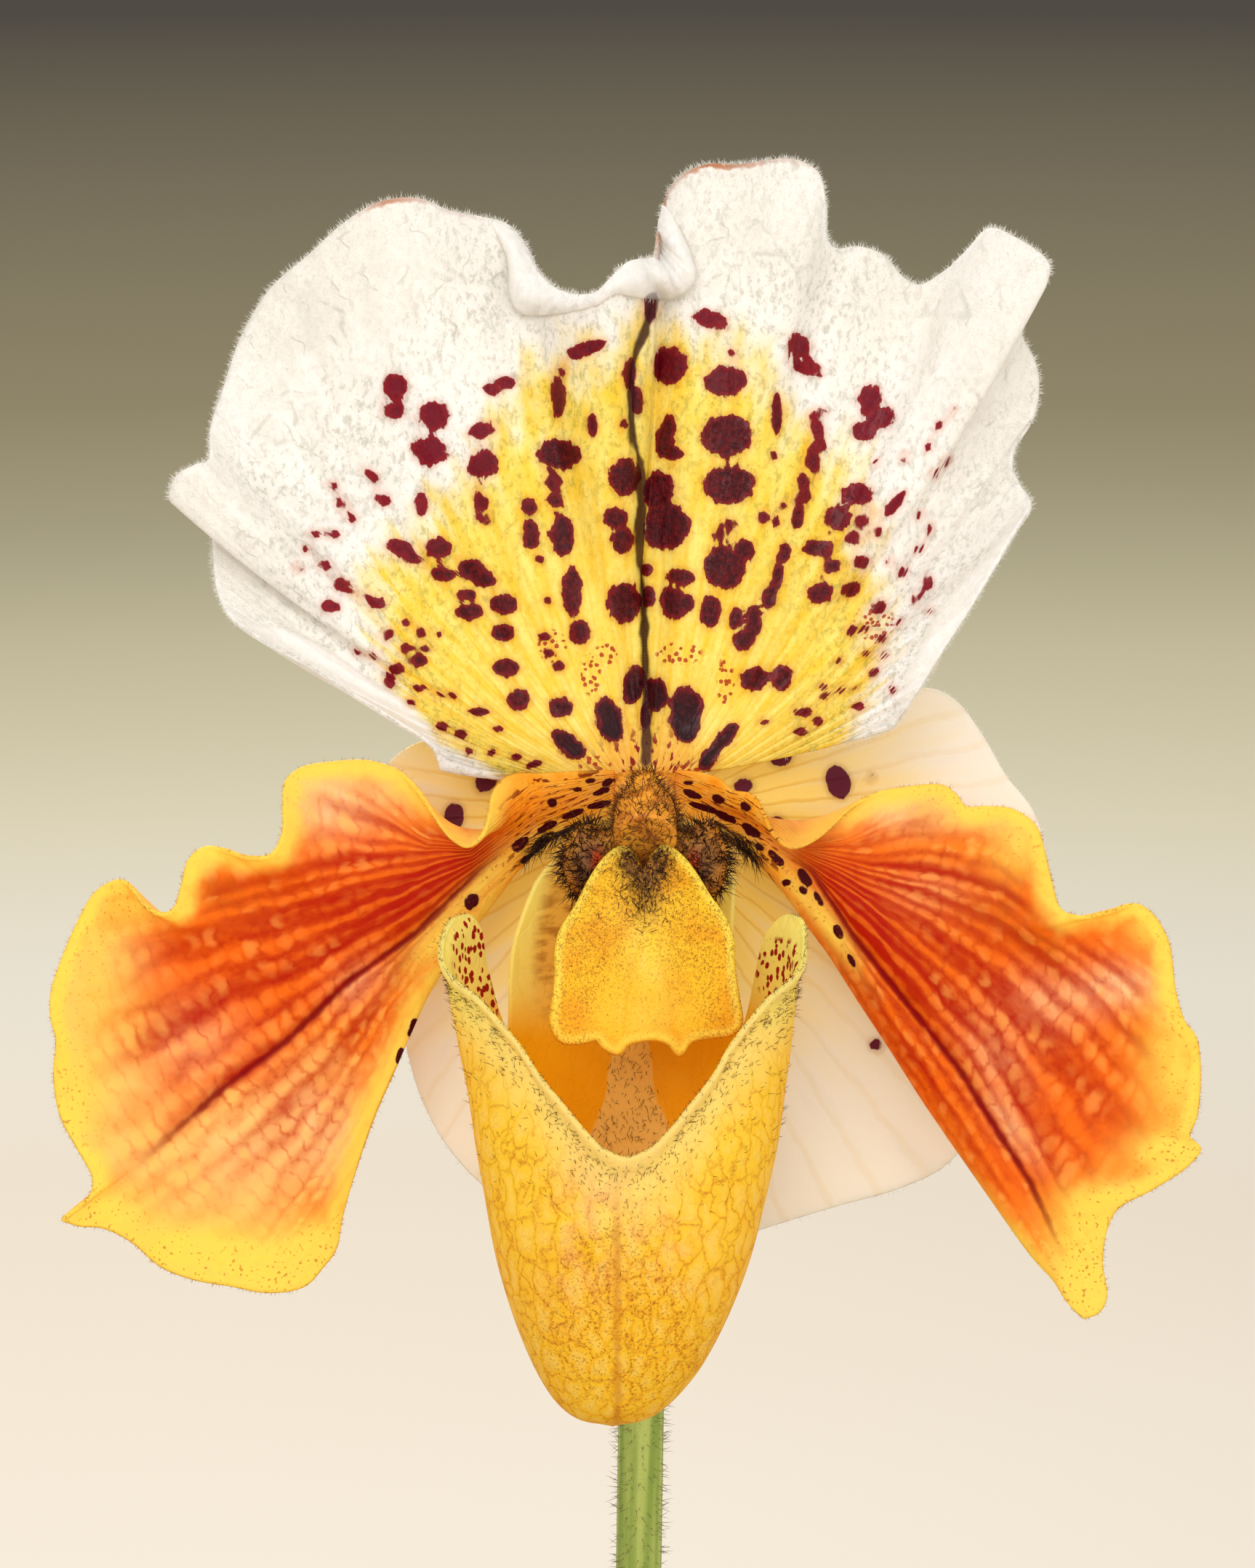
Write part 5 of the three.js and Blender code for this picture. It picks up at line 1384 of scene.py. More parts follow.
@dataclass(frozen=True)
class PetalFinish(Finish):
    """Orange tissue with a net of red-brown veins, golden meshes and a yellow rim."""

    pale: Colour = srgb(255, 208, 116)
    orange: Colour = srgb(252, 140, 34)
    flame: Colour = srgb(248, 118, 18)
    bead: Colour = srgb(255, 206, 104)
    vein: Colour = srgb(206, 84, 16)
    crimson: Colour = srgb(186, 20, 0)
    gold: Colour = srgb(255, 226, 92)
    # A pale peach tint, also used for painted highlights on the lobes that face the light.
    peach_and_highlight: Colour = srgb(255, 216, 160)
    # A brown tint, also used for painted shade in the hollows of the ruffles.
    umber_and_hollow_shade: Colour = srgb(206, 104, 8)
    plum: Colour = srgb(132, 0, 8)

    def paint(self, s: Shading) -> Coat:
        """Lays the ground and its washes, the net, the midrib, the rim and the dots."""
        place = s.place()
        across, reach, rim = s.mark("vein_u"), s.mark("vein_v"), s.mark("rim")
        net = s.effect(Effect.VEINS, Across=s.times(across, 2.3), Along=reach, Bead=1.6, Waver=1.1,
                       Width=0.46)
        grain = s.effect(Effect.SKIN, Place=place, Size=3.5)
        streak = s.noise(s.vector(s.times(across, 3.0), s.times(reach, 0.14)), 1.0, 3.0)
        broad = s.noise(place, 0.16, 3.0)
        soft = s.noise(place, 0.9, 3.0, 0.6)

        heat = s.plus(s.mark("blaze"), s.times(s.math("SUBTRACT", broad, 0.5), 0.8))
        ground = s.ramp(heat, [(0.0, self.pale), (0.35, self.orange), (0.85, self.flame)], "LINEAR")
        # Pale peach tint and painted highlights, laid where the washes put them.
        ground = s.mix(s.times(s.mark("peach_and_highlight"), s.ease(soft, 0.25, 0.6, 0.5, 1.0)), ground, self.peach_and_highlight)
        ground = s.mix(s.times(s.ease(soft, 0.5, 0.75), s.ease(heat, 0.7, 0.2, 0.1, 0.5)), ground, self.bead)

        margin = s.ease(s.plus(rim, s.swing(place, 0.4, 3.0)), 0.6, 4.0)
        strength = s.times(margin, s.ease(s.mark("net"), 0.0, 1.0, 0.5, 1.0),
                           s.ease(streak, 0.3, 0.6, 0.6, 1.0))
        dark = s.mix(s.ease(heat, 0.1, 0.5), self.vein, self.crimson)
        links = s.times(net.outputs["Link"], strength, s.ease(soft, 0.35, 0.65, 0.1, 0.6))
        colour = s.mix(links, ground, self.vein)
        lines = s.times(net.outputs["Line"], strength, s.ease(soft, 0.25, 0.6, 0.5, 0.95),
                        s.ease(heat, 0, 0.5, 0.7, 0.85))
        colour = s.mix(lines, colour, dark)
        main = s.ease(s.math("PINGPONG", s.plus(across, s.swing(place, 0.5, 0.35)), 0.5), 0.28, 0.02)
        colour = s.mix(s.times(main, strength, s.ease(heat, 0.0, 0.5, 0.2, 0.8)), colour, self.crimson)
        deep = s.times(s.mark("deep"), s.ease(net.outputs["Line"], 0.0, 0.6, 0.3, 0.9))
        colour = s.mix(deep, colour, self.crimson)
        shown = s.times(s.ease(net.outputs["Tone"], 0.1, 0.9), s.ease(streak, 0.35, 0.6, 0.3, 1),
                        s.ease(reach, 15, 24))
        shown = s.times(shown, s.ease(s.mark("deep"), 0.1, 0.7, 1.0, 0.2))
        beads = s.times(net.outputs["Bead"], shown, s.ease(heat, 0.2, 0.8, 0.65, 0.5))
        colour = s.mix(beads, colour, s.mix(s.ease(heat, 0.2, 0.8), self.bead, srgb(254, 176, 84)))
        # Brown streaks, and painted shade in the hollows of the ruffles.
        colour = s.mix(s.times(s.mark("umber_and_hollow_shade"), s.ease(soft, 0.3, 0.65, 0.3, 0.85)), colour, self.umber_and_hollow_shade)

        gold = s.math("MAXIMUM", s.mark("gold"), s.ease(s.plus(rim, s.swing(place, 0.5, 1.6)), 2.6, 0.4))
        colour = s.mix(s.times(gold, s.ease(soft, 0.2, 0.6, 0.75, 1.0)), colour, self.gold)
        keel = s.ease(s.plus(s.mark("midrib"), s.swing(place, 0.8, 0.7, 3.0)), 0.6, 0.05)
        colour = s.mix(s.times(keel, s.mark("keel"), 0.85), colour, self.plum)
        dashes = s.noise(s.vector(s.times(across, 3.0), s.times(reach, 0.8)), 1.0, 2.0, 0.6)
        stripe = s.ease(s.math("PINGPONG", s.times(across, 1.2), 0.5), 0.26, 0.12)
        colour = s.mix(s.times(s.mark("claw"), s.ease(soft, 0.3, 0.7, 0.5, 0.95)), colour, srgb(255, 166, 26))
        claw = s.times(s.mark("claw"), stripe, s.ease(dashes, 0.5, 0.56))
        colour = s.mix(s.times(claw, 0.9), colour, srgb(120, 6, 0))
        blotch = s.effect(Effect.BLOTCH, Distance=s.mark("spots"), Place=place, Nibble=0.22)
        colour = s.mix(blotch.outputs["Mask"], colour, srgb(74, 8, 14))
        pores = s.times(s.ease(s.noise(place, 3.2, 0.0), 0.32, 0.25), s.ease(rim, 7, 1), s.mark("gold"))
        colour = s.mix(s.times(pores, 0.6), colour, srgb(168, 84, 20))
        back = s.mix(0.55, colour, srgb(244, 176, 76))
        colour = s.mix(s.ease(s.mark("side"), -0.2, -0.8), colour, back)

        rough = s.ease(grain.outputs["Tone"], 0.3, 0.8, 0.42, 0.6)
        ridges = s.plus(s.times(grain.outputs["Height"], 0.5), s.times(net.outputs["Line"], -0.4),
                        s.times(net.outputs["Bead"], 0.4), s.times(streak, 0.9))
        return Coat(colour, ridges, rough)


# Veins of the petals: for each vein its number, from below the midrib to above it, and its course
LEFT_VEINS = {
    -2: ((-3, 0.8), (-9, -2.2), (-13.5, -6.5), (-23.1, -18.1), (-25.5, -23.7), (-28.7, -29.3), (-32.7, -35.3),
         (-37.1, -41.3)),
    -1: ((-3, 1.4), (-9.6, -1.6), (-14.2, -5.8), (-21.1, -12.1), (-24.7, -17.3), (-29.5, -23.7),
         (-35.1, -29.3), (-41.1, -34.1), (-45.1, -37.3)),
    0: ((-3, 2), (-10, -0.9), (-15.1, -4.9), (-21.1, -10.9), (-27.1, -15.1), (-32.7, -20.5), (-39.1, -25.3),
        (-43.1, -28.9), (-47.9, -33.3)),
    1: ((-3, 2.5), (-10, -0.2), (-15.5, -4.3), (-21.9, -8.5), (-27.1, -11.3), (-32.7, -14.1), (-37.9, -15.7),
        (-45.1, -19.7), (-52.7, -23.7)),
    2: ((-3, 2.9), (-10.2, 0.6), (-15.8, -3.8), (-21.1, -5.7), (-27.1, -7.3), (-33.1, -9.3), (-39.9, -10.5),
        (-47.1, -12.5), (-53.5, -15.7)),
    3: ((-3, 3.2), (-10.3, 1.4), (-16, -3.3), (-19.1, -3.3), (-27, -4.2), (-34, -5.6), (-41, -7.6),
        (-47, -7.5)),
    4: ((-3, 3.5), (-10.4, 2.2), (-16.3, -2.8), (-19.9, -2.7), (-23.1, -0.9), (-27.1, 0.7), (-31.1, 2.3)),
    5: ((-3, 3.8), (-10.5, 3), (-16.5, -2.4), (-20.3, -1.3), (-23.9, 2.7)),
}
RIGHT_VEINS = {
    -1: ((3, 1.2), (9, -2.2), (13, -5.8), (18.2, -12.1), (22.2, -18.9), (26.2, -24.5), (30.2, -30.9),
         (34.2, -36.9)),
    0: ((3, 2), (9, -0.9), (13.2, -3.8), (15.2, -5), (19, -10.9), (23.8, -16.9), (28.6, -22.9), (32.6, -29.3),
        (35.4, -33.7), (36.8, -36.9)),
    1: ((3, 2.5), (9, -0.3), (13.8, -3.7), (20.6, -9.3), (26.2, -14.9), (31.4, -20.5), (35, -26.9),
        (37.8, -32.5)),
    2: ((3, 2.9), (9, 0.3), (14.2, -3.5), (20.6, -7.3), (26.2, -10.9), (32.2, -15.7), (38.2, -22.1),
        (43, -27.3), (46.2, -31.3)),
    3: ((3, 3.2), (9, 0.8), (14.5, -3.3), (20.6, -5.7), (26.2, -7.3), (33.4, -10.5), (40.2, -15.7),
        (46.2, -22.1), (49.4, -26.9)),
    4: ((3, 3.5), (9, 1.2), (14.7, -3.1), (20.6, -4.5), (26.2, -4.9), (32.6, -6.5), (38.2, -10.5),
        (45.4, -15.7)),
    5: ((3, 3.7), (9, 1.5), (14.9, -2.9), (19, -2.6), (24, -1.2), (29, -0.6), (33, -1.6), (36.5, -4.5)),
    6: ((3, 3.9), (9, 1.8), (15.1, -2.7), (18.2, -2.1), (20.6, -0.5), (23.8, 1.5)),
}
LEFT_WASHES = {
    "blaze": ((-22, -7, 7, 6, 1.0), (-30, -8, 9, 5, 1.0), (-33, -15, 10, 6, 0.9, 38), (-43, -11, 7, 5, 0.8),
              (-28.7, -35.7, 4, 3, 0.4), (-14, 0, 5, 2, 0.7, 30), (-26, -22, 9, 3, 0.3, 50),
              (-40, -19, 9, 5, 0.4, 30)),
    "deep": ((-18, -5.6, 6, 2.4, 1.0, 32), (-25, -8.2, 8, 3.4, 0.7, 22), (-10, 0.8, 5, 1.1, 0.5, 25),
             (-33, -8, 6, 2, 0.3)),
    # Pale peach tint and painted highlights on the lobes.
    "peach_and_highlight": ((-29.1, 1, 5, 3, 0.9), (-42, -21, 5, 4, 0.45), (-30.3, -28.5, 4, 5, 0.7, 30),
              (-26.5, -15.5, 3, 2, 0.5, 40), (-48.7, -13.3, 3, 2.5, 0.7), (-37, -31, 4, 3, 0.4)),
    # Brown patches: brown tint, and painted shade in the hollows of the ruffles.
    "umber_and_hollow_shade": ((-25.5, 2.4, 0.8, 2, 0.6), (-38.5, -7, 5, 2.6, 0.6), (-33.5, -2.5, 3, 2, 0.5),
              (-47.5, -16.5, 4, 3, 0.5), (-22.6, -12.9, 1.2, 1, 0.7), (-30, -24, 2, 1, 0.3)),
    "gold": ((-50.5, -13, 3.4, 7, 0.7), (-52.7, -26.5, 3, 6, 0.9), (-50, -36.2, 4, 2.2, 1.0),
             (-43, -39.6, 7, 2.6, 1.0), (-34, -41.6, 7, 3, 1.0), (-29.5, -40, 3, 3.5, 1.0),
             (-33, 3, 2.4, 2, 0.6), (-45.8, -8, 3, 2, 0.8), (-13.5, -5, 5, 1.0, 1.0, 42),
             (-19, -11.5, 4, 1.4, 1.0, 48), (-9, -1.9, 4, 0.7, 0.9, 28), (-11, 2.9, 3, 0.7, 0.8)),
    "net": ((-26, -9, 14, 8, 1.0), (-36, -20, 12, 9, 0.9), (-30, -27, 8, 8, 0.6)),
}
RIGHT_WASHES = {
    "blaze": ((20, -8, 6, 6, 1.0), (26, -18, 5, 9, 0.95, 30), (40, -27, 7, 6, 0.7),
              (33, -10, 9, 4, 0.85, -30), (35, -33, 4, 6, 0.7), (45, -12, 4, 2, 0.5), (34, -20, 16, 14, 0.5)),
    "deep": ((18.5, -7.8, 6, 2.2, 1.0, -52), (24, -15.4, 8, 1.9, 0.75, -56), (24, -9, 6, 2.6, 0.5, -35),
             (10, 0.2, 4, 1.1, 0.5, -25), (33, -10, 6, 2, 0.35, -25)),
    # Pale peach tint and painted highlights on the lobes.
    "peach_and_highlight": ((24, 0.6, 5, 2, 0.7), (43.4, -15.7, 4, 2, 0.9), (36.6, -17.3, 4, 3, 0.5),
              (32, -22, 4, 2, 0.5, -50), (33.6, -28.5, 4, 1.3, 0.7, -55), (26, -7, 4, 2, 0.3)),
    # Brown patches: brown tint, and painted shade in the hollows of the ruffles.
    "umber_and_hollow_shade": ((34, -9.5, 7, 2, 0.6, -20), (25.4, -0.5, 1.5, 2, 0.4), (38, -13, 4, 1.5, 0.4, -25),
              (47, -24, 2, 3, 0.3)),
    "gold": ((34.5, -3, 3, 2.6, 0.7), (48.6, -22.9, 3, 6, 0.9), (46.5, -10.5, 2.6, 2, 0.7),
             (48, -31, 4, 2, 1.0), (42.5, -35.5, 4.5, 2, 1.0), (40, -39.5, 3.4, 3.5, 1.0),
             (40.5, -44, 3, 3, 1.0), (28.5, 1.6, 4, 1.6, 0.8), (12.6, -5.4, 5, 1.0, 1.0, -48),
             (17.4, -11, 4, 0.9, 0.8, -56), (9.5, 1.6, 3, 0.6, 0.8)),
    "net": ((24, -11, 11, 9, 1.0), (34, -22, 12, 10, 0.9), (33, -8, 10, 5, 0.7)),
}
LEFT_SPOTS = (
    (-11.5, -2.6, 0.9, 0.5, 40), (-11.1, -4, 0.55, 0.3, 30), (-15.9, -7.9, 0.55, 0.8, -35),
    (-21.4, -19.5, 0.35, 0.9, -15), (-22.5, -22, 0.35, 0.8, -15), (-9, -1, 1, 0.4, 30),
    (-6.6, 0.2, 1.1, 0.35, 20), (-8.6, 1.2, 0.5, 0.4), (-6.2, 2.4, 0.4, 0.3), (-4.2, 1, 1.2, 0.35, 12),
    (-4, 2.2, 0.8, 0.3, 20), (-5, 3.2, 0.5, 0.3), (-3.4, 3.1, 0.6, 0.35, 30), (-7.4, -1.6, 0.7, 0.3, 30),
)
RIGHT_SPOTS = (
    (9.8, -1.3, 1, 0.5, -35), (12, -3.9, 1, 0.4, -45), (14.6, -5.7, 0.9, 0.45, -55),
    (15.9, -7.7, 0.75, 0.3, -60), (17.7, -10.7, 0.75, 0.35, -60), (19, -13.3, 0.75, 0.25, -60),
    (13.1, -6.1, 0.4, 0.3), (14.5, -6.9, 0.4, 0.25, -50), (7.4, 0, 1.2, 0.4, -25),
    (5.4, 0.8, 1.4, 0.35, -15), (4.4, 2, 1, 0.35, -20), (6.8, 1.6, 0.6, 0.35, -20), (4, 3, 0.5, 0.3),
    (9.4, 0.8, 0.6, 0.35, -30), (10.6, -2.9, 0.5, 0.3, -40), )


@dataclass
class Petal(Tepal):
    """A waved orange petal on a narrow claw.

    Attributes:
        name: The piece's name.
        node: The solid that it stands for.
        veins: Courses of its veins.
        washes: Soft patches of colour.
        spots: Its dark dots.
        towards: 1 where it runs to the right, -1 to the left.
    """

    name: str = ""
    node: str = ""
    veins: dict[int, Points] = field(default_factory=dict)
    washes: dict[str, Points] = field(default_factory=dict)
    spots: Points = ()
    towards: int = 1
    rows: int = 244
    half: int = 54

    VEIN_GAP = 2.4

    def vein_number(self, seen: Array) -> Array:
        """Reads between the veins: whole numbers lie on a vein."""
        numbers = sorted(self.veins)
        gaps = np.stack([self.towards * side_distance(seen, self.veins[number]) for number in numbers])
        result = numbers[0] + gaps[0] / self.VEIN_GAP
        for k, number in enumerate(numbers):
            above = gaps[k] >= 0
            span = gaps[k] - gaps[k + 1] if k + 1 < len(numbers) else np.full(len(seen), self.VEIN_GAP)
            share = gaps[k] / np.maximum(span, 1e-6)
            share = np.clip(share, 0, 1) if k + 1 < len(numbers) else share
            result = np.where(above, number + share, result)
        return result

    def relief(self, points: Array) -> Array:
        """Sinks a groove along the midrib."""
        seen = PLACE.as_seen(points).reshape(-1, 2)
        gap = side_distance(seen, self.veins[0]).reshape(points.shape[:-1])
        reach = np.abs(points[..., 0])
        return -0.45 * np.exp(-((gap / 0.9) ** 2)) * smooth(4, 16, reach) * smooth(46, 36, reach)

    def marked(self) -> Sheet:
        """Makes the surface with everything that the finish reads."""
        sheet = self.surface()
        seen = PLACE.as_seen(sheet.points)
        reach = np.hypot(seen[:, 0], seen[:, 1] - 3)
        for name, patches in self.washes.items():
            sheet.marks[name] = wash(seen, patches)
        sheet.marks.update(
            vein_u=self.vein_number(seen),
            vein_v=reach,
            spots=blob_distance(seen, self.spots)[0],
            midrib=np.abs(side_distance(seen, self.veins[0])),
            keel=smooth(12, 20, reach) * smooth(60, 50, reach),
            claw=smooth(15, 11, np.abs(seen[:, 0])),
        )
        return sheet

    def build(self) -> None:
        """Builds the petal, the down along its margin and the black hairs of its claw."""
        sheet = self.marked()
        finish = PetalFinish("orange netted petal", glow=0.4, gloss=0.08)
        add_piece(self.name, in_bloom(sheet.thickened(self.thickness)), finish, [self.node])
        roots, ways = sheet.scatter_border(1300, lambda middle: smooth(6, 12, np.abs(middle[:, 0])), seed=21)
        down = Bristle(0.42, 0.025, bend=0.3, spread=0.4, seed=22).grow(roots, ways)
        add_piece(f"{self.name}_down", in_bloom(down), GOLD_HAIR)
        reach = np.abs(sheet.points[:, 0])
        below = smooth(0.5, -1.5, sheet.points[:, 1] + 0.3 * (reach - 4))
        claw = smooth(2, 4, reach) * smooth(11, 8, reach) * below
        roots, ways = sheet.scatter(190, claw, seed=23)
        lean = ways * 0.4 + np.array([self.towards * 0.8, -0.9, 0.3])
        hairs = Bristle(2.2, 0.048, bend=0.4, spread=0.2, seed=24).grow(roots, unit(lean))
        add_piece(f"{self.name}_claw_hairs", in_bloom(hairs), BLACK_HAIR)


# The synsepal

SYNSEPAL_SPOTS = (
    (12.4, 5.6, 1.1, 1.2), (17.7, 3, 1.1, 1.6, 20), (20.7, 3.4, 0.35, 0.35), (9, 2.7, 0.9, 0.7),
    (12, -0.7, 0.8, 0.6), (-14.4, 3.3, 0.9, 1.4, -35), (-17.5, -0.2, 0.9, 1.4, -10), (21.2, -21, 0.6, 0.6),
)


@dataclass(frozen=True)
class SynsepalFinish(Finish):
    """Thin ivory tissue with yellow veins that fan out from the middle."""

    ivory: Colour = srgb(245, 237, 222)
    cream: Colour = srgb(250, 226, 128)
    vein: Colour = srgb(236, 196, 76)

    def paint(self, s: Shading) -> Coat:
        """Lays the ground, the veins and a few dots."""
        place = s.place()
        turn, reach = s.mark("vein_u"), s.mark("vein_v")
        net = s.effect(Effect.VEINS, Across=turn, Along=reach, Bead=4.0, Waver=0.5, Width=0.14)
        grain = s.effect(Effect.SKIN, Place=place, Size=3.5)
        streak = s.noise(s.vector(s.times(turn, 1.4), s.times(reach, 0.08)), 1.0, 3.0)
        heart = s.ease(s.plus(reach, s.times(streak, 14.0)), 38, 18)
        colour = s.mix(heart, self.ivory, self.cream)
        colour = s.mix(s.times(net.outputs["Line"], s.ease(reach, 26, 10, 0.12, 0.7)), colour, self.vein)
        colour = s.mix(s.times(s.ease(streak, 0.5, 0.8), 0.2), colour, srgb(226, 222, 206))
        blotch = s.effect(Effect.BLOTCH, Distance=s.mark("spots"), Place=place, Nibble=0.15)
        colour = s.mix(s.times(blotch.outputs["Halo"], 0.3), colour, srgb(200, 150, 60), "MULTIPLY")
        colour = s.mix(blotch.outputs["Mask"], colour, srgb(104, 26, 50))
        ridges = s.plus(s.times(grain.outputs["Height"], 0.4), s.times(streak, 1.2), net.outputs["Line"])
        return Coat(colour, ridges)


@dataclass
class Synsepal(Tepal):
    """The two lower sepals grown together, behind the lip."""

    left: Points = SYNSEPAL_LEFT_EDGE
    right: Points = SYNSEPAL_RIGHT_EDGE
    midrib: Points = SYNSEPAL_MIDRIB
    fan: float = 0.5
    calm: float = 0.08
    rows: int = 116
    half: int = 48

    def relief(self, points: Array) -> Array:
        """Waves the sheet softly along its veins."""
        x, y = points[..., 0], points[..., 1]
        turn, reach = np.arctan2(x, -y), np.hypot(x, y)
        return 0.35 * np.sin(9 * turn) * smooth(8, 26, reach)

    def build(self) -> None:
        """Builds the sheet and its down."""
        sheet = self.surface()
        seen = PLACE.as_seen(sheet.points)
        sheet.marks.update(
            vein_u=np.arctan2(seen[:, 0], -seen[:, 1]) * 9,
            vein_v=np.hypot(seen[:, 0], seen[:, 1]),
            spots=blob_distance(seen, SYNSEPAL_SPOTS)[0],
        )
        finish = SynsepalFinish("ivory sepal", roughness=0.55, glow=0.4)
        add_piece("synsepal_blade", in_bloom(sheet.thickened(self.thickness)), finish,
                  ["synsepal"])
        roots, ways = sheet.scatter_border(900, lambda middle: np.ones(len(middle)), seed=31)
        down = Bristle(0.45, 0.03, bend=0.3, seed=32).grow(roots, ways)
        add_piece("synsepal_down", in_bloom(down), PALE_HAIR)


# The lip

# Half width of the hairy strip down the back wall, by height
LIP_STRIP = ((-34, 6), (-29, 4.2), (-25, 2.6), (-20, 1.9), (-10, 1.6))
LIP_DOTS = ((-16, -12.6, 1.9, 3.4, 1.0), (12.6, -14.2, 2.2, 2.8, 1.0), (-14.4, -17.5, 1, 1.5, 0.6))


@dataclass(frozen=True)
class PouchFinish(Finish):
    """Golden tissue with a fine brown net outside and deep orange inside."""

    gold: Colour = srgb(254, 232, 60)
    pale: Colour = srgb(255, 246, 136)
    amber: Colour = srgb(252, 216, 40)
    inside: Colour = srgb(255, 196, 8)
    vein: Colour = srgb(204, 132, 34)
    brown: Colour = srgb(160, 104, 26)
    pink: Colour = srgb(250, 196, 136)
    rim: Colour = srgb(255, 238, 140)
    tan: Colour = srgb(255, 232, 150)

    def paint(self, s: Shading) -> Coat:
        """Paints the outside with its net and stipple, then the inside."""
        place = s.place()
        turn, height, drop = s.mark("vein_u"), s.mark("vein_v"), s.mark("drop")
        grain = s.effect(Effect.SKIN, Place=place, Size=3.5)
        broad = s.noise(place, 0.14, 3.0)
        soft = s.noise(place, 0.5, 3.0)
        fine = s.noise(place, 3.8, 2.0, 0.7)
        bent = s.warped(place, 0.5, 2.4)
        coarse = s.cells(s.stretched(bent, (0.6, 0.6, 0.28)), 1.0, "DISTANCE_TO_EDGE",
                         0.9).outputs["Distance"]
        small = s.cells(s.stretched(bent, (1.3, 1.3, 0.7)), 1.0, "DISTANCE_TO_EDGE", 1.0).outputs["Distance"]

        ground = s.mix(s.ease(s.plus(broad, s.times(s.ease(height, -28, -50), 0.25)), 0.4, 0.9), self.gold,
                       self.amber)
        ground = s.mix(s.ease(s.plus(drop, s.swing(place, 0.3, 6.0)), 11, 1), ground, self.pale)
        ground = s.mix(s.times(s.mark("blush"), s.ease(soft, 0.35, 0.65, 0.0, 0.7)), ground, self.pink)
        ground = s.mix(s.times(s.ease(coarse, 0.08, 0.35), 0.4), ground, self.pale)
        strength = s.times(s.ease(drop, 2.5, 13, 0.1, 1.0), s.ease(broad, 0.3, 0.65, 0.6, 1.0))
        patchy = s.ease(soft, 0.36, 0.6, 0.3, 1.0)
        colour = s.mix(s.times(s.ease(small, 0.07, 0.0), strength, patchy, 0.3), ground, self.vein)
        threads = s.times(s.ease(coarse, 0.08, 0.0), s.ease(fine, 0.4, 0.6, 0.3, 1.0))
        colour = s.mix(s.times(threads, strength, 0.8), colour, self.vein)
        dots = s.times(s.ease(fine, 0.54, 0.64), s.ease(s.plus(s.mark("stipple"), s.swing(place, 0.4, 0.9)),
                                                        0.15, 0.75))
        colour = s.mix(s.times(dots, 0.6), colour, self.brown)
        seam = s.times(s.ease(s.plus(s.mark("seam"), s.swing(place, 0.3, 1.6, 3.0)), 0.6, 0.0),
                       s.ease(drop, 1, 6))
        colour = s.mix(s.times(seam, 0.5), colour, self.vein)
        colour = s.mix(s.ease(drop, 1.1, 0.6), colour, self.rim)

        inner = s.mix(s.ease(broad, 0.35, 0.75), self.inside, srgb(255, 204, 40))
        inner = s.mix(s.ease(height, -21, -15), inner, self.pale)
        strip = s.ease(s.plus(s.mark("strip"), s.swing(place, 0.8, 0.2)), 0.42, 0.52)
        inner = s.mix(s.times(strip, 0.85), inner, self.tan)
        inner = s.mix(s.times(s.mark("wall"), 0.8), inner, srgb(244, 190, 70))
        fleck = s.cells(s.stretched(place, (1.5, 1.5, 1.1)), 1.0, "F1", 1.0).outputs["Distance"]
        flecks = s.times(s.ease(s.plus(fleck, s.swing(place, 2.0, 0.5)), 0.45, 0.36),
                         s.ease(s.mark("dots"), 0.25, 0.4))
        inner = s.mix(flecks, inner, srgb(160, 24, 8))
        bars = s.noise(s.vector(s.times(turn, 0.7), s.times(height, 1.1)), 1.0, 2.0)
        wall = s.times(s.mark("wall"), s.ease(bars, 0.42, 0.66))
        inner = s.mix(s.times(wall, 0.65), inner, srgb(160, 96, 16))
        colour = s.mix(s.ease(s.mark("side"), 0.1, -0.5), colour, inner)
        ridges = s.plus(s.times(grain.outputs["Height"], 0.6), s.times(threads, -0.5),
                        s.ease(coarse, 0.0, 0.4, 0.0, 0.5))
        return Coat(colour, ridges)


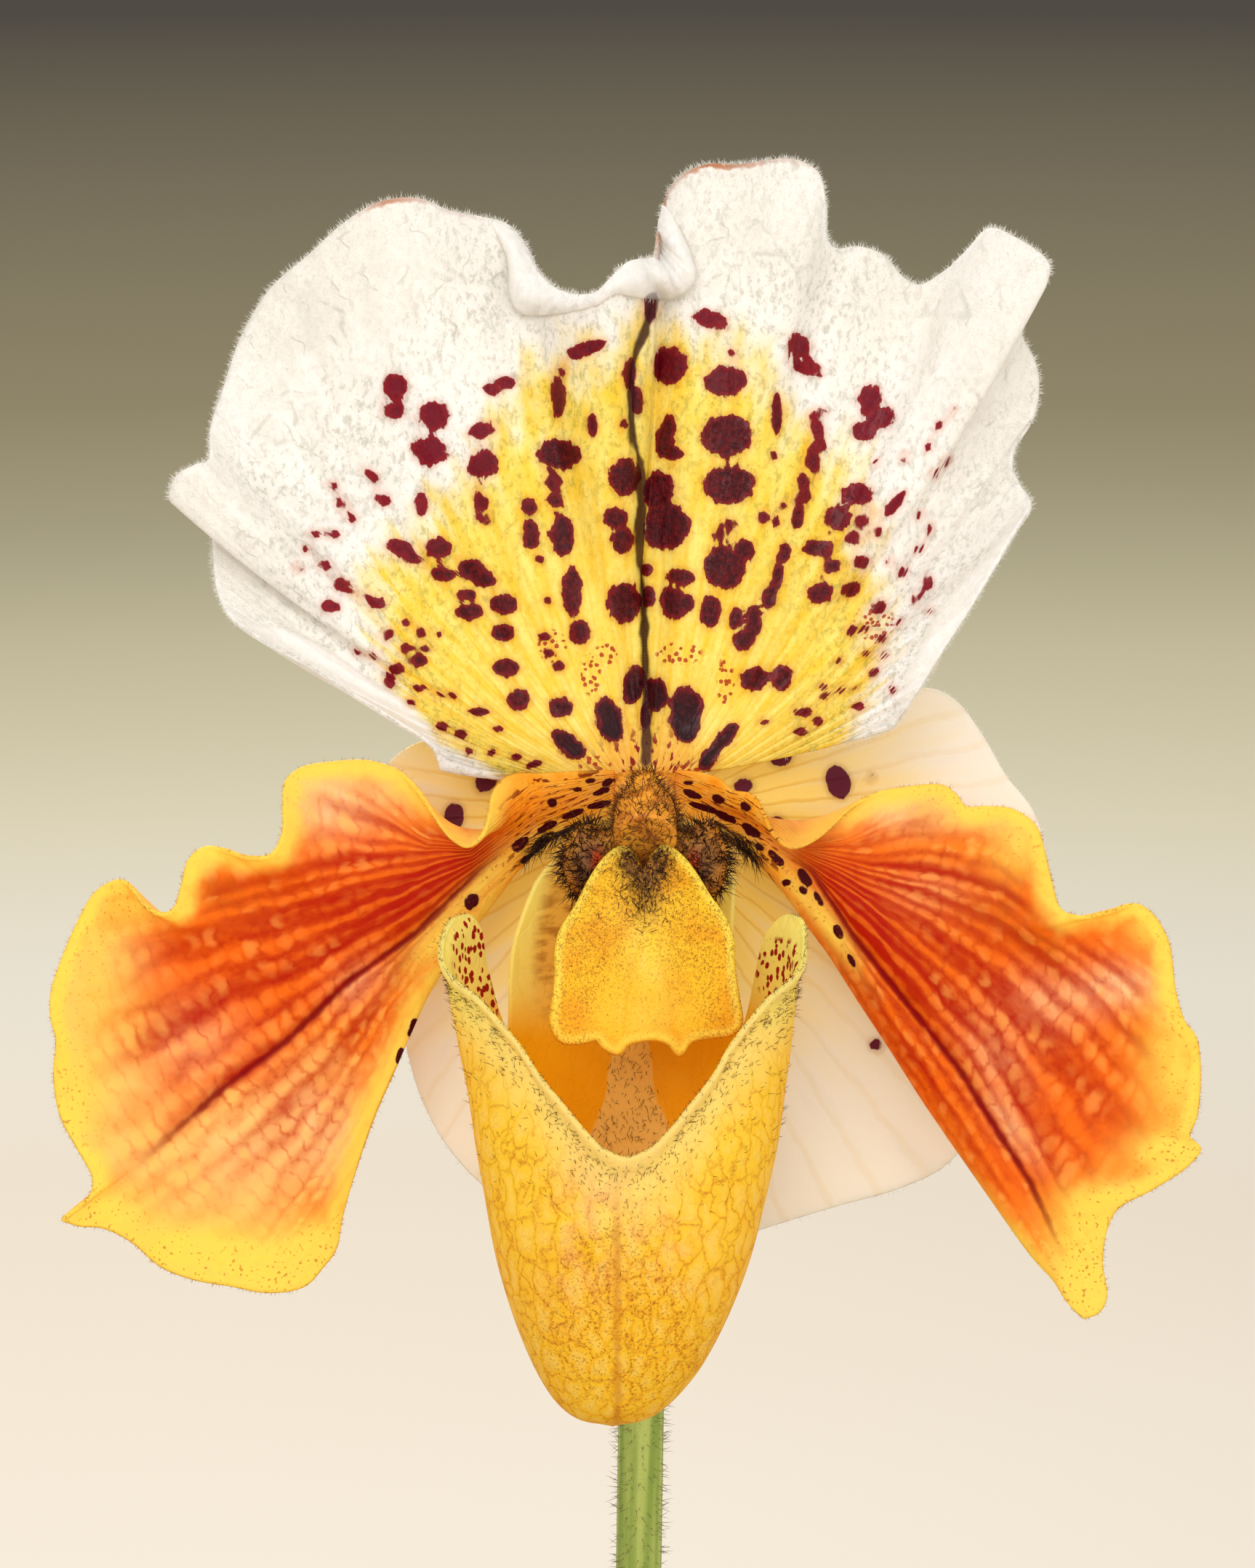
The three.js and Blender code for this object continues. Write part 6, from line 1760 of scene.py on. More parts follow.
@dataclass
class LipPouch:
    """The deep pouch, its rim cut down in front, with an ear at each side and a back wall up to the column.

    Angles run from the front, 0, to the back, 180, and on round to 360.

    Attributes:
        toe: Height of the lowest point in millimetres.
        narrowing: How much narrower the back is than the front.
        thickness: Thickness in millimetres.
        roll: How far the rim rolls outward.
        rows: Rows of faces from toe to rim.
        sides: Faces round it.
    """

    toe: float = -55.7
    narrowing: float = 0.2
    thickness: float = 0.6
    roll: float = 0.75
    rows: int = 96
    sides: int = 288

    def surface(self) -> Sheet:
        """Makes the wall with everything that the finish reads."""
        quick = 1
        rows, sides = self.rows // quick, self.sides // quick
        share, degrees = np.meshgrid(1 - (1 - np.linspace(0, 1, rows + 1)) ** 1.25,
                                     np.arange(sides) * 360 / sides, indexing="ij")
        turn = np.where(degrees > 180, 360 - degrees, degrees)
        top = along(LIP_RIM, turn)
        y = self.toe + (top - self.toe) * share ** 1.6
        front, back = along(LIP_FRONT, y), along(LIP_BACK, y)
        angle = np.radians(degrees)
        narrow = 1 - self.narrowing * (1 - np.cos(np.radians(turn))) / 2
        drop = top - y
        rolled = self.roll * np.exp(-((drop / 1.0) ** 2)) * smooth(125, 95, turn)
        half = along(LIP_HALF_WIDTH, y) * narrow
        x = along(LIP_CENTRE, y) + (half + rolled) * np.sin(angle)
        z = back + (front - back) * (1 + np.cos(angle)) / 2 + rolled * np.cos(angle)
        seen = np.stack([x, y, z], axis=-1).reshape(-1, 3)
        points = PLACE.placed(seen)
        first = lambda i, j: np.where(i == 0, 0, i * sides + j % sides)
        marks = {
            "vein_u": (np.where(degrees > 180, degrees - 360, degrees) / 6.2).ravel(),
            "vein_v": y.ravel(),
            "drop": drop.ravel(),
            "blush": wash(seen, ((-4, -36, 4, 6, 0.8), (3, -40, 3, 4, 0.5), (-7, -42, 3, 5, 0.4))),
            "stipple": wash(seen, ((-2, -48, 9, 7, 1.0), (-3, -40, 5, 8, 0.5), (-14, -34, 3, 9, 0.35))),
            "seam": np.abs(seen[:, 0] + 2.6) + 9 * (turn.ravel() > 60),
            "strip": np.exp(-(((seen[:, 0] + 1.3) / along(LIP_STRIP,
                                                          seen[:, 1])) ** 2)) * (turn.ravel() > 90),
            "dots": wash(seen, LIP_DOTS),
            "wall": smooth(142, 150, turn.ravel()) * smooth(-22, -12, y.ravel()),
        }
        sheet = Sheet(points, grid_quads(rows, sides, first), marks).compacted()
        return sheet.facing(unit(sheet.points - sheet.points.mean(axis=0)))

    def build(self) -> None:
        """Builds the pouch, the hairs below its rim and on its ears, and those of its inner strip."""
        sheet = self.surface()
        finish = PouchFinish("golden netted pouch", glow=0.5)
        add_piece("pouch", in_bloom(sheet.thickened(self.thickness)), finish, ["lip_pouch"])
        drop, front = sheet.marks["drop"], sheet.points[:, 2] > 6
        belt = smooth(0.6, 1.2, drop) * smooth(7, 1.5, drop) * front + 0.1 * smooth(22, 8, drop) * front
        roots, ways = sheet.scatter(1500, belt, seed=41)
        bristles = Bristle(0.62, 0.034, bend=0.35, spread=0.4, seed=42)
        coat = bristles.grow(roots + 0.25 * ways, unit(ways + np.array([0, 0.8, 0])))
        roots, ways = sheet.scatter_border(700, lambda middle: middle[:, 2] > 8, seed=43)
        coat = coat.joined(bristles.grow(roots, ways, 0.7))
        strip = sheet.marks["strip"] > 0.45
        roots, ways = sheet.scatter(420, strip * smooth(-33, -29, sheet.points[:, 1]), seed=44)
        coat = coat.joined(bristles.grow(roots - 0.25 * ways, unit(-ways + np.array([0, -0.6, 0])), 1.2))
        add_piece("pouch_bristles", in_bloom(coat), BROWN_HAIR)


# The column

@dataclass(frozen=True)
class ShieldFinish(Finish):
    """Clear yellow with a brown, hairy patch at the top."""

    yellow: Colour = srgb(252, 194, 26)
    gold: Colour = srgb(243, 168, 10)
    lemon: Colour = srgb(254, 216, 70)
    brown: Colour = srgb(150, 84, 6)

    def paint(self, s: Shading) -> Coat:
        """Paints the shield, its glossy centre with a painted highlight, and the dust of fine hairs."""
        place = s.place()
        broad, fine = s.noise(place, 0.3, 3.0), s.noise(place, 4.5, 2.0, 0.7)
        colour = s.mix(s.ease(broad, 0.35, 0.7), self.yellow, self.gold)
        colour = s.mix(s.ease(s.mark("rim"), 1.0, 0.2), colour, self.lemon)
        # Painted highlight: the glossy middle of the shield is painted paler lemon, besides being smoother.
        colour = s.mix(s.times(s.mark("gloss"), 0.7), colour, self.lemon)
        dust = s.times(s.ease(fine, 0.5, 0.62), s.ease(s.mark("dust"), 0.0, 0.7, 0.35, 1.0))
        colour = s.mix(s.times(dust, 0.55), colour, self.brown)
        colour = s.mix(s.times(s.mark("patch"), s.ease(fine, 0.25, 0.6, 0.5, 1.0)), colour, srgb(104, 52, 12))
        grain = s.effect(Effect.SKIN, Place=place, Size=4.0)
        return Coat(colour, grain.outputs["Height"], s.ease(s.mark("gloss"), 0, 1, 0.55, 0.3))


@dataclass(frozen=True)
class ColumnFinish(Finish):
    """Orange-brown, mottled skin under the hairs."""

    orange: Colour = srgb(236, 156, 40)
    brown: Colour = srgb(170, 88, 16)
    dark: Colour = srgb(62, 28, 10)
    red: Colour = srgb(230, 70, 0)

    def paint(self, s: Shading) -> Coat:
        """Mottles the skin, darkens the anthers and tints the corner above each."""
        place = s.place()
        broad, fine = s.noise(place, 0.7, 3.0), s.noise(place, 3.2, 2.0, 0.7)
        colour = s.mix(s.ease(s.plus(broad, s.times(fine, 0.5)), 0.55, 1.0), self.orange, self.brown)
        colour = s.mix(s.times(s.mark("anther"), s.ease(fine, 0.2, 0.7, 0.6, 1.0)), colour, self.dark)
        colour = s.mix(s.mark("ember"), colour, self.red)
        return Coat(colour, s.plus(broad, fine))


@dataclass
class Column(Tepal):
    """The hairy stub with an anther at each side, and the shield that closes the pouch."""

    left: Points = SHIELD_LEFT_EDGE
    right: Points = SHIELD_RIGHT_EDGE
    midrib: Points = SHIELD_MIDRIB
    fan: float = 0.5
    calm: float = 0.02
    thickness: float = 0.7
    rows: int = 90
    half: int = 36

    core: Points = ((0, 0.6, -2.5), (0, 0.8, 3), (0, 0.2, 7.5), (0, -2.2, 11))
    crest: tuple[Points, Points] = ((0, 1.6, 6.4), (1.5, 2.6, 3.2))
    collar: tuple[Points, Points] = ((0, 2.3, -0.6), (4.4, 1.9, 2.2))
    anther: tuple[Points, Points] = ((5.1, -4.2, 7.8), (2.4, 3.5, 1.6))
    bar: tuple[Points, Points] = ((0, -2.6, 8.2), (5, 1.7, 1.7))
    voxel: float = 0.28

    def relief(self, points: Array) -> Array:
        """Raises the knob in the middle of the shield and the folds below its notch."""
        x, y = points[..., 0], points[..., 1]
        knob = 0.7 * np.exp(-((x / 1.6) ** 2 + ((y + 14.5) / 2.2) ** 2))
        dish = -0.5 * np.exp(-((x / 1.2) ** 2 + ((y + 7.5) / 2.5) ** 2))
        return knob + dish

    def knob(self, place: tuple[Points, Points], side: int = 1) -> Sheet:
        """Makes a rounded lump with a given centre and radii, on one side of the column."""
        centre, radii = (np.asarray(row, dtype=float) for row in place)
        polar = np.linspace(0.001, np.pi - 0.001, 33)
        spine = np.stack([np.zeros(33), -np.cos(polar), np.zeros(33)], axis=1)
        ball = tube(spine, lambda share, turn: np.sin(0.001 + share * (np.pi - 0.002)), 40)
        return Sheet(ball.points * radii + centre * [side, 1, 1], ball.quads)

    def stub(self) -> Sheet:
        """Fuses the stub, its crest, the anthers and the bar between them into one skin."""
        spine = Rail(np.asarray(self.core, dtype=float), rounded=True).evenly(40)
        stem = tube(spine, lambda share, turn: 2.0 + 0.9 * smooth(0.3, 0.85, share), 40)
        lumps = [stem, *(self.knob(part) for part in (self.crest, self.collar, self.bar, self.anther)),
                 self.knob(self.anther, -1)]
        merged = lumps[0]
        for lump in lumps[1:]:
            merged = Sheet(np.vstack([merged.points, lump.points]),
                           np.vstack([merged.quads, lump.quads + len(merged.points)]))
        mesh = bpy.data.meshes.new("column_lumps")
        mesh.from_pydata(merged.points.tolist(), [], whole_faces(merged.quads))
        lump = bpy.data.objects.new("column_lumps", mesh)
        bpy.context.scene.collection.objects.link(lump)
        fuse = lump.modifiers.new("fuse", "REMESH")
        fuse.mode = "VOXEL"
        fuse.voxel_size = self.voxel
        soften = lump.modifiers.new("soften", "SMOOTH")
        soften.iterations = 4
        fused = lump.evaluated_get(bpy.context.evaluated_depsgraph_get()).to_mesh()
        points = np.array([vertex.co for vertex in fused.vertices])
        quads = np.array([[*face.vertices, face.vertices[-1]][:4] for face in fused.polygons])
        bpy.data.objects.remove(lump)
        bpy.data.meshes.remove(mesh)
        return Sheet(points, quads)

    def build(self) -> None:
        """Builds the stub, the shield and their hairs."""
        stub = self.stub()
        seen = PLACE.as_seen(stub.points)
        stub.marks.update(
            anther=wash(seen, ((5.2, -4.6, 2.3, 3.6, 1.0), (-5.2, -4.6, 2.3, 3.6, 1.0),
                               (0, -3.5, 2, 2.5, 0.6))),
            ember=wash(seen, ((4.4, -4.1, 0.5, 0.8, 1.0), (-4.4, -4.1, 0.5, 0.8, 1.0))),
        )
        skin = Body(stub.points, whole_faces(stub.quads), stub.marks)
        add_piece("column_stub", in_bloom(skin), ColumnFinish("hairy column skin"), ["column"])
        shield = self.surface()
        seen = PLACE.as_seen(shield.points)
        shield.marks.update(
            patch=wash(seen, ((0, -5.6, 1.8, 3.6, 1.0), (-1.6, -4.2, 0.8, 1.4, 0.8),
                              (1.5, -4.2, 0.8, 1.4, 0.8))),
            dust=np.clip(smooth(-19, -6, seen[:, 1]) * 0.8 + smooth(3, 7, np.abs(seen[:, 0])), 0, 1),
            # gloss: the smoother middle of the shield, which the finish also paints paler as a highlight.
            gloss=wash(seen, ((0, -14.2, 2.2, 5, 1.0), (0, -18, 5, 2.4, 0.5))),
        )
        finish = ShieldFinish("yellow shield", glow=0.2, relief_mm=0.08)
        add_piece("shield", in_bloom(shield.thickened(self.thickness)), finish)
        self.grow_hairs(stub, shield)

    def grow_hairs(self, stub: Sheet, shield: Sheet) -> None:
        """Grows the hairs of the stub, the anthers and the shield.

        Args:
            stub: Skin of the stub and anthers.
            shield: The shield's middle surface.
        """
        x, z = stub.points[:, 0], stub.points[:, 2]
        front = smooth(2, 6, z)
        dark = front * smooth(2.6, 4.2, np.abs(x))
        roots, ways = stub.scatter(1300, dark, seed=51)
        black = Bristle(1.5, 0.055, bend=0.5, spread=0.6, seed=52).grow(roots, unit(ways + [0, -0.2, 0.4]))
        patch = shield.marks["patch"] * (shield.points[:, 1] > -11)
        roots, ways = shield.scatter(420, patch, seed=53)
        tuft = Bristle(0.7, 0.035, bend=0.4, spread=0.5, seed=54).grow(roots + 0.4 * ways,
                                                                       unit(ways + [0, -1.0, 0]))
        add_piece("column_black_hairs", in_bloom(black.joined(tuft)), BLACK_HAIR)
        roots, ways = stub.scatter(1500, front * smooth(4.6, 3.2, np.abs(x)), seed=55)
        brown = Bristle(1.0, 0.042, bend=0.5, spread=0.7, seed=56).grow(roots, unit(ways + [0, 0.2, 0.3]))
        dust = smooth(-20, -8, shield.points[:, 1]) * smooth(0.6, 3.2, np.abs(shield.points[:, 0]))
        roots, ways = shield.scatter(3000, dust + 0.05, seed=57)
        down = Bristle(0.34, 0.018, bend=0.4, spread=0.5, seed=58).grow(roots + 0.3 * ways,
                                                                        unit(ways + [0, -0.6, 0]))
        add_piece("column_brown_hairs", in_bloom(brown.joined(down)), BROWN_HAIR)


# The stalk

@dataclass(frozen=True)
class StemFinish(Finish):
    """Green skin, flushed with purple-brown, under fine hairs."""

    green: Colour = srgb(128, 148, 60)
    light: Colour = srgb(176, 186, 96)
    flush: Colour = srgb(104, 66, 44)

    def paint(self, s: Shading) -> Coat:
        """Streaks the green along the stalk."""
        place = s.place()
        streak = s.noise(s.vector(s.times(s.mark("turn"), 2.0), s.times(s.mark("share"), 6.0)), 1.0, 3.0)
        fine = s.noise(place, 1.6, 3.0, 0.6)
        colour = s.mix(s.ease(streak, 0.35, 0.7), self.green, self.light)
        colour = s.mix(s.times(s.mark("flush"), s.ease(s.plus(streak, fine), 0.8, 1.3, 0.4, 0.9)), colour,
                       self.flush)
        grain = s.effect(Effect.SKIN, Place=place, Size=3.0)
        return Coat(colour, s.plus(grain.outputs["Height"], s.times(streak, 1.4)))


@dataclass
class Stalk:
    """The scape, the ribbed ovary and the folded bract at its foot."""

    scape_foot: Points = ((0, 0, 74.3), (0.8, -0.5, 130), (-0.6, -7, 200))
    scape_radius: float = 2.2
    ovary: Points = ((0, -0.4, -5), (0, -2.6, -14), (0, -12, -22), (0, -25, -27), (0, -38, -31.5))
    ovary_radius: Points = ((0, 2.4), (0.12, 2.6), (0.4, 3.3), (0.7, 3.1), (1, 2.3))
    ribs: int = 6
    bract_foot: Points = (0, -39.5, -32.2)
    bract_tip: Points = (0, -11, -28.6)
    bract_radius: tuple[float, float] = (3.4, 5.6)
    bract_spread: float = math.radians(128)

    def hairs(self, name: str, skin: Sheet, count: int, seed: int) -> None:
        """Covers a stalk, given in the plant's frame, with fine hairs."""
        roots, ways = skin.scatter(count, np.ones(len(skin.points)), seed)
        down = Bristle(0.95, 0.035, bend=0.3, spread=0.25, seed=seed + 1).grow(roots, ways)
        add_piece(name, down, HairFinish("stalk hairs", foot=srgb(150, 130, 90), point=srgb(120, 84, 66)))

    def build_ovary(self) -> None:
        """Builds the ovary with its six ribs."""
        spine = Rail(np.asarray(self.ovary, dtype=float), rounded=True).evenly(90)

        def radius(share: Array, turn: Array) -> Array:
            """Gives the radius, higher on a rib."""
            return along(self.ovary_radius, share) * (1 + 0.09 * np.cos(self.ribs * turn))

        skin = tube(spine, radius, 72)
        skin = Sheet(PLACE.to_world(skin.points), skin.quads, skin.marks)
        skin.marks["flush"] = 0.3 + 0.4 * smooth(-0.2, 0.8, np.cos(self.ribs * skin.marks["turn"]))
        finish = StemFinish("green stalk", roughness=0.55, relief_mm=0.2)
        add_piece("ribbed_ovary", Body(skin.points, whole_faces(skin.quads), skin.marks), finish,
                  ["ovary"])
        self.hairs("ovary_hairs", skin, 1900, 61)

    def build_scape(self) -> None:
        """Builds the scape from the bark to the foot of the ovary."""
        top = PLACE.to_world(np.asarray(self.ovary[-1], dtype=float)) + np.array([0, 0, -0.6])
        spine = Rail(np.vstack([self.scape_foot, top]).astype(float), rounded=True).evenly(160)
        skin = tube(spine, lambda share, turn: self.scape_radius * (1.12 - 0.12 * share), 36)
        skin.marks["flush"] = smooth(0.9, 0.2, skin.marks["share"])
        finish = StemFinish("green stalk", roughness=0.55, relief_mm=0.2)
        add_piece("hairy_scape", Body(skin.points, whole_faces(skin.quads), skin.marks), finish,
                  ["scape"])
        self.hairs("scape_hairs", skin, 4200, 63)

    def build_bract(self) -> None:
        """Builds the folded bract behind the foot of the ovary."""
        foot, tip = np.asarray(self.bract_foot, dtype=float), np.asarray(self.bract_tip, dtype=float)
        axis = unit(tip - foot)
        sideways = np.array([1.0, 0, 0])
        backward = unit(np.cross(sideways, axis))
        backward = -backward if backward[2] > 0 else backward
        rows, columns = 60, 48
        share = np.linspace(0, 1, rows + 1)[:, None]
        radius = self.bract_radius[0] + (self.bract_radius[1] - self.bract_radius[0]) * share
        angle = self.bract_spread * np.sqrt(1 - 0.985 * share ** 1.6) * np.linspace(-1, 1, columns + 1)[None]
        bow = radius * np.cos(angle) - radius * 0.25
        points = foot + share[..., None] * (tip - foot)
        points = points + (radius * np.sin(angle))[..., None] * sideways + bow[..., None] * backward
        quads = grid_quads(rows, columns, lambda i, j: i * (columns + 1) + j)
        marks = {"share": np.broadcast_to(share, angle.shape).ravel(), "turn": angle.ravel() * 3,
                 "flush": np.broadcast_to(smooth(1, 0.3, share) * 0.5, angle.shape).ravel()}
        sheet = Sheet(PLACE.to_world(points.reshape(-1, 3)), quads, marks).facing(PLACE.axes()[2] * -1)
        finish = StemFinish("green bract", roughness=0.5, glow=0.15, relief_mm=0.2, flush=srgb(120, 84, 52))
        add_piece("folded_bract", sheet.thickened(0.6), finish, ["bract"])

    def build(self) -> None:
        """Builds all three."""
        self.build_ovary()
        self.build_scape()
        self.build_bract()


# The leaves

@dataclass(frozen=True)
class LeafFinish(Finish):
    """A glossy, leathery green with fine lengthwise veins, faint tiles of lighter green and a pale keel."""

    green: Colour = srgb(62, 104, 40)
    deep: Colour = srgb(34, 72, 28)
    light: Colour = srgb(116, 146, 66)
    under: Colour = srgb(132, 158, 88)
    purple: Colour = srgb(92, 48, 52)

    def paint(self, s: Shading) -> Coat:
        """Paints the face, the underside and the spotted foot."""
        place = s.place()
        across, lengthwise = s.mark("across_mm"), s.mark("along_mm")
        grain = s.effect(Effect.SKIN, Place=place, Size=1.6)
        net = s.effect(Effect.VEINS, Across=s.times(across, 0.5), Along=lengthwise, Bead=7.0, Waver=0.2,
                       Width=0.2)
        broad = s.noise(s.vector(s.times(across, 0.12), s.times(lengthwise, 0.03)), 1.0, 3.0)
        face = s.mix(s.ease(broad, 0.35, 0.7), self.green, self.deep)
        tiles = s.times(net.outputs["Bead"], s.ease(net.outputs["Tone"], 0.3, 0.9))
        face = s.mix(s.times(tiles, 0.4), face, self.light)
        face = s.mix(s.times(net.outputs["Line"], 0.3), face, self.deep)
        face = s.mix(s.times(s.ease(s.math("ABSOLUTE", across), 1.1, 0.3), 0.5), face, self.light)
        face = s.mix(s.times(s.ease(s.mark("rim"), 0.7, 0.2), 0.4), face, self.light)
        back = s.mix(s.times(net.outputs["Line"], 0.4), self.under, self.green)
        dots = s.times(s.ease(s.noise(place, 1.1, 2.0, 0.7), 0.5, 0.62), s.ease(lengthwise, 46, 4))
        back = s.mix(s.times(dots, 0.8), back, self.purple)
        colour = s.mix(s.ease(s.mark("side"), 0.2, -0.4), face, back)
        colour = s.mix(s.ease(lengthwise, 14, 2, 0.0, 0.6), colour, srgb(170, 166, 104))
        ridges = s.plus(s.times(grain.outputs["Height"], 0.4), s.times(net.outputs["Line"], -0.8))
        return Coat(colour, ridges, s.ease(grain.outputs["Tone"], 0.3, 0.8, 0.24, 0.42))


LEAF_WIDTH = ((0, 0.28), (0.12, 0.4), (0.3, 0.82), (0.5, 1), (0.72, 0.97), (0.88, 0.74), (0.96, 0.42),
              (1, 0.06))
LEAF_FOLD = ((0, 46), (0.15, 38), (0.4, 20), (0.8, 12), (1, 6))


@dataclass
class Leaf:
    """One strap leaf. It arches in an upright plane, and its lean from upright grows along its length.

    Attributes:
        side: 1 on the right rank, -1 on the left.
        rank: Steps from the innermost leaf.
        length: Length in millimetres.
        width: Greatest width in millimetres.
        lean: Lean from upright at foot and tip, in degrees.
        turn: Turn of its plane about the upright, in degrees.
    """

    side: int
    rank: float
    length: float
    width: float
    lean: tuple[float, float]
    turn: float

    INNERMOST = 5.8
    RANK_STEP = 4.1
    FOOT_HALF_WIDTH = 4.3
    FOOT_HEIGHT = 75.0
    THICKNESS = 1.3

    def surface(self) -> Sheet:
        """Makes the middle surface, folded along its keel and softly waved near its edges."""
        rows, half = 90, 14
        start, growth = math.radians(self.lean[0]), math.radians(self.lean[1] - self.lean[0])
        foot = np.array([self.side * (self.INNERMOST + self.RANK_STEP * self.rank), 0, self.FOOT_HEIGHT])
        turn = math.radians(self.turn)
        heading = self.side * np.array([math.cos(turn), math.sin(turn), 0])
        sideways = np.cross([0, 0, 1], heading)
        share = np.linspace(0, 1, rows + 1)[:, None]
        angle = start + growth * share
        bow = self.length / growth
        spine = foot + bow * ((math.cos(start) - np.cos(angle)) * heading
                              + (np.sin(angle) - math.sin(start)) * np.array([0, 0, 1.0]))
        inward = -np.cos(angle) * heading + np.sin(angle) * np.array([0, 0, 1.0])
        half_width = np.maximum(self.FOOT_HALF_WIDTH * (1 - 3 * share),
                                along(LEAF_WIDTH, share) * self.width / 2)
        fold = np.radians(along(LEAF_FOLD, share))
        step = np.linspace(-1, 1, 2 * half + 1)[None]
        reach = half_width * step
        rounded = np.sqrt(reach ** 2 + 0.8) - 0.9
        wave = 0.5 * np.sin(11 * share + 2 * self.rank + 3 * (step > 0))
        wave = wave * np.abs(step) ** 3 * smooth(0.2, 0.5, share)
        points = spine[:, None] + (reach * np.cos(fold))[..., None] * sideways
        points = points + (rounded * np.sin(fold) + wave)[..., None] * inward[:, None]
        columns = 2 * half
        quads = grid_quads(rows, columns, lambda i, j: i * (columns + 1) + j)
        marks = {
            "across_mm": reach.ravel(),
            "along_mm": np.broadcast_to(share * self.length, reach.shape).ravel(),
            "rim": (half_width - np.abs(reach)).ravel(),
        }
        return Sheet(points.reshape(-1, 3), quads, marks).facing(np.repeat(inward, columns + 1, axis=0))

    def build(self, number: int) -> None:
        """Builds the leaf, thick along its keel and thin at its edge."""
        sheet = self.surface()
        thickness = 0.7 + (self.THICKNESS - 0.7) * np.exp(-((sheet.marks["across_mm"] / 5) ** 2))
        finish = LeafFinish("strap leaf", glow=0.08, relief_mm=0.25)
        add_piece(f"strap_leaf_{number}", sheet.thickened(thickness), finish, [f"leaf_{number}"])


LEAVES = (
    Leaf(1, 0, 138, 31, (4, 62), 9),
    Leaf(-1, 0.35, 152, 33, (6, 74), -12),
    Leaf(1, 1, 168, 36, (13, 88), -10),
    Leaf(-1, 1.35, 176, 37, (16, 98), 12),
    Leaf(1, 2, 172, 37, (26, 108), 14),
    Leaf(-1, 2.35, 166, 36, (30, 114), -8),
    Leaf(1, 3, 128, 33, (34, 112), -6),
)


# The pot and its bark

@dataclass(frozen=True)
class ClayFinish(Finish):
    """Plain fired clay with throwing rings, paler bloom of lime and darker damp near the foot."""

    clay: Colour = srgb(188, 106, 70)
    dark: Colour = srgb(150, 78, 50)
    lime: Colour = srgb(222, 188, 160)
    damp: Colour = srgb(126, 74, 50)

    def paint(self, s: Shading) -> Coat:
        """Paints the clay, its rings, the lime and the damp."""
        place = s.place()
        parts = s.put("ShaderNodeSeparateXYZ", {0: place})
        height = parts.outputs[2]
        broad, fine = s.noise(place, 0.05, 4.0, 0.6), s.noise(place, 1.4, 4.0, 0.7)
        rings = s.noise(s.vector(s.times(parts.outputs[0], 0.01), s.times(parts.outputs[1], 0.01),
                                 s.times(height, 0.9)), 1.0)
        colour = s.mix(s.ease(s.plus(broad, s.times(rings, 0.4)), 0.5, 0.9), self.clay, self.dark)
        lime = s.times(s.ease(s.plus(broad, s.times(fine, 0.5)), 0.72, 1.0),
                       s.ease(height, 20, 92, 0.25, 0.9))
        colour = s.mix(lime, colour, self.lime)
        colour = s.mix(s.times(s.ease(s.plus(height, s.swing(place, 0.08, 26.0)), 20, 4), 0.55), colour,
                       self.damp)
        grit = s.cells(place, 0.9).outputs["Distance"]
        colour = s.mix(s.times(s.ease(grit, 0.16, 0.08), 0.3), colour, self.dark)
        return Coat(colour, s.plus(s.times(rings, 1.2), fine), s.ease(fine, 0.3, 0.7, 0.72, 0.9))


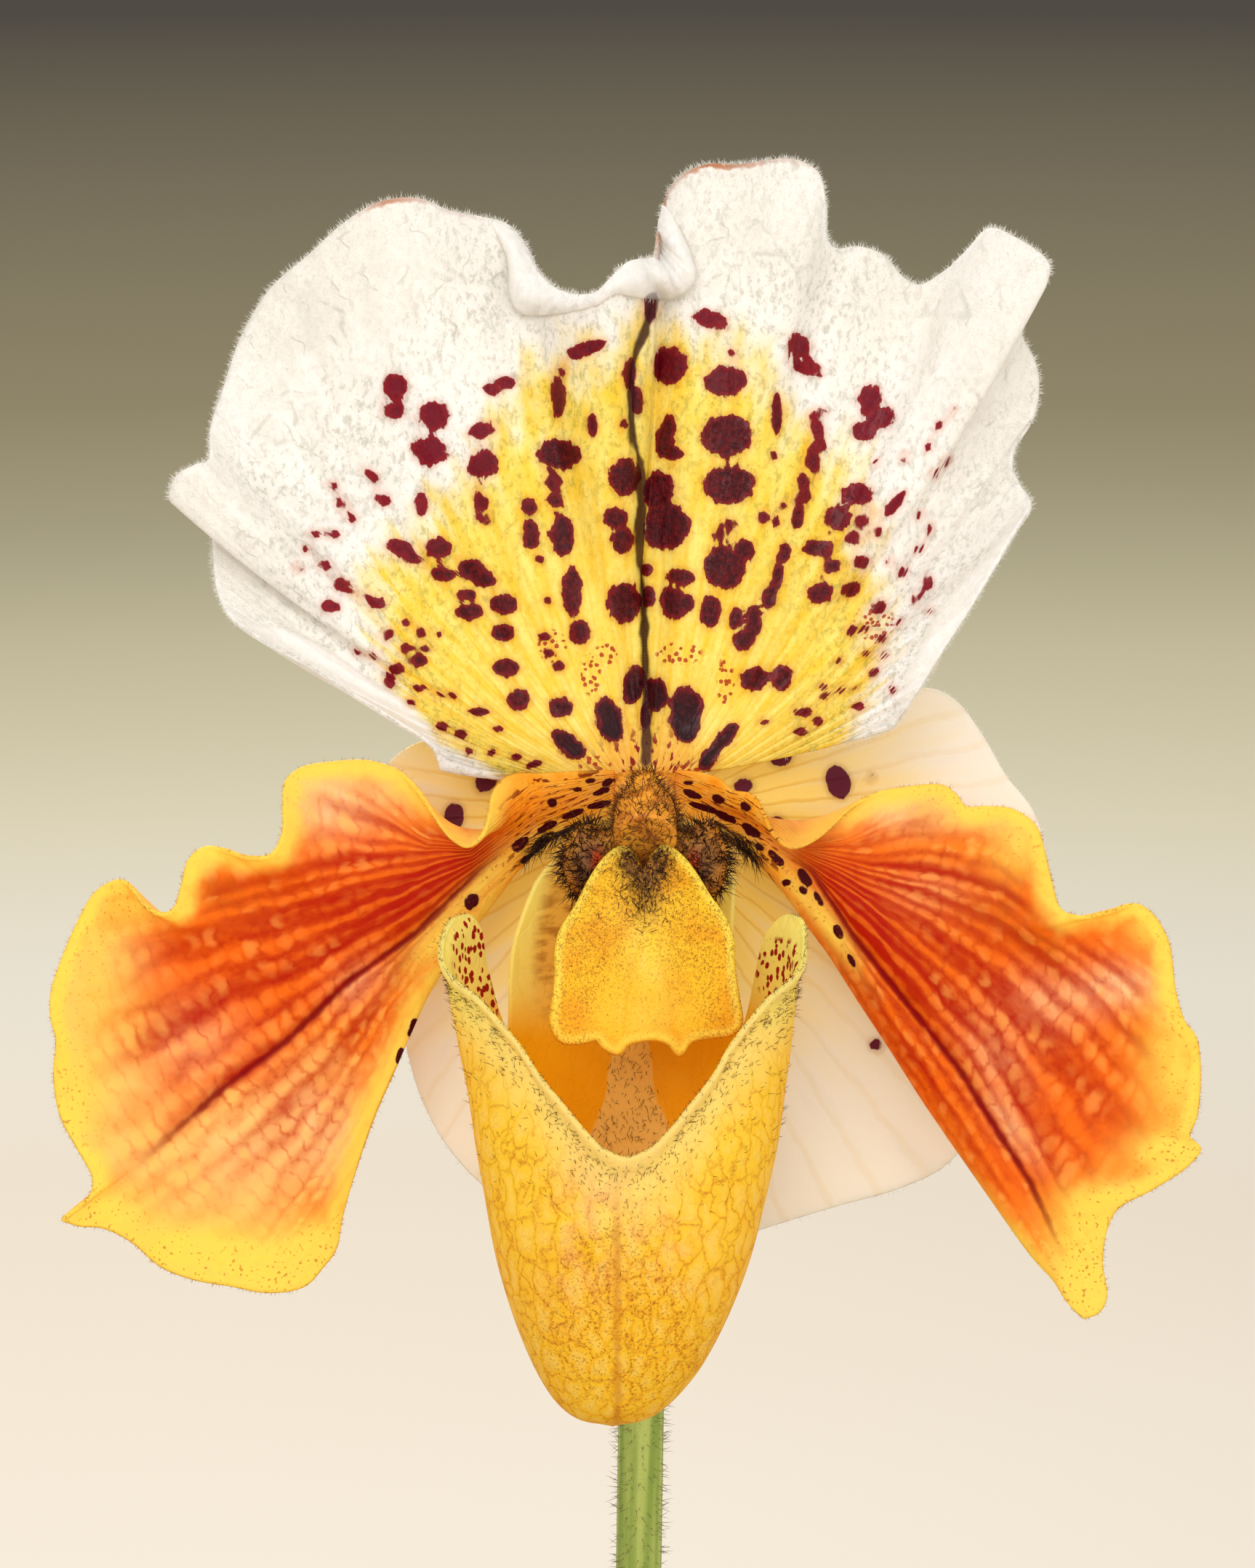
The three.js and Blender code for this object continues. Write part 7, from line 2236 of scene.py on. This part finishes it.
@dataclass
class Pot:
    """A turned clay pot with a band at its lip and drain holes through its floor."""

    height: float = 95
    foot_radius: float = 35
    lip_radius: float = 54
    band: float = 20
    wall: float = 5
    floor: float = 6
    ease: float = 1.3
    hole_radius: float = 4.5
    hole_centre: float = 19
    holes: int = 4

    def outer(self, height: float) -> float:
        """Gives the wall's outer radius below the band."""
        return self.foot_radius + (self.lip_radius - 4 - self.foot_radius) * height / self.height

    def inner(self, height: float) -> float:
        """Gives the inside radius."""
        return self.outer(height) - self.wall

    def profile(self) -> Array:
        """Gives the profile from the middle of the underside round to the middle of the floor."""
        band = self.height - self.band
        corners = [
            (0, 0), (self.foot_radius - self.ease, 0), (self.foot_radius, self.ease),
            (self.outer(band), band), (self.lip_radius - 2, band + 0.6),
            (self.lip_radius - self.ease, band + 2), (self.lip_radius, self.height - self.ease),
            (self.lip_radius - self.ease, self.height), (self.inner(self.height) + self.ease, self.height),
            (self.inner(self.height), self.height - self.ease), (self.inner(self.floor), self.floor),
            (0, self.floor), ]
        fine = [np.asarray(corners[0], dtype=float)]
        for start, end in zip(corners[:-1], corners[1:]):
            start, end = np.asarray(start, dtype=float), np.asarray(end, dtype=float)
            steps = max(1, int(np.linalg.norm(end - start) / 4))
            fine += [start + (end - start) * k / steps for k in range(1, steps + 1)]
        return np.array(fine)

    def build(self) -> None:
        """Turns the pot and drills it."""
        profile = self.profile()
        sides = 120
        turn = np.arange(sides) * 2 * np.pi / sides
        rings = profile[1:-1]
        radius, height = rings[:, :1], rings[:, 1:]
        points = np.stack([radius * np.cos(turn), radius * np.sin(turn), height + 0 * turn],
                          axis=-1).reshape(-1, 3)
        quads = grid_quads(len(rings) - 1, sides, lambda i, j: i * sides + j % sides)
        k = np.arange(sides)
        under, inside, last = len(points), len(points) + 1, (len(rings) - 1) * sides
        low = np.stack([(k + 1) % sides, k, np.full(sides, under), np.full(sides, under)], axis=1)
        high = np.stack([k + last, (k + 1) % sides + last, np.full(sides, inside), np.full(sides, inside)],
                        axis=1)
        points = np.vstack([points, [0, 0, 0], [0, 0, self.floor]])
        body = Body(points, whole_faces(np.vstack([quads, low, high])))
        pot = add_piece("turned_pot", body, ClayFinish("fired clay", relief_mm=0.4), ["pot"])
        for number in range(self.holes):
            self.drill(pot, 2 * math.pi * (number + 0.5) / self.holes)
        pot.data.shade_smooth()
        pot.data.set_sharp_from_angle(angle=math.radians(32))

    def drill(self, pot: bpy.types.Object, angle: float) -> None:
        """Cuts one drain hole through the floor.

        Args:
            pot: The pot.
            angle: Where round the floor the hole lies.
        """
        centre = np.array([self.hole_centre * math.cos(angle), self.hole_centre * math.sin(angle), 0])
        spine = centre + np.linspace(-2 * self.floor, 2 * self.floor, 9)[:, None] * np.array([0, 0, 1.0])
        plug = tube(spine, lambda share, turn: self.hole_radius + 0 * turn, 32)
        mesh = bpy.data.meshes.new("plug")
        mesh.from_pydata((plug.points * MM).tolist(), [], whole_faces(plug.quads))
        cutter = bpy.data.objects.new("plug", mesh)
        bpy.context.scene.collection.objects.link(cutter)
        cut = pot.modifiers.new("drain", "BOOLEAN")
        cut.operation = "DIFFERENCE"
        cut.object = cutter
        drilled = bpy.data.meshes.new_from_object(pot.evaluated_get(bpy.context.evaluated_depsgraph_get()))
        pot.modifiers.remove(cut)
        pot.data = drilled
        bpy.data.objects.remove(cutter)
        bpy.data.meshes.remove(mesh)


@dataclass(frozen=True)
class BarkFinish(Finish):
    """Weathered orchid bark: split brown layers, each chip with its own tone."""

    brown: Colour = srgb(112, 72, 46)
    dark: Colour = srgb(58, 36, 25)
    tan: Colour = srgb(168, 122, 84)

    def paint(self, s: Shading) -> Coat:
        """Paints the layers of each chip and its worn edges."""
        place = s.place()
        tone, layer = s.mark("tone"), s.mark("layer")
        bands = s.noise(s.vector(s.times(layer, 2.2), s.times(tone, 40.0), 0.0), 1.0, 4.0, 0.7)
        fine = s.noise(place, 0.9, 5.0, 0.75)
        colour = s.mix(s.ease(s.plus(tone, s.times(fine, 0.5)), 0.5, 1.1), self.dark, self.brown)
        colour = s.mix(s.times(s.ease(s.plus(bands, s.times(fine, 0.4)), 0.6, 0.95), 0.75), colour, self.tan)
        colour = s.mix(s.times(s.ease(fine, 0.42, 0.3), 0.6), colour, self.dark)
        return Coat(colour, s.plus(s.times(bands, 1.5), fine), s.ease(fine, 0.3, 0.7, 0.75, 0.95))


@dataclass
class Bark:
    """Bark chips heaped to just under the pot's lip, with the plant standing among them."""

    level: float = 82
    chips: int = 250
    pit: tuple[float, float, float] = (29, 10, 74)
    seed: int = 7

    def chip(self, random: np.random.Generator, centre: Array, size: Array) -> Body:
        """Makes one chip: a rough block with worn corners, turned at random.

        Args:
            random: Source of the draws.
            centre: Its centre.
            size: Its length, width and thickness.

        Returns:
            The chip.
        """
        steps = 5
        u = np.linspace(-1, 1, steps)
        points, quads = [], []
        for axis in range(3):
            for side in (-1, 1):
                a, b = np.meshgrid(u, u, indexing="ij")
                face = np.zeros((steps, steps, 3))
                face[..., axis] = side
                face[..., (axis + 1) % 3] = a * side
                face[..., (axis + 2) % 3] = b
                rows = grid_quads(steps - 1, steps - 1, lambda i, j: i * steps + j)
                quads.append(rows + len(points) * steps * steps)
                points.append(face.reshape(-1, 3))
        corners, index = np.unique(np.round(np.vstack(points), 6), axis=0, return_inverse=True)
        faces = index.ravel()[np.vstack(quads)]
        rounded = corners / (1 + 0.35 * (np.linalg.norm(corners, axis=1, keepdims=True) - 1))
        ripple = 3.1 * rounded[:, [1, 2, 0]] * random.uniform(0.6, 1.8, 3) + random.uniform(0, 6, 3)
        rough = rounded + 0.13 * np.sin(ripple)
        rough += 0.05 * random.normal(size=rough.shape)
        tilt, lean, spin = random.uniform(-0.5, 0.5), random.uniform(-0.4, 0.4), random.uniform(0, 2 * np.pi)
        local = rough * size / 2
        y = local[:, 1] * math.cos(tilt) - local[:, 2] * math.sin(tilt)
        up = local[:, 1] * math.sin(tilt) + local[:, 2] * math.cos(tilt)
        x = local[:, 0] * math.cos(lean) + up * math.sin(lean)
        z = up * math.cos(lean) - local[:, 0] * math.sin(lean)
        placed = np.stack([x * math.cos(spin) - y * math.sin(spin), x * math.sin(spin) + y * math.cos(spin),
                           z], axis=1)
        marks = {"tone": np.full(len(rough), random.random()), "layer": local[:, 2] + local[:, 1] * 0.15}
        return Body(placed + centre, whole_faces(faces), marks)

    def bed(self, pot: Pot) -> Body:
        """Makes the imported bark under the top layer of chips, with the pit in its middle."""
        rows, sides = 40, 120
        top = self.level - 3
        radius = np.linspace(0.02, 1, rows)[:, None] * (pot.inner(top) - 0.6)
        turn = np.linspace(0, 2 * np.pi, sides, endpoint=False)[None]
        x, y = radius * np.cos(turn), radius * np.sin(turn)
        inside = smooth(1.25, 0.95, np.hypot(x / self.pit[0], y / self.pit[1]))
        lumps = 0.8 * np.sin(x * 0.9) * np.cos(y * 0.8) + 0.4 * np.sin(x * 2.1 + y * 1.7)
        z = top + lumps - inside * (top - self.pit[2] + 0.8)
        points = np.stack([x, y, z], axis=-1).reshape(-1, 3)
        floor = points[-sides:] * [1, 1, 0] + [0, 0, pot.floor + 0.4]
        floor[:, :2] *= (pot.inner(pot.floor) - 0.6) / (pot.inner(top) - 0.6)
        points = np.vstack([points, floor, [0, 0, pot.floor + 0.4], [0, 0, self.pit[2] - 0.8]])
        quads = grid_quads(rows, sides, lambda i, j: i * sides + j % sides)
        k = np.arange(sides)
        last, under, crown = rows * sides, len(points) - 2, len(points) - 1
        low = np.stack([k + last, (k + 1) % sides + last, np.full(sides, under), np.full(sides, under)],
                       axis=1)
        high = np.stack([(k + 1) % sides, k, np.full(sides, crown), np.full(sides, crown)], axis=1)
        count = len(points)
        marks = {"tone": np.full(count, 0.1), "layer": points[:, 2] * 0.3}
        return Body(points, whole_faces(np.vstack([quads, low, high])), marks)

    def build(self, pot: Pot) -> None:
        """Builds the bed and scatters the chips on it.

        Args:
            pot: The pot that holds the bark.
        """
        random = np.random.default_rng(self.seed)
        heap = self.bed(pot)
        chips = []
        golden = math.pi * (3 - math.sqrt(5))
        for number in range(self.chips):
            reach = (pot.inner(self.level) - 5.5) * math.sqrt((number + 0.5) / self.chips)
            angle = number * golden + random.uniform(-0.2, 0.2)
            x, y = reach * math.cos(angle), reach * math.sin(angle)
            size = np.array([11.5, 7.5, 4.6]) * random.uniform(0.6, 1.15)
            if math.hypot(x / (self.pit[0] + 3), y / (self.pit[1] + 3)) < 1:
                continue
            chips.append(self.chip(random, np.array([x, y, self.level - 1.5 + random.uniform(-1.5, 2.5)]),
                                   size))
        for chip in chips:
            heap.faces += [[corner + len(heap.points) for corner in face] for face in chip.faces]
            heap.points = np.vstack([heap.points, chip.points])
            heap.marks = {name: np.concatenate([heap.marks[name], chip.marks[name]]) for name in heap.marks}
        add_piece("bark_chips", heap, BarkFinish("orchid bark", relief_mm=0.6, bump=0.7), ["bark"])


# The studio

@dataclass(frozen=True)
class FloorFinish(Finish):
    """A pale floor painted with a pool of light: cream under the plant, falling off in painted shade to olive
    grey away from it.
    """

    reach: float = 3000.0

    def paint(self, s: Shading) -> Coat:
        """Paints the pool of light and its falloff: cream under the plant, olive grey far from it."""
        place = s.place()
        distance = s.put("ShaderNodeVectorMath", {0: place}, operation="LENGTH").outputs["Value"]
        # Painted light falloff: the stops darken with distance from the plant, as if lit by a lamp over it.
        stops = [
            (500, srgb(197, 188, 174)), (790, srgb(187, 177, 161)), (960, srgb(188, 182, 168)),
            (1120, srgb(187, 179, 153)), (1310, srgb(180, 171, 138)), (1660, srgb(141, 129, 95)),
            (2620, srgb(62, 54, 39)),
        ]
        scaled = s.math("DIVIDE", distance, self.reach)
        colour = s.ramp(scaled, [(mm / self.reach, tint) for mm, tint in stops], "LINEAR")
        return Coat(colour, s.noise(place, 0.3, 2.0))


@dataclass
class Studio:
    """Floor, soft light and camera.

    Attributes:
        aim: Point of the bloom's plane at the middle of the picture, in millimetres.
        distance: Distance of the camera from the bloom's plane, in millimetres.
        view_height: Height of the picture in the bloom's plane, in millimetres.
    """

    aim: tuple[float, float] = (-1.6, 2.87)
    distance: float = 600.0
    view_height: float = 143.73
    sensor: float = 36.0

    def add_floor(self) -> None:
        """Lays the floor."""
        mesh = bpy.data.meshes.new("studio_floor")
        rows, half = 24, 3.2
        line = np.linspace(-half, half, rows + 1)
        x, y = np.meshgrid(line, line, indexing="ij")
        points = np.stack([x, y, 0 * x], axis=-1).reshape(-1, 3)
        mesh.from_pydata(points.tolist(), [], grid_quads(rows, rows, lambda i,
                                                         j: i * (rows + 1) + j).tolist())
        mesh.materials.append(FloorFinish("studio floor", roughness=0.9, bump=0.02).material())
        floor = bpy.data.objects.new("studio_floor", mesh)
        bpy.context.scene.collection.objects.link(floor)

    def add_light(self, name: str, place: Points, target: Points, size: float, power: float,
                  tint: Colour) -> None:
        """Hangs a square lamp.

        Args:
            name: The lamp's name.
            place: Where it hangs, in metres.
            target: What it points at, in metres.
            size: Its side in metres.
            power: Its power in watts.
            tint: Its colour.
        """
        lamp = bpy.data.lights.new(name, "AREA")
        lamp.size = size
        lamp.energy = power
        lamp.color = tint[:3]
        holder = bpy.data.objects.new(name, lamp)
        self.turn(holder, np.asarray(place, dtype=float), np.asarray(place, dtype=float) - np.asarray(target))
        bpy.context.scene.collection.objects.link(holder)

    def turn(self, thing: bpy.types.Object, place: Array, backward: Array,
             upward: Array | None = None) -> None:
        """Places a lamp or camera, given the direction behind it and the one above it."""
        back = unit(backward)
        upward = np.array([0, 0, 1.0]) if upward is None else upward
        right = unit(np.cross(upward, back))
        above = np.cross(back, right)
        columns = np.stack([right, above, back, place], axis=1)
        thing.matrix_world = Matrix([*columns.tolist(), [0, 0, 0, 1]])

    def add_world(self) -> None:
        """Lights everything evenly with a warm white, and shows the camera the olive grey of the floor's painted
        falloff.
        """
        world = bpy.data.worlds.new("studio")
        world.use_nodes = True
        s = Shading(world.node_tree)
        sky = world.node_tree.nodes["Background"]
        seen = s.put("ShaderNodeLightPath").outputs["Is Camera Ray"]
        # The camera sees olive grey behind the floor, the dark end of its painted shade.
        s.feed(sky.inputs["Color"], s.mix(seen, srgb(250, 251, 255), srgb(62, 54, 39)))
        sky.inputs["Strength"].default_value = 0.95
        bpy.context.scene.world = world

    def add_camera(self) -> None:
        """Sets the camera straight at the bloom's face."""
        data = bpy.data.cameras.new("portrait")
        data.sensor_width = self.sensor
        data.lens = self.sensor * self.distance / self.view_height
        data.clip_start = 0.05
        data.clip_end = 20
        camera = bpy.data.objects.new("portrait", data)
        _, upward, forward = PLACE.axes()
        place = PLACE.to_world(np.array([*self.aim, self.distance])) * MM
        self.turn(camera, place, forward, upward)
        bpy.context.scene.collection.objects.link(camera)
        bpy.context.scene.camera = camera

    def build(self) -> None:
        """Sets up the studio."""
        self.add_camera()
        self.add_world()
        self.add_floor()
        bloom = (0, -0.04, 0.31)
        self.add_light("key", (-0.35, -1.0, 1.15), bloom, 0.9, 9.0, srgb(255, 253, 250))
        self.add_light("fill", (1.0, -0.9, 0.5), bloom, 0.9, 4.5, srgb(255, 253, 250))
        self.add_light("low", (-0.1, -1.0, -0.1), bloom, 0.7, 3.0, srgb(255, 253, 250))
        self.add_light("glow", (-0.2, 0.9, 0.9), bloom, 0.8, 9.0, srgb(255, 252, 244))
        bpy.context.scene.view_settings.view_transform = "Standard"


def main() -> None:
    """Builds the studio, the bloom and the rest of the plant in turn."""
    logging.basicConfig(level=logging.INFO, format="%(name)s: %(message)s")
    Studio().build()
    DorsalSepal().build()
    Synsepal().build()
    Petal(LEFT_PETAL_LEFT_EDGE, LEFT_PETAL_RIGHT_EDGE, LEFT_PETAL_MIDRIB, 0.85, 0.1, (1.3, 1.0),
          name="left_petal", node="petal_left", veins=LEFT_VEINS, washes=LEFT_WASHES, spots=LEFT_SPOTS,
          towards=-1).build()
    Petal(RIGHT_PETAL_LEFT_EDGE, RIGHT_PETAL_RIGHT_EDGE, RIGHT_PETAL_MIDRIB, 0.8, 0.1, (1.1, 0.9),
          name="right_petal", node="petal_right", veins=RIGHT_VEINS, washes=RIGHT_WASHES, spots=RIGHT_SPOTS,
          towards=1).build()
    LipPouch().build()
    Column().build()
    Stalk().build()
    for number, leaf in enumerate(LEAVES, start=1):
        leaf.build(number)
    pot = Pot()
    pot.build()
    Bark().build(pot)
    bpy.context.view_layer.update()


if __name__ == "__main__":
    main()
